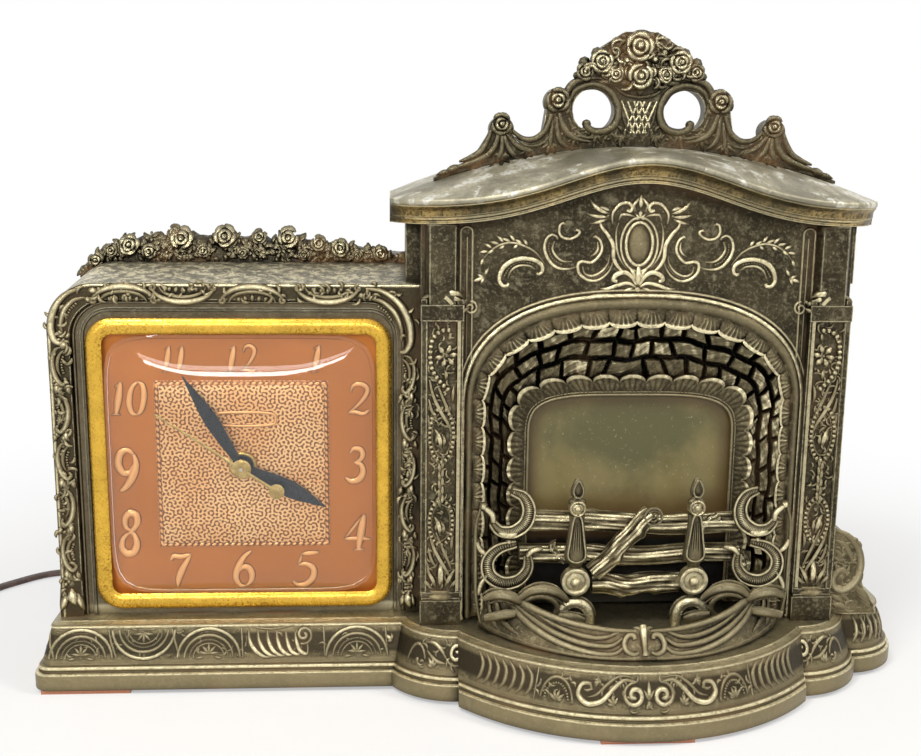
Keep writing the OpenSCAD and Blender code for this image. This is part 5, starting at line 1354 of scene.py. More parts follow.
def face_outline(d, n=8):
    """Round-topped outline of the face plate drawn in by a distance, from its left foot."""
    r = max(14.0 - d, 1)
    x0, x1, top = DIAL_X - FACE_HALF + d, DIAL_X + FACE_HALF - d, FACE_TOP - d
    pts = [(x0, DECK + 0.2 + (top - r - DECK - 0.2) * i / 12) for i in range(12)]
    pts += [(x0 + r - r * cosd(90 * i / n), top - r + r * sind(90 * i / n)) for i in range(n + 1)]
    pts += [(x1 - r + r * sind(90 * i / n), top - r + r * cosd(90 * i / n)) for i in range(n + 1)]
    pts += [(x1, DECK + 0.2 + (top - r - DECK - 0.2) * (12 - i) / 12) for i in range(1, 13)]
    return pts


def make_face(context):
    """Moulded frame round the plain field of the face plate."""
    form = ((0.3, 6.6), (0.3, 5), (0.55, 4.7), (0.95, 4.7), (1.2, 5.1), (1.4, 5.8), (2.2, 6), (3.2, 5.9), (3.5, 5.5),
            (4.3, 5.4),
            (4.6, 6), (4.6, 6.6))
    rows = [[(x, y, z) for x, z in face_outline(d)] for d, y in form]
    marks = [[0.8 if d in (0.95, 3.2) else -0.4 if 0.5 < y - 5 < 1.2 else 0.0] * len(rows[0]) for d, y in form]
    moulding = sheet_of("face_moulding", rows, loop=True, caps=True, relief=marks)
    hand_over(moulding, "plate", "worn_silver", angle=40)


# Figures, drawn in a box one wide and one high
FIGURES = {
    "1": ((0.11, (0.66, 1, 0.52, 0.5, 0.36, 0.02)), (0.05, (0.66, 1, 0.5, 0.9, 0.34, 0.87)),
          (0.045, (0.12, 0, 0.36, 0.03, 0.62, 0))),
    "2": ((0.085, (0.22, 0.74, 0.32, 0.94, 0.58, 1, 0.82, 0.86, 0.76, 0.62, 0.5, 0.33, 0.12, 0.04)),
          (0.075, (0.10, 0.04, 0.38, 0.08, 0.66, 0.02, 0.90, 0.12))),
    "3": ((0.085, (0.26, 0.84, 0.42, 0.98, 0.68, 0.96, 0.78, 0.80, 0.66, 0.64, 0.44, 0.57)),
          (0.10, (0.44, 0.57, 0.70, 0.50, 0.78, 0.28, 0.62, 0.06, 0.32, 0, 0.08, 0.12))),
    "4": ((0.05, (0.68, 0.98, 0.36, 0.64, 0.04, 0.32)), (0.06, (0.03, 0.31, 0.5, 0.33, 0.98, 0.30)),
          (0.105, (0.74, 1, 0.62, 0.5, 0.52, 0)),
          (0.045, (0.34, 0, 0.54, 0.02, 0.76, 0))),
    "5": ((0.07, (0.36, 0.95, 0.62, 0.97, 0.94, 1)), (0.05, (0.38, 0.95, 0.32, 0.78, 0.26, 0.60)),
          (0.10, (0.26, 0.60, 0.52, 0.64, 0.74, 0.48, 0.72, 0.22, 0.50, 0.02, 0.24, 0, 0.06, 0.12))),
    "6": ((0.09, (0.84, 0.98, 0.56, 0.84, 0.30, 0.56, 0.18, 0.26, 0.34, 0.03, 0.58, 0)),
          (0.09, (0.58, 0, 0.78, 0.12, 0.84, 0.34, 0.70, 0.52, 0.46, 0.52, 0.24, 0.36))),
    "7": ((0.08, (0.12, 0.80, 0.24, 0.95, 0.56, 0.93, 0.96, 1)),
          (0.10, (0.94, 0.99, 0.62, 0.60, 0.42, 0.28, 0.36, 0))),
    "8": ((0.085, (0.56, 0.56, 0.34, 0.66, 0.34, 0.88, 0.56, 1, 0.80, 0.92, 0.80, 0.74, 0.62, 0.58, 0.42, 0.48)),
          (0.09, (0.44, 0.50, 0.20, 0.36, 0.14, 0.14, 0.34, 0, 0.62, 0.04, 0.76, 0.24, 0.68, 0.44, 0.50, 0.56))),
    "9": ((0.09, (0.78, 0.66, 0.60, 0.46, 0.34, 0.46, 0.18, 0.66, 0.28, 0.92, 0.54, 1, 0.78, 0.90)),
          (0.09, (0.78, 0.90, 0.86, 0.66, 0.72, 0.36, 0.44, 0.10, 0.22, 0))),
    "0": ((0.09, (0.54, 0, 0.26, 0.08, 0.14, 0.40, 0.30, 0.82, 0.62, 1)),
          (0.09, (0.62, 1, 0.86, 0.90, 0.92, 0.56, 0.76, 0.16, 0.52, 0))),
}
# Each hour: its figures, and the left, lower, right and upper edge from the middle of the dial
HOURS = (
    ("12", -6.8, 36.2, 7, 46.6), ("1", 25, 36.4, 32.4, 46.8), ("2", 39.2, 19.8, 49.8, 31.8),
    ("3", 38.4, -7, 48.2, 6.4), ("4", 38.2, -35.2, 49.4, -20.6), ("5", 17.4, -49.2, 29.6, -35.8),
    ("6", -5.8, -49.4, 3.8, -34.8), ("7", -30.2, -49.6, -20.8, -36.2), ("8", -49, -35.8, -39.6, -19.2),
    ("9", -49.4, -10.4, -39.4, 6), ("10", -50.2, 19.8, -35.6, 32.6), ("11", -30.6, 36.4, -19, 46.4),
)


def make_dial(context):
    """Copper plate with its raised figures, its hammered square and the rope round it."""
    strokes = []
    for text, x0, z0, x1, z1 in HOURS:
        wide = (x1 - x0) / len(text)
        for k, digit in enumerate(text):
            left = x0 + k * wide * (0.92 if text != "11" else 0.86)
            for r, xy in FIGURES[digit]:
                pts = [(DIAL_X + left + wide * xy[i], DIAL_Z + z0 + (z1 - z0) * xy[i + 1]) for i in range(0, len(xy),
                    2)]
                strokes.append((smooth_path(pts, 7), taper(r * (z1 - z0) * 0.88, 0.42, 0.42)))
    figures = cast("dial_figures", strokes, on_front(DIAL_Y + 0.15), sides=2, tall=0.9, fill=0.7, bold=1.3)
    hand_over(figures, "figures", "copper_dial", angle=60)
    half = 33.0
    collar_lo, collar_hi = corners("dial_collar")
    hole = (collar_hi[0] - collar_lo[0]) / 2 - 0.5
    rows = []
    for d, y in ((0, DIAL_Y + 0.4), (0, DIAL_Y - 0.05), (0.3, DIAL_Y - 0.25), (1.4, DIAL_Y - 0.3),
                 (1.9, DIAL_Y - 0.55), (12, DIAL_Y - 0.55),
                 (22, DIAL_Y - 0.55), (half, DIAL_Y - 0.55), (half, DIAL_Y + 0.4)):
        row = []
        for k in range(4):
            for i in range(12):
                t = -1 + 2 * i / 12
                s = half - d or hole / hypot(t, 1)
                row.append(((s * t, s), (s, -s * t), (-s * t, -s), (-s, s * t))[k])
        rows.append([(DIAL_X + u, y, DIAL_Z + v) for u, v in row])
    marks = [[-1.0 if k in (2, 3) else 0.0] * 48 for k in range(len(rows))]
    panel = sheet_of("dial_square", rows, ring=True, loop=True, relief=marks)
    hand_over(panel, "hammered", "copper_dial", angle=40)
    rope = []
    for k in range(4):
        c, s = ((1, 0), (0, 1), (-1, 0), (0, -1))[k]
        for i in range(27):
            t = -31.2 + 2.4 * i
            gap = 0.75 if i % 6 == 5 else 1.0
            a, b = (t - 0.9 * gap, 31.7), (t + 0.9 * gap, 32.3)
            rope.append(([(DIAL_X + c * p[0] - s * p[1], DIAL_Z + s * p[0] + c * p[1]) for p in (a,
                ((a[0] + b[0]) / 2, 32), b)],
                         taper(0.5, 0.5, 0.5)))
    tablet = [(-10, 18.2), (-8.6, 16), (1.2, 15.5), (11.2, 16), (12.8, 18.2), (11.2, 20.4), (1.2, 20.8), (-8.6, 20.4)]
    ring = smooth_path([(DIAL_X + u, DIAL_Z + v) for u, v in tablet], 5, closed=True)
    rope.append((ring + ring[:1], 0.4))
    border = cast("dial_rope", rope, on_front(DIAL_Y - 0.6), tall=0.5, fill=0.7, bold=1.5)
    hand_over(border, "figures", "copper_dial", angle=60)


def make_glass(context):
    """Domed glass of even thickness, square at its rim and round at its crown."""
    n, rings = 96, 22

    def ring_at(half, high, s):
        p = 2 + 7 * s * s
        out = []
        for j in range(n):
            t = 2 * pi * j / n
            r = s * half * (abs(cos(t)) ** p + abs(sin(t)) ** p) ** (-1 / p)
            out.append((DIAL_X + r * cos(t), GLASS_RIM_Y - high * (1 - s ** 3), DIAL_Z + r * sin(t)))
        return out

    shares = [0.004] + [sin(pi / 2 * (i + 1) / rings) for i in range(rings)]
    outer = [ring_at(GLASS_HALF, 9.8, s) for s in shares]
    inner = [ring_at(GLASS_HALF - 1.4, 8.4, s) for s in reversed(shares)]
    rim = [[(x, GLASS_RIM_Y + 0.7, z) for x, _, z in edge] for edge in (outer[-1], inner[0])]
    rows = outer + rim + inner
    dome = sheet_of("glass_dome", rows, ring=True, caps=True)
    hand_over(dome, "glass", "crystal_glass", "crystal", angle=50)


def blade(name, length, wide, at, root, y, turn, boss, body, node):
    """Leaf-shaped hand with a ridge along its face."""
    a = radians(turn)
    rows = []
    for i in range(13):
        t = i / 12
        if t < at:
            half = root + (wide - root) * sin(pi / 2 * t / at) ** 1.5
        else:
            half = wide * (1 - ((t - at) / (1 - at)) ** 1.25)
        half = max(half, 0.12)
        along = 1.2 + (length - 1.2) * t
        ring = ((-half, 0.02), (0, -0.30 * min(half / 1.2, 1)), (half, 0.02), (half, 0.42), (-half, 0.42))
        rows.append([(DIAL_X + along * sin(a) + u * cos(a), y + d, DIAL_Z + along * cos(a) - u * sin(a)) for u,
                     d in ring])
    leafy = sheet_of(name, rows, ring=True, caps=True)
    bpy.ops.object.select_all(action="DESELECT")
    bpy.ops.mesh.primitive_cylinder_add(vertices=48, radius=boss * MM, depth=0.62 * MM,
                                        location=(DIAL_X * MM, (y + 0.18) * MM, DIAL_Z * MM),
                                        rotation=(pi / 2, 0, 0))
    hub = bpy.context.object
    alone(hub)
    bpy.ops.object.transform_apply(location=True, rotation=True, scale=True)
    both_parts = joined(name, leafy, hub)
    hand_over(both_parts, "lacquer", "blued_steel", node, angle=24, body=body)


def turned(name, pts, at, n=48, mark=0.0):
    """A turned piece about an axis that runs to the front: points are radius and depth."""
    rows = []
    for r, y in pts:
        r = max(r, 0.01)
        rows.append([(at[0] + r * cos(2 * pi * k / n), y, at[1] + r * sin(2 * pi * k / n)) for k in range(n)])
    return sheet_of(name, rows, ring=True, caps=True, relief=[[mark] * n for _ in rows])


HOURS_SHOWN, MINUTES_SHOWN, SECONDS_SHOWN = 3, 54, 50.7


def make_hands(context):
    """Hands at the time that the photograph shows."""
    second = SECONDS_SHOWN
    minute = MINUTES_SHOWN + second / 60
    hour = HOURS_SHOWN + minute / 60
    blade("hour_blade", 35.8, 3.4, 0.56, 1.5, 4.45, hour * 30, 4.2, "hours", "hour_hand")
    blade("minute_blade", 42, 2.75, 0.52, 1.3, 2.45, minute * 6, 3.3, "minutes", "minute_hand")
    y = CASE_Y - 2.8
    a = radians(second * 6)
    needle = cast("second_needle", [
        ([(-19.0 * sin(a) + DIAL_X, -19.0 * cos(a) + DIAL_Z), (DIAL_X, DIAL_Z),
          (38.7 * sin(a) + DIAL_X, 38.7 * cos(a) + DIAL_Z)],
         lambda t: 0.62 if t < 0.6 else 0.34),
    ], on_front(y + 0.2), tall=0.3, fill=0.45)
    disc_at = (DIAL_X - 16 * sin(a), DIAL_Z - 16 * cos(a))
    disc = turned("second_disc", ((0.01, y), (2.5, y), (2.95, y + 0.12), (2.95, y + 0.4), (0.01, y + 0.4)), disc_at)
    hub = turned("second_hub", ((0.01, y - 0.55), (1.1, y - 0.5), (1.3, y - 0.25), (2.5, y - 0.2), (2.9, y - 0.05),
                                (3.5, y), (3.7, y + 0.15),
                                (3.7, y + 0.45), (0.01, y + 0.45)), (DIAL_X, DIAL_Z))
    hand = joined("second_blade", needle, disc, hub)
    hand_over(hand, "brass", "train_brass", "second_hand", angle=40, body="seconds")
    collar = turned("dial_ring", ((3.6, DIAL_Y - 0.2), (5.5, DIAL_Y - 0.3), (5.6, DIAL_Y - 1.0), (5.1, DIAL_Y - 1.7),
                                  (4.4, DIAL_Y - 1.95), (3.6, DIAL_Y - 1.6),
                                  (3.2, DIAL_Y - 0.6)), (DIAL_X, DIAL_Z))
    hand_over(collar, "brass", "gilt", "dial_collar", angle=50)


# Fireplace front
FRONT_Y = -5.5
SPRING_Z = DECK + 85.0
WIN_HALF, WIN_TOP, WIN_Z0 = 39.8, 90, DECK + 71.0
WIN_RISE = DECK + WIN_TOP - WIN_Z0
WIN_BULGE = 4
OPEN_HALF, OPEN_RISE, OPEN_BULGE = 63.6, 42, 2.45
EVEN = 360


def at_fire(strokes):
    """Strokes drawn about the fireplace's middle, put in their place."""
    return [([(p[0] + FX, *p[1:]) for p in pts], r) for pts, r in strokes]


def arch_line(a, b, z0, foot, n, k=72):
    """Outline of an arch in X from the fireplace's middle and Z, from its left foot to its right."""
    pts = [(-a, foot + (z0 - foot) * i / 12) for i in range(12)]
    for i in range(k + 1):
        t = pi - pi * i / k
        c, s = cos(t), max(sin(t), 0)
        pts.append((a * copysign(abs(c) ** (2 / n), c), z0 + b * s ** (2 / n)))
    pts += [(a, foot + (z0 - foot) * (12 - i) / 12) for i in range(1, 13)]
    return pts


def opening(d, foot=DECK + 0.4):
    """Outline of the opening, drawn in by d."""
    return arch_line(OPEN_HALF - d, OPEN_RISE - d, SPRING_Z, foot, OPEN_BULGE)


def window(d):
    """Outline of the screen's window, let out by d."""
    return arch_line(WIN_HALF + d, WIN_RISE + d, WIN_Z0, DECK + 6 - 0.4 * d, WIN_BULGE)


def make_frieze(context):
    """Flat scrolls, sprays and cartouche over the arch, and the double moulding round it."""
    half = [
        curve(0.62, -30.7, 176.6, -32.6, 177.5, -34.6, 176, -35.3, 172.3, -33.8, 168.4, -31, 165.6, -27.3, 164.8,
              -23.4, 165.6, -21.8, 167.7, start=0.7),
        curve(0.5, -31.6, 175, -32.4, 172.3, -31.1, 169.7, -28.4, 167.7, -24.9, 167.6, start=0.5, end=0.5),
        beads(smooth_path([(-33.6, 174.6), (-33.6, 171.6), (-31.8, 168.2), (-28.6, 166.4)], 4), 0.30, 3.2),
        curve(0.62, -16.8, 177.1, -14.8, 175.6, -13.9, 172.4, -15.1, 169.5, -17.7, 167.3, -21, 167.7, -22.7, 166.5,
              -22.1, 163.2, -19.1, 160.9,
              -15.4, 160.6, -11.9, 162.9, -9.8, 166.6, -9.4, 170.7, start=0.8, end=0.4),
        curve(0.5, -15.6, 174.9, -15.4, 172.4, -16.4, 170.6, -18.1, 169.5, start=0.6, end=0.4),
        curve(0.5, -20.9, 165.7, -20.1, 163.2, -17.3, 162.3, -13.9, 163.8, -11.5, 166.9, -10.9, 170, start=0.5,
              end=0.3),
        beads(smooth_path([(-14.9, 174), (-14.6, 172), (-15.8, 169.8)], 3), 0.28, 3.2),
        beads(smooth_path([(-20.6, 162.4), (-17, 161.4), (-13.4, 163), (-11, 166)], 4), 0.28, 3.2),
        curve(0.55, -28.3, 181.8, -29.7, 181.1, -30, 178.4, -28.6, 176.5, -25.8, 176, -23.1, 177.3, -22.4, 178.7,
              -23.8, 179.4, start=0.9, end=0.9),
        berry(-28, 181.4, 0.75), berry(-24, 179, 0.7), berry(-30.6, 176.3, 0.8), berry(-16.9, 176.7, 0.8),
        berry(-21.8, 167.4, 0.75),
        curve(0.85, -14.9, 183.4, -14.5, 180.7, -11.9, 177.6, -9.8, 173.7, -9.4, 168.8, -7.2, 165.1, -4.2, 162.9,
              start=0.3, end=0.4),
        curve(0.5, -7.9, 182, -8.8, 178.6, -8.4, 172.5, -6.8, 168.2, -4.2, 164.8, start=0.3, end=0.4),
        curve(0.75, -10.2, 181.6, -10.4, 185.2, -8.1, 188.5, -5, 189.4, -3.2, 188, -3.8, 186.2, -5.2, 186.6,
              start=0.4, end=0.7),
        curve(0.55, -7.9, 182.9, -7, 184.9, -4.3, 184.9, -1.3, 184, start=0.4, end=0.3), berry(-4.4, 186.9, 0.8),
        berry(-8.4, 186.2, 0.5),
        leaf(-11.6, 185.4, 172, 9.2, 0.85, -28), leaf(-12, 184.2, 186, 8.2, 0.75, -14),
        leaf(-12.4, 183.4, 206, 6.6, 0.65, -10),
        leaf(-11.4, 186.2, 140, 4.8, 0.75, 24), leaf(-13.6, 186.6, 158, 4.6, 0.6, 16), berry(-12, 184.6, 0.8),
        curve(0.6, -1.6, 186, -2.6, 188.4, -1.3, 190.2, 0, 192.2, start=0.3), berry(-2.2, 186.4, 0.6),
        curve(0.5, -35.1, 166.5, -38.5, 170.8, -42.8, 173.3, -47.5, 174.5, -52.1, 173.5, -55.7, 171, -57.9, 168.3,
              start=0.5, end=0.3),
        *[leaf(x, z, a, s, 0.62, c) for x, z, a, s, c in (
            (-41.8, 173.2, 96, 3.4, 30), (-43.4, 173.6, 130, 4.2, 20), (-46.4, 174.6, 106, 4, 24),
            (-47.6, 174.6, 146, 4.6, 16),
            (-50.4, 174.2, 118, 4.4, 20), (-51.8, 173.8, 158, 4.4, 10), (-54.6, 172.2, 136, 4, 16),
            (-55.8, 171.2, 178, 4.2, 10),
            (-54, 172.4, 236, 3.8, -20), (-50, 173.8, 232, 3.2, -20), (-57.8, 168.6, 240, 3.2, 10),
            (-45.2, 174, 236, 2.8, -16))],
        curve(0.95, -37.4, 162.6, -36, 163.8, -36.2, 166.2, -39, 168.1, -43.4, 168.7, -47.9, 167.4, -50.8, 164.7,
              -51.9, 160.9, -50.6, 158.6, -48.4, 158.6,
              start=0.55, end=0.6),
        curve(0.5, -38.6, 164.6, -40.7, 165.9, -44.6, 166, -47.4, 164.2, -48.7, 161.2, start=0.5, end=0.4),
        beads(smooth_path([(-39, 166.6), (-43.6, 167.4), (-47.6, 165.8), (-50.2, 161.8)], 4), 0.34, 3),
        berry(-37.6, 163, 0.95), berry(-48.6, 159, 1), *fan(-57.4, 161.6, 200, 5, 0.7, 3, 70),
        leaf(-57.4, 162.4, 60, 3.4, 0.6), berry(-60, 172.8, 0.5), berry(-59, 175.4, 0.4),
        curve(1, -0.6, 159, -2.6, 162.2, -5.4, 163.7, -8.4, 162.6, -9.3, 160.8, -7.8, 160.2, start=0.5, end=0.6),
        curve(0.8, -0.8, 158.2, -3.6, 159.6, -7.3, 158.9, -11, 157.6, -14, 157.4, start=0.5, end=0.3),
        curve(0.75, -0.4, 160, -1.8, 163.4, -3.6, 165.4, start=0.5, end=0.2), leaf(-1.2, 158, 196, 6, 0.6, 6),
        berry(-8.2, 161, 0.7), curve(0.5, -6.4, 155.4, -16, 155, -24, 152.8, start=0.5, end=0.3),
    ]
    oval = [(5.0 * cos(a), 174.2 + 8.0 * sin(a)) for a in (2 * pi * i / 32 for i in range(33))]
    ring = [(6.9 * cos(a), 174.0 + 10.0 * sin(a)) for a in (2 * pi * i / 36 for i in range(37))]
    middle = [(oval, 0.62), (ring, 0.5), leaf(0, 158.6, 90, 8.6, 1.3), leaf(0, 187.4, 90, 5.6, 1),
              berry(0, 185.6, 1.2), *fan(0, 183.2, 90, 4.2, 0.6, 5, 150),
              berry(0, 157.2, 1.5)]
    scrolls = cast("frieze_scrolls", at_fire(both(half) + middle), on_front(FRONT_Y + 0.05), tall=0.62, fill=0.95,
                   bold=1.2)
    boss = sheet_of("boss", [[(FX + r * cos(pi * k / 24), y, 174.2 + 1.7 * r * sin(pi * k / 24)) for k in range(48)]
                             for r, y in ((0.05, FRONT_Y - 1.0), (1.2, FRONT_Y - 0.95), (2.4, FRONT_Y - 0.8),
                                          (3.4, FRONT_Y - 0.5), (4.1, FRONT_Y + 0.1))],
                    ring=True, caps=True, relief=[[m] * 48 for m in (0.42, 0.36, 0.28, 0.16, -0.3)])
    scrolls = joined("frieze_scrolls", scrolls, boss)
    rim = []
    for d, r in ((-1.1, 0.95), (-3.1, 0.6)):
        rim.append((opening(d), r))
    for x in (-1, 1):
        for off in (61.9, 63.9, 66.3):
            z1 = 178.2 if off != 63.9 else 176.4
            rim.append(([(x * off, DECK + 4), (x * off, 100), (x * off, z1)], 0.55 if off != 63.9 else 0.4))
        rim.append((arc(x * 64.1, 178.2, 2.2, 2, 0, 180), 0.55))
        rim += [(spiral(x * 62.4, 150.2, 2.6, 1.4, 90, 0.2, x), 0.6), leaf(x * 64.6, 148.4, 90 - 40 * x, 5, 0.8),
                leaf(x * 66.0, 151.4, 90 + 50 * x, 3.6, 0.7)]
    moulding = cast("arch_moulding", at_fire(rim), on_front(FRONT_Y + 0.1), sides=2, tall=0.9, fill=0.95, bold=1.15)
    for ob in (scrolls, moulding):
        hand_over(ob, "ornament", "antique_bronze", angle=60)


def column_relief(x, side):
    """Capital, shell, beaded ovals and leaves of one column; side is 1 where its inner edge is on the right."""
    s = []
    for u in (-6.9, -5.6):
        s.append(([(u, 40.6), (u, 90), (u, 151)], 0.42))
    s += [([(6.3, 40.6), (6.3, 95), (6.3, 150)], 0.85)]
    s += [
        curve(0.95, -7.4, 153.8, -4, 155.4, 0.4, 155, 3.8, 151.6, 4.6, 147.6, 3.2, 146.4, start=0.4, end=0.5),
        curve(0.7, -6.6, 150.4, -3.4, 152, -0.2, 150.8, 1.6, 147.4, 1.2, 144.8, start=0.4, end=0.3),
        curve(0.6, -5.2, 147.4, -3.2, 148.6, -1.2, 147, -0.6, 144.6, start=0.4, end=0.3),
        leaf(1.2, 155.6, 30, 6.6, 1.2, -40), leaf(2.6, 154.6, 2, 5.4, 1, -30), leaf(5.4, 150, -20, 4.6, 0.9, 30),
        leaf(0.6, 156.4, 60, 4.2, 0.9, -30),
        leaf(5, 148.2, -80, 4.4, 0.8, 10), berry(3.6, 146.2, 1), berry(7.6, 152.2, 1),
    ]
    shell = smooth_path([(3.4, 142.4), (-0.6, 142), (-3.6, 138.8), (-4.4, 133), (-3.6, 127.4), (-0.4, 122.6),
                         (3, 119.4)], 5)
    s += [beads(shell, 0.95, 2.1), (shell, taper(0.55, 0.7, 0.7))]
    s += [([(p[0] - 1.2, p[1]) for p in shell], taper(0.35, 0.5, 0.5))]
    s += flower(1.6, 132.6, 4.2, 6, 10, 0.26) + [leaf(1, 127.4, -60, 4.6, 0.8, -30),
                                                 leaf(2.4, 138.2, 60, 3.6, 0.7, 30), berry(4.4, 127.6, 0.8)]
    for z in (119.6, 72.0 - 10.6):
        s += [
            curve(0.85, -4.6, z + 4.0, -3.2, z - 2.0, -0.4, z - 8.0, 2.8, z - 13.6, 4.4, z - 19.0, start=0.4,
                  end=0.2),
            curve(0.75, -1.8, z + 2.6, 0.6, z - 3.4, 2.8, z - 8.6, 4.4, z - 13.0, start=0.4, end=0.2),
            curve(0.7, -4.8, z - 3.4, -3.6, z - 8.0, -1.2, z - 12.0, start=0.4, end=0.2),
            leaf(4.6, z + 1.6, -104, 7, 0.7, 12),
            curve(0.6, -4.9, z - 9.4, -4.6, z - 13.0, -2.8, z - 16.4, start=0.4, end=0.2),
        ]
    for z, high in ((102.4, 10.4), (68, 8.8)):
        egg = [(4.5 * cos(a), z + high * sin(a)) for a in (2 * pi * i / 36 for i in range(37))]
        s += [beads(egg, 0.85, 2.15), ([(0.8 * p[0], z + 0.82 * (p[1] - z)) for p in egg], 0.36),
              ([(1.13 * p[0], z + 1.08 * (p[1] - z)) for p in egg], 0.38)]
        s += [leaf(-0.4, z - 5.4, 82, 8.6, 1, 26), leaf(0.6, z - 4.6, 60, 5.4, 0.8, 40),
              leaf(-1.6, z - 3.6, 110, 5, 0.8, -40), berry(0.4, z + 4.0, 1),
              berry(-0.2, z - 5.0, 0.8)]
    for k in range(5):
        z = 88.6 - 3.4 * k
        s += [leaf(-0.4, z, 54, 5.4, 0.75, 34), leaf(0.2, z - 1.2, 128, 5.4, 0.75, -34)]
    s += [leaf(0, 42, 90, 11, 1.3), leaf(-1.8, 41.6, 102, 9.6, 0.9, 16), leaf(1.8, 41.6, 78, 9.6, 0.9, -16),
          leaf(-3.6, 41.2, 112, 7.4, 0.8, 22),
          leaf(3.6, 41.2, 68, 7.4, 0.8, -22)]
    return [([(x + side * p[0], *p[1:]) for p in pts], r) for pts, r in s]


def make_columns(context):
    """Carved panels of the two columns and their turned feet."""
    for seed, (name, x, side) in enumerate((("column_relief_left", COL_LO[0] + COL_W / 2, 1),
                                            ("column_relief_right", COR_HI[0] - COL_W / 2, -1))):
        strokes = column_relief(x, side) + filler(150, 31 + 9 * seed, x - 4.6, 42, x + 4.8, 148, 0.45, 2, 0)
        panel = cast(name, strokes, on_front(COL_Y + 1.5), tall=1.4, fill=1.1, bold=1.35, painted_crown_light=0.45)
        hand_over(panel, "ornament", "antique_bronze", angle=60)
    for name, lo in (("column_foot_left", COL_LO[0]), ("column_foot_right", COR_LO[0])):
        mid = lo + COL_W / 2
        rows = []
        for z, r in ((36.9, 7.3), (37, 7.9), (37.7, 8.25), (38.5, 7.9), (38.8, 7.3), (39.2, 7.1), (40, 7.5),
                     (40.5, 7.2), (40.7, 6.6)):
            rows.append([(mid + r * cosd(a), COL_Y + 6.2 + 0.78 * r * sind(a), z)
                         for a in range(180, 361, 10)])
        ring = sheet_of(name, rows, ring=True, caps=True)
        hand_over(ring, "bronze", "antique_bronze", angle=50)


# Shelf
CREST_Y = 8.0
SHELF_HALF = 92.5
SHELF_BOW = 32.5
SHELF_EDGE = 9.2
SHELF_STEPS = 120
RIDGE_Z, RIDGE_DROP = 209.6, 19.6


def under_z(x):
    """Height of the shelf's underside, x from the fireplace's middle."""
    return DECK + 154.0 + 16.0 * exp(-((x / 41.0) ** 2))


def ridge_z(x):
    """Height of the ridge at the crest's foot."""
    return RIDGE_Z - RIDGE_DROP * (x / SHELF_HALF) ** 2


def shelf_front(x):
    """Front line of the shelf, a bow between its ends."""
    return CREST_Y - SHELF_BOW * max(1 - (abs(x) / SHELF_HALF) ** 3.5, 0) ** 0.45


SHELF_FORM = (
    (6.6, 0), (6.6, 0.10), (6.3, 0.13), (5.9, 0.15), (5.7, 0.19), (5.9, 0.24), (5.7, 0.27), (5, 0.29), (4.8, 0.33),
    (4.6, 0.42), (4.2, 0.50), (3.4, 0.58), (2.3, 0.64), (1.5, 0.68), (1.2, 0.715), (1.3, 0.74), (0.9, 0.77),
    (0.3, 0.79), (0.05, 0.83), (0, 0.89), (0.1, 0.95), (0.5, 1),
)


def make_shelf(context):
    """Thin silvered shelf with a camel back over a gilded hollow moulding."""
    rows, marks = [], []
    for i in range(SHELF_STEPS + 1):
        t = -1 + 2 * i / SHELF_STEPS
        x = SHELF_HALF * copysign(1 - (1 - abs(t)) ** 1.5, t) * 0.998
        y0 = shelf_front(x)
        k = min(1, (CREST_Y - y0) / 9)
        zb, zr = under_z(x), ridge_z(x)
        lift = max(zr - zb - SHELF_EDGE, 0.2)
        ring = [(BACK_Y, zb)] + [(y0 + k * d, zb + SHELF_EDGE * s) for d, s in SHELF_FORM]
        mark = [0] + [0.0 if s < 0.76 else 1.0 for _, s in SHELF_FORM]
        for s in (0.05, 0.12, 0.2, 0.35, 0.5, 0.65, 0.8, 0.92, 1):
            ring.append((y0 + 0.5 * k + (CREST_Y - y0 - 0.5 * k) * s, zb + SHELF_EDGE + lift * (1 - (1 - s) ** 1.6)))
            mark.append(1)
        ring.append((BACK_Y, zb + SHELF_EDGE + lift))
        mark.append(1)
        rows.append([(FX + x, y, z) for y, z in ring])
        marks.append(mark)
    shelf = sheet_of("shelf", rows, ring=True, caps=True, relief=marks)
    hand_over(shelf, "shelf", "worn_silver", "mantel_shelf", angle=42)


# Hearth: leaf border, stones, petal frame and screen
INSERT_Y = -7.0
SCREEN_Y = SCREEN_LO[1]


def band(outer, inner, n):
    """Even places along the middle of a band between two outlines: edge points and distance along."""
    mids = [((a[0] + b[0]) / 2, (a[1] + b[1]) / 2) for a, b in zip(outer, inner)]
    run = [0]
    for a, b in zip(mids, mids[1:]):
        run.append(run[-1] + dist(a, b))
    out = []
    j = 0
    for i in range(n + 1):
        d = run[-1] * i / n
        while j < len(run) - 2 and run[j + 1] < d:
            j += 1
        t = (d - run[j]) / max(run[j + 1] - run[j], 1e-9)
        out.append((*[tuple(p + (q - p) * t for p, q in zip(edge[j], edge[j + 1])) for edge in (outer, inner)], d))
    return out, run[-1]


def lay_band(name, outer, inner, n, across, shape, back):
    """A strip of relief between two outlines. shape(distance, t) gives a place across, a depth and a mark."""
    places, total = band(outer, inner, n)
    rows, marks = [], []
    for k in range(across + 1):
        row, mark = [], []
        for a, b, d in places:
            t, y, m = shape(d, total, k / across)
            row.append((FX + a[0] + (b[0] - a[0]) * t, y, a[1] + (b[1] - a[1]) * t))
            mark.append(m)
        rows.append(row)
        marks.append(mark)
    for k in (across, 0):
        rows.append([(x, back, z) for x, _, z in rows[k]])
        marks.append([0] * (n + 1))
    return sheet_of(name, rows, loop=True, caps=True, relief=marks)


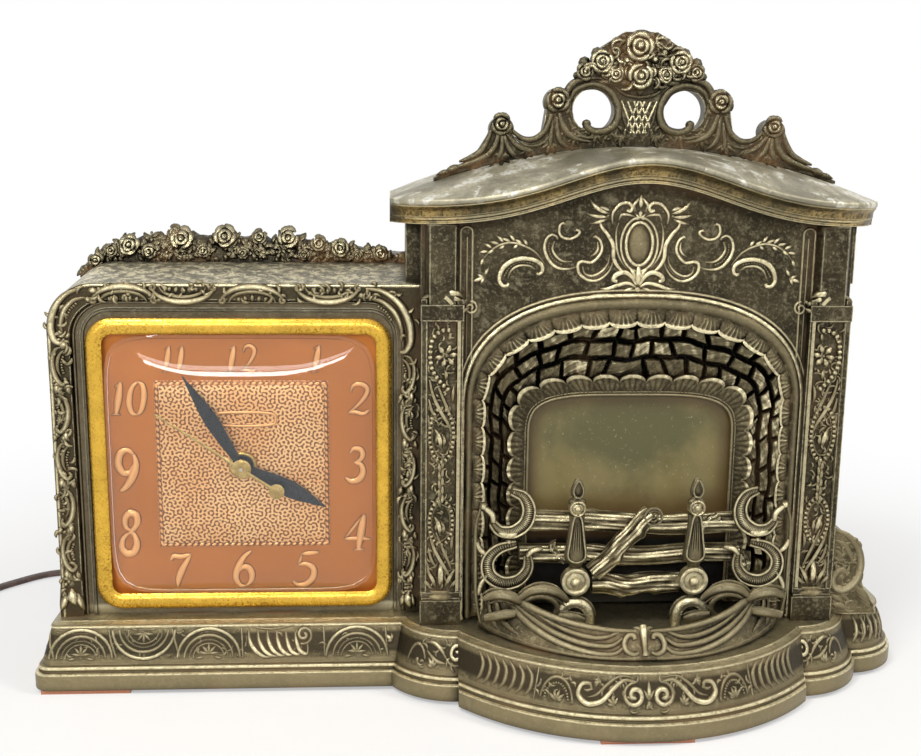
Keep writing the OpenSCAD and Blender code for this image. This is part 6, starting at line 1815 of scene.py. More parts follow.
def make_insert(context):
    """Leaf border, stone reveal, petal frame and screen."""
    count = 30

    def leaves(d, total, t):
        u = (d / total * count) % 1.0
        lobe = sqrt(max(1 - (2 * u - 1) ** 2, 0))
        if t < 0.42:
            v = t / 0.42
            return t, INSERT_Y - 0.1 - 1.1 * sin(pi * min(v * 1.1, 1)) ** 0.8, 0.35 * sin(pi * v)
        v = (t - 0.42) / 0.58
        edge = 0.42 + 0.58 * v * (0.72 + 0.28 * lobe)
        spoke = 0.5 + 0.5 * cos(2 * pi * 4.5 * (u - 0.5) / (0.35 + 0.65 * v))
        y = INSERT_Y + 0.5 - 1.2 * sin(pi * min(0.15 + 0.85 * v, 1)) * (0.3 + 0.7 * lobe) - 0.45 * spoke * lobe
        mark = -0.35 + 1.15 * spoke * lobe * min(3 * v, 1)
        if v > 0.82:
            y, mark = INSERT_Y - 0.5 - 0.4 * lobe, 0.85
        return edge, y, min(mark, 1)

    border = lay_band("hearth_leaves", reveal(-0.5, -0.5), reveal(7.4, 10.8), 30 * 24, 20, leaves, FRONT_Y + 0.4)
    courses = ((0, 0.29), (0.29, 0.61), (0.61, 1))
    joints = []
    for c in range(3):
        ends = [0]
        while ends[-1] < 400:
            ends.append(ends[-1] + 6.4 + 6.4 * hash_of(len(ends), c))
        joints.append(ends)

    def stones(d, total, t):
        wave = t + 0.030 * sin(0.17 * d) + 0.018 * sin(0.43 * d + 1)
        c = 0 if wave < 0.29 else 1 if wave < 0.61 else 2
        t0, t1 = courses[c]
        v = min(max((wave - t0) / (t1 - t0), 0), 1)
        at = d + 1.6 * sin(2.2 * c + 0.21 * d) * (v - 0.5) + 3.0
        ends = joints[c]
        i = next(k for k in range(len(ends) - 1) if ends[k + 1] > at)
        wide = ends[i + 1] - ends[i]
        u = (at - ends[i]) / wide
        gap = min(min(u, 1 - u) * wide, min(v, 1 - v) * (t1 - t0) * 17)
        face = min(max((gap - 0.24) / 0.85, 0), 1) ** 0.6
        tilt = (hash_of(i, c + 3) - 0.5) * (u - 0.5) + (hash_of(i, c + 5) - 0.5) * (v - 0.5)
        rough = 0.20 * sin(9.1 * u + 5 * v + i) * sin(7.3 * v + 3 * i)
        rough += 0.15 * sin(23 * u + 17 * v + 3 * i) * sin(19 * v + i)
        lift = face * (2.2 + 1.6 * hash_of(i, c + 7) + 2.6 * tilt + rough) * (1 - 0.4 * t)
        y = max(INSERT_Y + 2.6 + 4.4 * t ** 0.8 - lift, INSERT_Y - 0.4)
        # painted light: bright lightens the stones from the upper left round to the right foot and shades the inner
        # courses, and lit adds painted light and shade from the tilt and roughness of each face; the hashed tone of
        # each stone is its own
        bright = -0.05 + 0.60 * min(max((d / total - 0.22) / 0.2, 0), 1) - 0.42 * t ** 2
        lit = bright + 0.75 * (hash_of(i + 3, c) - 0.35) + 1.6 * rough + 0.8 * tilt
        return t, y, min(max(-1.0 + face * (1.02 + 0.86 * max(lit, 0)), -1), 1)

    wall = lay_band("hearth_stones", reveal(5.8, 9.2), window_even(5.2), 760, 64, stones, 1.2)
    hand_over(border, "sooty_relief", "antique_bronze", angle=60)
    hand_over(wall, "stones", "antique_bronze", "hearth_insert", angle=35)
    tongues = 25

    def petals(d, total, t):
        u = (d / total * tongues) % 1.0
        lobe = sqrt(max(1 - (2 * u - 1) ** 2, 0))
        edge = 0.62 + 0.38 * lobe
        spoke = 0.5 + 0.5 * cos(2 * pi * 3.5 * (u - 0.5) / (0.45 + 0.55 * t))
        y = -3.2 - 0.55 * lobe * t - 0.4 * spoke * lobe * t
        mark = -0.6 + 1.2 * spoke * lobe * t
        if t > 0.84:
            y, mark = y - 0.35, 0.25 + 0.6 * lobe
        return edge * t, y, min(mark, 1)

    frame_ring = lay_band("hearth_petals", window_even(-0.3), window_even(7.8), tongues * 24, 14, petals, -1.6)
    hand_over(frame_ring, "sooty_relief", "antique_bronze", angle=60)
    bead = cast("window_bead", at_fire([(window(-0.2), 0.5), (window(0.9), 0.34)]), on_front(-3.1), tall=0.6)
    hand_over(bead, "ornament", "antique_bronze", angle=60)
    rows, marks = [], []
    for d, y, m in ((2.4, SCREEN_Y + 0.8, 1), (2.4, SCREEN_Y, 1), (0, SCREEN_Y, 1), (-2.5, SCREEN_Y, 0.75),
                    (-6.5, SCREEN_Y, 0.25),
                    (-12, SCREEN_Y, 0), (-17, SCREEN_Y, 0)):
        rows.append([(FX + x, y, z) for x, z in window(d)])
        marks.append([m] * len(rows[0]))
    screen = sheet_of("screen_film", rows, ring=True, caps=True, relief=marks)
    hand_over(screen, "screen", "amber_screen", "fire_screen", angle=30)


def reveal(aside, over):
    """Outline inside the opening, drawn in by different amounts at the sides and over the arch."""
    return arch_line(OPEN_HALF - aside, OPEN_RISE - over, SPRING_Z, DECK + 2.0, OPEN_BULGE, EVEN)


def window_even(d):
    """Outline of the window in even steps, let out by d."""
    return arch_line(WIN_HALF + d, WIN_RISE + d, WIN_Z0, DECK + 6.0, WIN_BULGE, EVEN)


# Fender, scrolls, andirons and logs
FENDER_AT = (FX, 22.2)
FENDER_R = 69.0


def on_fender(u, v, w):
    """Lays a drawing on the bowed sloping face: u along the bow from its middle, v up from 0 to 10."""
    a = u / FENDER_R
    share_up = v / 10
    rise = 8.8 + 8.6 * min(abs(u) / 70, 1) ** 2.4
    r = FENDER_R - 0.6 - 6.2 * share_up + 0.8 * w
    return FENDER_AT[0] + r * sin(a), FENDER_AT[1] - r * cos(a), DECK + 0.9 + rise * share_up + 0.6 * w


def make_fender(context):
    """Fender wall with its sweeps, and the leaves at the foot of the grate."""
    rows = []
    for v, w in ((0, -2.2), (0, 0), (0.6, 0.35), (1.4, 0.1), (3, -0.3), (5, -0.55), (7, -0.55), (8.6, -0.2),
                 (9.4, 0.2), (10, 0.2),
                 (10.3, -0.4), (10, -2), (5, -2.6)):
        rows.append([on_fender(-71.5 + 143 * i / 110, v, w) for i in range(111)])
    wall = sheet_of("fender_wall", rows, loop=True, caps=True)
    half = [
        curve(1.5, -2.4, 2.6, -4.4, 1.9, -7, 3, -7.9, 5.6, -6.4, 8.2, -4.2, 8.4, -3.6, 7, start=0.6, end=0.9),
        curve(1.5, -7.8, 4.6, -11.6, 1.9, -20, 1.6, -32, 3, -46, 5.6, -58, 8.2, -67, 9.4, start=0.5, end=0.4),
        curve(1.35, -8.6, 7.2, -13, 4.5, -22, 4.2, -34, 5.5, -47, 7.6, -60, 9.4, start=0.5, end=0.3),
        curve(1.2, -10, 9.2, -16, 7, -24, 6.7, -34, 7.7, -44, 9, start=0.5, end=0.3),
        curve(1, -4, 0.5, -20, 0.2, -40, 0.5, -70, 0.8, start=0.9, end=0.9),
        curve(1.4, -3, 9.8, -14, 9.8, -34, 10, -54, 10.1, -70.4, 9.9, start=0.6, end=0.8),
        curve(1.3, -50, 2, -59, 3.8, -65, 6.4, -68.6, 9, start=0.3, end=0.5),
        curve(1.2, -60, 1.6, -66, 3.4, -69.8, 6.4, start=0.3, end=0.5),
    ]
    middle = [([(0, 11.8), (0, 9.6), (0, 6.4), (0, 3.4), (0, 1.4)], lambda t: (2, 2.4, 1.7, 1.2, 1.6)[round(4 * t)]),
              leaf(0, 9.4, 50, 4.4, 1.2, -30), leaf(0, 9.4, 130, 4.4, 1.2, 30)]
    sweeps = cast("fender_sweeps", both(half) + middle, on_fender, sides=3, tall=0.85, fill=0.5, bold=0.78, painted_crown_light=0.75)
    wing = [
        curve(2.3, -25.4, 41, -29, 44.4, -34.4, 46.2, -40, 45.2, -44.4, 41.8, start=0.4, end=0.5),
        curve(0.7, -25.8, 42.6, -30, 47, -35.6, 48.6, -41, 47, -45.4, 43.2, start=0.4, end=0.4),
        curve(0.6, -26.4, 39.4, -30.4, 42.4, -35, 43.6, -39.6, 42.4, start=0.4, end=0.3),
        curve(2.4, -43, 41, -47, 43.4, -52.4, 44.2, -57.6, 42.4, start=0.5, end=0.4),
        curve(0.7, -44, 43.2, -49, 46, -54.6, 46.2, -58.6, 43.6, start=0.4),
        curve(2.2, -42.6, 36.6, -49, 36.2, -57, 34.8, start=0.7, end=0.6),
        curve(2.4, -29, 35.4, -24, 34.6, -19, 33.6, start=0.6, end=0.4),
        (arc(-36, 38.2, 6.6, 5, 0, 360), 1.2),
        curve(0.6, -28.8, 37, -23, 36.6, -18, 35.2, start=0.4),
    curve(0.6, -46, 40.4, -51, 41.8, -56, 40.4, start=0.4),
    ]
    foot = cast("grate_leaves", at_fire(both(wing)), on_front(-23), sides=3, tall=1.35, fill=0.45, bold=0.95,
                painted_crown_light=0.75)
    for ob in (wall, sweeps, foot):
        hand_over(ob, "sooty_relief", "antique_bronze", angle=50)
    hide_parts("fender")


def reeded(pts, wide):
    """Flat crescent with a raised rim on both sides and reeds across its hollow face."""
    path = smooth_path(pts, 8)
    n = len(path)
    half = [wide * (0.34 + 0.66 * sin(pi * (0.04 + 0.92 * i / (n - 1))) ** 0.8) for i in range(n)]
    out = [([(*p, -0.78 * h) for p, h in zip(path, half)], lambda t: half[min(int(t * (n - 1) + 0.5), n - 1)])]
    rims = ([], [])
    for i, p in enumerate(path):
        q0, q1 = path[max(i - 1, 0)], path[min(i + 1, n - 1)]
        dx, dz = q1[0] - q0[0], q1[1] - q0[1]
        k = hypot(dx, dz) or 1
        nx, nz = -dz / k, dx / k
        for rim, side in zip(rims, (-1, 1)):
            rim.append((p[0] + side * nx * half[i] * 0.86, p[1] + side * nz * half[i] * 0.86, 0.2 * half[i]))
        if 1 < i < n - 2:
            out.append(([(p[0] - nx * half[i] * 0.66, p[1] - nz * half[i] * 0.66, 0.1 * half[i]),
                         (p[0], p[1], 0.3 * half[i]),
                         (p[0] + nx * half[i] * 0.66, p[1] + nz * half[i] * 0.66, 0.1 * half[i])],
                         taper(0.34, 0.6, 0.6)))
    return out + [(rim, 0.55) for rim in rims]


def make_scrolls(context):
    """Reeded scrolls at both sides of the grate."""
    left = reeded([(-46.8, 82.6), (-42.4, 80.6), (-40.2, 75.6), (-41.6, 70.2), (-46, 67), (-51, 67.4), (-54, 70.6)],
                  2.7)
    left += reeded([(-44.8, 62), (-51.4, 60.2), (-55.4, 55.6), (-54.6, 49.8), (-49.6, 46.6), (-43.6, 47.8),
                    (-40.2, 52.4), (-40.4, 57.4)], 2.7)
    left += [
        berry(-57.4, 76.8, 1.8, 0.4), berry(-47.6, 63, 1.4, 0.3),
        curve(1.3, -53.6, 70.6, -54, 73.6, -57, 76.4, start=0.8, end=0.8),
        curve(1.5, -51.6, 66.6, -47.6, 65.4, -44.6, 66.4, start=0.5, end=0.6),
        curve(1.3, -40.6, 57, -38.4, 59.4, -34.6, 60.2, start=0.7, end=0.5),
        curve(0.8, -58.4, 76, -60, 70, -60.2, 62, -60, 50, -59.6, 40, -58, 31, start=0.7, end=0.7),
        curve(1.2, -56, 58, -58.4, 60, -59.8, 63, start=0.6, end=0.6),
    curve(1.2, -55.6, 50, -58, 46, -58.8, 42, start=0.6, end=0.6),
    ]
    scrolls = cast("grate_scrolls", at_fire(both(left)), on_front(-17), sides=3, tall=1.1, fill=0.9, painted_crown_light=0.35)
    hand_over(scrolls, "sooty_relief", "antique_bronze", angle=50)


def upright(name, at, pts, flat=0.75, n=32, ribs=0, deep=0.0):
    """An upright turned piece, a little flattened: points are half width and height."""
    rows = []
    for r, z in pts:
        r = max(r, 0.01)
        rows.append([(at[0] + r * (1 + deep * cos(ribs * 2 * pi * k / n)) * cos(2 * pi * k / n),
                      at[1] + flat * r * sin(2 * pi * k / n), z) for k in range(n)])
    return sheet_of(name, rows, ring=True, caps=True, relief=[[0.3] * n for _ in rows])


IRON_DX, IRON_Y = 22.5, -20.0


def make_andirons(context):
    """Andirons: a turned stem with bosses on a half round foot, and its veins."""
    for side, node in ((-1, "andiron_left"), (1, "andiron_right")):
        x, y = FX + side * IRON_DX, IRON_Y
        spine = upright(node + "_stem", (x, y), (
            (0.4, 88.9), (1.2, 88), (2.2, 85.6), (2.7, 83.6), (2.4, 82), (1.7, 81.2), (2.2, 80.6), (3.2, 80),
            (3.4, 79), (2.8, 78),
            (2.2, 76), (2.4, 74.6), (3.1, 74.2), (2.9, 73.4), (2.8, 72), (3.2, 68), (3.7, 64), (4.2, 60), (4.4, 57.6),
            (3.8, 56),
            (2.5, 55.2), (2.2, 53), (2, 40), (1.6, 37)), 0.62, 40)
        bosses = []
        for z, r in ((77.2, 3.2), (48.4, 5.5)):
            bosses.append(turned("boss", ((0.01, y - 2.2 - 0.34 * r), (0.16 * r, y - 2.2 - 0.33 * r),
                                          (0.32 * r, y - 2.2 - 0.20 * r), (0.38 * r, y - 2.2),
                                          (0.62 * r, y - 1.9), (0.70 * r, y - 2.5), (0.84 * r, y - 2.75),
                                          (0.97 * r, y - 2.4), (r, y - 1.6), (r, y + 1.2),
                                          (0.01, y + 1.4)), (x, z), 40, 0.75))
        zf = 34.0
        foot = [(arc(x, zf, 5.6, 5.6, 0, 180, 8), 2.3), (arc(x, zf, 7.9, 7.9, 0, 180, 8), 0.6),
                (arc(x, zf, 3.4, 3.4, 0, 180, 8), 0.55)]
        foot += [([(x + 4.0 * cos(a), zf + 4.0 * sin(a), 1.6), (x + 7.0 * cos(a), zf + 7.0 * sin(a), 1.4)], 0.3)
                 for a in (radians(10 + 16 * k) for k in range(11))]
        foot += [([(x + side * 5.6, zf), (x + side * 5.8, 30.6), (x + side * 6.0, 27.6)], 2.2) for side in (-1, 1)]
        rim = smooth_path([(x, 56.4), (x - 3.2, 58.4), (x - 2.6, 65), (x - 1.5, 73), (x, 74.6), (x + 1.5, 73),
                           (x + 2.6, 65), (x + 3.2, 58.4)], 5, closed=True)
        flame = smooth_path([(x, 88), (x - 1.8, 84.6), (x - 1.2, 82), (x, 81.6), (x + 1.2, 82), (x + 1.8, 84.6)], 4,
                            closed=True)
        veins = [(rim + rim[:1], 0.45), (flame + flame[:1], 0.4)]
        veins += [curve(0.34, x + k, 58.6, x + 0.8 * k, 64, x + 0.5 * k, 71.6, start=0.5) for k in (-1.6, -0.6, 0.5,
            1.5)]
        half_round = cast("foot", foot, on_front(y), sides=2, tall=1.6, fill=0.8)
        lines = cast("veins", veins, on_front(y - 2.4), tall=0.45, fill=0.8)
        iron = joined(node + "_cast", spine, *bosses, half_round, lines)
        hand_over(iron, "sooty_relief", "antique_bronze", node, angle=45)


BARK_POINTS = 60


def log(name, p0, p1, r, y, seed):
    """A cast log: bark in long waves, knots, and flat cut ends."""
    d = Vector((p1[0] - p0[0], 0, p1[1] - p0[1]))
    size = d.length
    d.normalize()
    up = Vector((-d.z, 0, d.x))
    rows, marks = [], []
    n = max(int(size / 1.1), 16)
    for i in range(-2, n + 3):
        t = min(max(i / n, 0), 1)
        shrink = {-2: 0.05, -1: 0.75, n + 1: 0.75, n + 2: 0.05}.get(i, 1)
        bend = 0.7 * sin(5.0 * t + seed) + 0.3 * sin(13 * t + 2 * seed)
        knot = 0.35 * exp(-(((t - 0.27 - 0.1 * hash_of(seed)) / 0.035) ** 2))
        knot += 0.30 * exp(-(((t - 0.74) / 0.04) ** 2))
        ring, mark = [], []
        for k in range(BARK_POINTS):
            a = 2 * pi * k / BARK_POINTS
            wide = abs(sin(2.5 * a + 3 * t + seed))
            narrow = abs(sin(6.5 * a - 4 * t + 2 * seed + sin(9 * t)))
            bark = 0.17 * wide + 0.13 * narrow - 0.18 + 0.02 * sin(3 * a + 31 * t)
            rr = r * shrink * (1 + bark + knot * max(sin(a + seed), 0))
            p = Vector((FX + p0[0], y, DECK + p0[1])) + d * (size * t) + up * (rr * sin(a) + bend) + Vector((0,
                rr * cos(a), 0))
            ring.append(tuple(p))
            mark.append(min(max(0.42 + 6.5 * bark, -0.9), 1) if shrink == 1.0 else 0.7)
        rows.append(ring)
        marks.append(mark)
    return sheet_of(name, rows, ring=True, caps=True, relief=marks)


def make_logs(context):
    """Four logs, two stubs and the rings on the cut end."""
    logs = [
        log("log_top", (-41, 41.6), (41, 41.2), 3.7, -10.4, 1),
        log("log_middle", (-43, 29), (42, 28.8), 3.5, -10.4, 2),
        log("log_low", (-15, 17.6), (19, 17.2), 3.8, -12, 3), log("log_cross", (-15, 23), (7.2, 46), 3.5, -14.8, 4),
        log("stub_left", (-26, 26), (-31, 34), 1.6, -12.4, 5), log("stub_right", (27, 39), (33, 45), 1.6, -12.4, 6),
    ]
    ends = cast("log_rings", at_fire([
        (spiral(7, 45.9 + DECK, 2.7, 2, 0, 0.1), taper(0.42, 0.7, 0.9)), (arc(7, 45.9 + DECK, 3.3, 3.3, 0, 360), 0.5),
    ]), on_front(-18.2), tall=0.6)
    heap = joined("fire_logs", *logs, ends)
    hand_over(heap, "sooty_relief", "dark_bronze", "log_grate", angle=50)


def make_volute(context):
    """Leafy scroll bracket at the fireplace's free side."""
    x0 = FIRE_X1
    strokes = [
        curve(2, x0 + 1.6, DECK + 35.0, x0 + 7.4, DECK + 32.6, x0 + 12.0, DECK + 27.0, x0 + 13.4, DECK + 20.0,
              x0 + 11.6, DECK + 13.6, x0 + 7.4, DECK + 10.2,
              x0 + 3.4, DECK + 11.4, x0 + 2.6, DECK + 15.4, x0 + 5.4, DECK + 18.4, x0 + 8.6, DECK + 16.8, start=0.4,
              end=0.7),
        curve(1.4, x0 + 1.2, DECK + 31.0, x0 + 6.0, DECK + 29.0, x0 + 9.4, DECK + 24.0, x0 + 9.8, DECK + 20.4,
              start=0.4, end=0.2),
        curve(1.2, x0 + 0.8, DECK + 27.0, x0 + 4.4, DECK + 25.4, x0 + 6.6, DECK + 21.8, start=0.4, end=0.2),
        berry(x0 + 6.2, DECK + 15.6, 1.8, 0.5),
        *[curve(1.3 - 0.1 * k, x0 + 10.8 + 1.1 * k, DECK + 12.6 - 2.1 * k, x0 + 14.6 + 0.9 * k, DECK + 9.4 - 1.9 * k,
                x0 + 18.6 + 0.3 * k, DECK + 5.0 - 1.0 * k,
                start=0.5, end=0.3) for k in range(4)],
        leaf(x0 + 1.0, DECK + 8.0, -10, 9, 1.4, -20), leaf(x0 + 1.0, DECK + 4.4, -4, 12, 1.5, -14),
        *filler(46, 51, x0 + 1.5, DECK + 2.0, x0 + 11.0, DECK + 30.0, 0.8, 3, 0.2),
    *fan(x0 + 3.0, DECK + 22.0, 40, 8, 1.1, 5, 110),
    ]
    relief = cast("side_leaves", strokes, on_front(VOLUTE_LO[1] + 0.4), sides=2, tall=1.7, fill=0.6)
    hand_over(relief, "ornament", "antique_bronze", angle=55)


# Crest: basket of roses, two hooped scrolls and four buds on leafy stems
def on_crest(u, v, w):
    """Lays a drawing on the crest's front, and below its foot on the sloping top of the shelf."""
    x = u - FX
    turn = ridge_z(x) + 0.8
    v = turn - 0.3 * (turn - v) if v < turn else v
    if v >= ridge_z(x) + 0.8:
        return u, CREST_Y - 3.3 - w, v
    y0 = shelf_front(min(abs(x), SHELF_HALF - 0.1))
    edge = under_z(x) + SHELF_EDGE
    up = min(max((v - 0.8 - edge) / max(ridge_z(x) - edge, 0.2), 0), 1)
    s = 1 - (1 - up) ** (1 / 1.6)
    y = min(y0 + (CREST_Y - y0) * s, CREST_Y - 3.3)
    return u, y - 0.5 * w, v - 0.8 + 0.8 * w


def make_crest(context):
    """Relief of the crest, both halves and the basket."""
    half = [
        curve(1.5, -25, 220, -26, 224.4, -24.6, 228.8, -21, 231.2, -16.8, 231.9, -12, 230.2, -8.8, 226.4, -7.7, 221.4,
              -8.9, 217.4, -12.2, 215.2,
              -16.2, 214.8, -19, 216.2, -19.6, 218.6, start=0.5, end=1.0, peak=0.6),
        curve(0.6, -24.6, 226, -22.6, 229.4, -17, 230.6, -12.2, 228.8, -9.6, 224.6, start=0.4, end=0.3),
        curve(1.4, -27, 224, -27.2, 228.4, -25, 232, -20.6, 233.8, -15.4, 234.2, -10, 232.6, start=0.9, end=0.3,
              peak=0.3),
        curve(1, -26.2, 219.6, -24.2, 215.4, -20.4, 212.8, -15.2, 212.9, -10.6, 214.4, start=0.5, end=0.3),
        berry(-26.4, 226.2, 1.9, 0.4),
        berry(-19.4, 217.6, 1.7, 0.2),
        *rose(-30.4, 226, 4.9, 0.8, 20), berry(-30.4, 226, 2.2, 1.6), leaf(-34.6, 222.8, 96, 5.6, 1.3, -30),
        leaf(-27.6, 220.8, 40, 4, 1.2, 30),
        *rose(-51, 217.2, 4.4, 0.7, -20), berry(-51, 217.2, 2, 1.4), leaf(-54.4, 213.6, 100, 5, 1.2, -30),
        leaf(-48.4, 213, 60, 4.4, 1.1, 20),
        curve(1.25, -32.6, 221, -33.6, 217.6, -35.4, 214.2, -39, 211.8, -43.4, 212.2, -47.6, 215.4, start=0.8,
              end=0.5),
        curve(0.8, -31, 220.6, -31.8, 216, -33.4, 212.6, -36.8, 209.8, -41.6, 209.6, -46.4, 212.6, start=0.6,
              end=0.4),
        curve(1.5, -29.8, 221.4, -28.6, 217.6, -26.6, 214.2, -23, 212, -18, 211.2, start=0.6, end=0.4),
        curve(1.3, -30.6, 220, -30.2, 214.6, -29, 211, -26, 208.6, start=0.6, end=0.4),
        curve(1.2, -32, 218.6, -32.6, 213, -32.8, 209.4, -31.6, 206.6, start=0.5, end=0.3),
        curve(1.5, -52, 213.6, -53.2, 209.8, -55.4, 206.4, -59.4, 204, -64.4, 202.2, -68, 201.2, start=0.7, end=0.4),
        curve(1.3, -54.8, 215, -56.4, 210.8, -58.8, 207, -62.6, 204.8, -66.6, 203.4, start=0.6, end=0.3),
        curve(1.4, -51, 213.2, -50.8, 208.6, -52.4, 204, -55.4, 200.6, start=0.6, end=0.3),
        curve(1.3, -50, 213, -48.4, 208.6, -46, 205.6, -42.6, 204, start=0.6, end=0.3),
        curve(1.2, -49.4, 214.2, -46.4, 210.6, -42.8, 208, -38.4, 206.8, start=0.5, end=0.3),
        *fan(-15.6, 215, -100, 6, 1, 5, 120, tip=0.3), *fan(-23.4, 213.6, -104, 6, 1, 5, 110, tip=0.3),
        *fan(-32.6, 211, -108, 6.4, 1.1, 5, 120, tip=0.3), *fan(-41, 208.8, -104, 5.6, 1, 5, 110, tip=0.3),
        *fan(-50.2, 207.2, -100, 7.2, 1.2, 5, 100, tip=0.3), *fan(-60, 205, -116, 5.4, 1, 5, 90, tip=0.3),
        *filler(26, 41, -30, 212, -3, 215, 0.8, 1.8, 0),
        leaf(-66, 201.8, 196, 7, 1.5, 10), leaf(-69.4, 199.8, 188, 6, 1.2, 6), berry(-72.8, 198.6, 1.1),
        *fan(-6.6, 214, -94, 5, 1, 5, 110, tip=0.3),
        curve(0.9, -9.4, 231.2, -5.4, 228.4, 0, 227.4, start=0.4, end=0.9),
        *rose(-14.6, 240, 4.7, 2, 10), *rose(-20.6, 236.4, 3.6, 1.2, 60), *rose(-9.4, 235.6, 3.5, 1.8, 30),
        berry(-16.2, 243, 2.3, 0.4), berry(-20.8, 239.6, 2.3, 0.2), berry(-8.6, 243.6, 2.2, 0.8),
        berry(-9.8, 245.8, 1.8, 0),
        leaf(-8.4, 231.8, 150, 8, 1.5, 30), leaf(-5.6, 239.8, 140, 7, 1.5, 20), berry(-23.6, 235, 1.4, 0.4),
    ]
    middle = [
        *rose(-1, 245.4, 5.8, 2.6, 0), *rose(-0.4, 235, 5.2, 3, 36), berry(-1, 246, 2.4, 4.2),
        berry(-0.4, 235, 2.2, 4.4),
        berry(4.8, 241, 1.8, 2.4), berry(-5.6, 240.6, 1.8, 2.4), leaf(3, 240.6, 60, 6, 1.5, -20),
        leaf(0, 231.4, -90, 4, 1.6), berry(-6.6, 249, 1.4, 0.4),
        curve(0.7, -6.8, 225.6, -5.6, 219.4, -3.6, 214.2, start=0.7, end=0.6),
    curve(0.7, 6.8, 225.6, 5.6, 219.4, 3.6, 214.2, start=0.7, end=0.6),
    ]
    net = []
    for k in range(-2, 4):
        x = 2.3 * k - 1.15
        net += [line((x - 3.2, 226), (x + 1.8, 214.4), r=0.5), line((x + 3.2, 226), (x - 1.8, 214.4), r=0.5)]
    for i in range(150):
        x = -22.0 + 44.0 * hash_of(i, 1)
        z = 232.6 + (250.0 - 0.034 * x * x - 232.6) * hash_of(i, 2)
        if abs(x) < 10 or z > 235.5:
            a, size = 360 * hash_of(i, 3), 1.5 + 1.3 * hash_of(i, 4)
            bend = [(px, pz, 0.6 + 1.6 * hash_of(i, 5)) for px, pz in arc(x, z, size, size, a, a + 150, 25)]
            middle.append((bend, taper(0.85, 0.4, 0.4)))
            middle.append(([(x - 0.3, z, -0.6), (x, z, -0.3), (x + 0.3, z, -0.6)], 1.9))
    inside = [p for p in middle if all(abs(q[0]) < 7.4 or q[1] > 227 for q in p[0])]
    relief = cast("crest_relief", at_fire(both(half) + inside), on_crest, sides=2, tall=2.6, fill=0.85, painted_crown_light=0.85)
    weave = cast("crest_weave", at_fire([s for s in net if all(abs(q[0]) < 7.4 for q in s[0])]), on_crest, tall=0.4,
                 fill=0.8)
    relief = joined("crest_relief", relief, weave)
    hand_over(relief, "dusty", "antique_bronze", angle=60)


# Steps that a user can run one by one from the panel
def prepare(context):
    """Makes the finishes and gives them to the solids."""
    FINISH.clear()
    FINISH.update(make_finishes(context))
    finish_solids()


def run(context, *makers):
    """Calls the makers of one step in their order."""
    for make in makers:
        make(context)
    return {"FINISHED"}


class CLOCK_OT_finishes(bpy.types.Operator):
    """Give every solid its finish"""
    bl_idname = "clock.finishes"
    bl_label = "Finishes"

    def execute(self, context):
        return run(context, prepare)


class CLOCK_OT_stage(bpy.types.Operator):
    """Add the camera, the lamps and the table"""
    bl_idname = "clock.stage"
    bl_label = "Stage"

    def execute(self, context):
        return run(context, make_camera, make_table, make_backdrop, make_lamps)


class CLOCK_OT_plinth(bpy.types.Operator):
    """Model the plinth and its carved bands"""
    bl_idname = "clock.plinth"
    bl_label = "Plinth"

    def execute(self, context):
        return run(context, make_plinth, make_base_bands)


class CLOCK_OT_case(bpy.types.Operator):
    """Model the border and the garland of the case"""
    bl_idname = "clock.case"
    bl_label = "Clock case"

    def execute(self, context):
        return run(context, make_case_edge, make_case_border, make_garland)


class CLOCK_OT_dial(bpy.types.Operator):
    """Model the face plate, the dial, its glass and the hands"""
    bl_idname = "clock.dial"
    bl_label = "Dial"

    def execute(self, context):
        return run(context, make_face, make_dial, make_glass, make_hands)


class CLOCK_OT_front(bpy.types.Operator):
    """Model the frieze, the columns and the shelf"""
    bl_idname = "clock.front"
    bl_label = "Fireplace front"

    def execute(self, context):
        return run(context, make_frieze, make_columns, make_shelf)


class CLOCK_OT_hearth(bpy.types.Operator):
    """Model the leaf border, the stones and the screen"""
    bl_idname = "clock.hearth"
    bl_label = "Hearth"

    def execute(self, context):
        return run(context, make_insert)


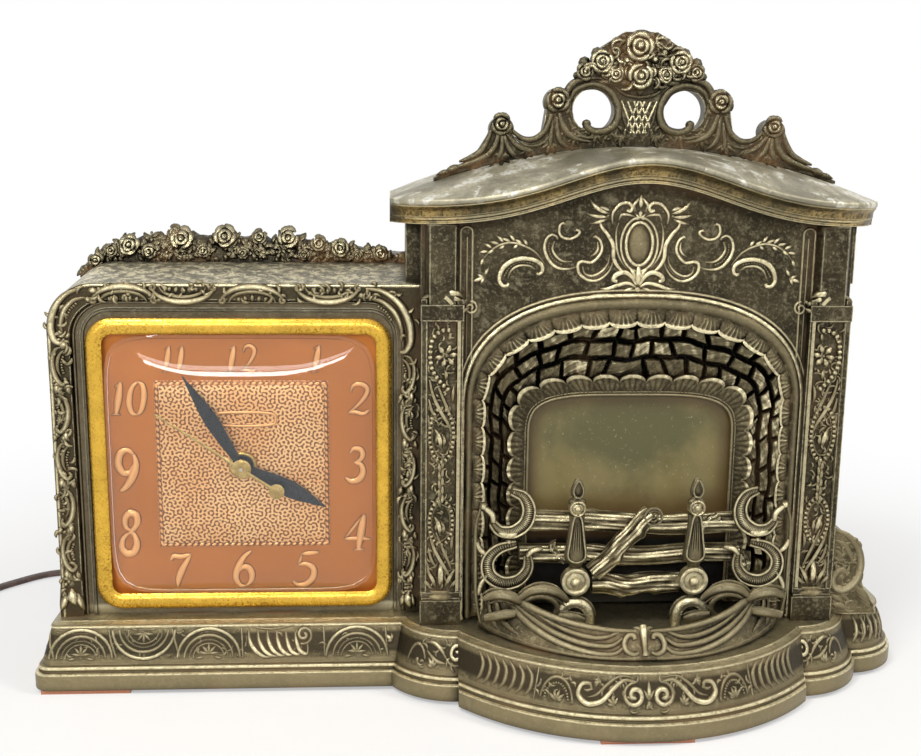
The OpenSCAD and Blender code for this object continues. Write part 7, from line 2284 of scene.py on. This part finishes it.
class CLOCK_OT_irons(bpy.types.Operator):
    """Model the fender, scrolls, andirons and logs"""
    bl_idname = "clock.irons"
    bl_label = "Hearth irons"

    def execute(self, context):
        return run(context, make_fender, make_scrolls, make_andirons, make_logs)


class CLOCK_OT_crest(bpy.types.Operator):
    """Model the crest and the side bracket"""
    bl_idname = "clock.crest"
    bl_label = "Crest"

    def execute(self, context):
        return run(context, make_crest, make_volute)


class CLOCK_OT_lead(bpy.types.Operator):
    """Lay the twin lead from the case to the plug"""
    bl_idname = "clock.lead"
    bl_label = "Supply lead"

    def execute(self, context):
        return run(context, make_cord)


STEPS = (
    CLOCK_OT_finishes, CLOCK_OT_stage, CLOCK_OT_plinth, CLOCK_OT_case, CLOCK_OT_dial,
    CLOCK_OT_front, CLOCK_OT_hearth, CLOCK_OT_irons, CLOCK_OT_crest, CLOCK_OT_lead,
)


class CLOCK_PT_steps(bpy.types.Panel):
    """Steps and settings of the clock"""
    bl_idname = "CLOCK_PT_steps"
    bl_label = "Mantel clock"
    bl_space_type = "VIEW_3D"
    bl_region_type = "UI"
    bl_category = "Clock"

    def draw(self, context):
        for step in STEPS:
            self.layout.operator(step.bl_idname)
        for name, group in GROUPS:
            for key in group.__annotations__:
                self.layout.prop(getattr(context.scene, name), key)


def register():
    """Adds the settings, the steps and the panel to Blender."""
    for _, group in GROUPS:
        bpy.utils.register_class(group)
    for name, group in GROUPS:
        setattr(bpy.types.Scene, name, bpy.props.PointerProperty(type=group))
    for kind in (*STEPS, CLOCK_PT_steps):
        bpy.utils.register_class(kind)


def unregister():
    """Takes them away again."""
    for kind in (*STEPS, CLOCK_PT_steps):
        bpy.utils.unregister_class(kind)
    for name, group in GROUPS:
        delattr(bpy.types.Scene, name)
        bpy.utils.unregister_class(group)


def main():
    register()
    bpy.ops.clock.finishes()
    bpy.ops.clock.stage()
    bpy.ops.clock.plinth()
    bpy.ops.clock.case()
    bpy.ops.clock.dial()
    bpy.ops.clock.front()
    bpy.ops.clock.hearth()
    bpy.ops.clock.irons()
    bpy.ops.clock.crest()
    bpy.ops.clock.lead()


if __name__ == "__main__":
    main()
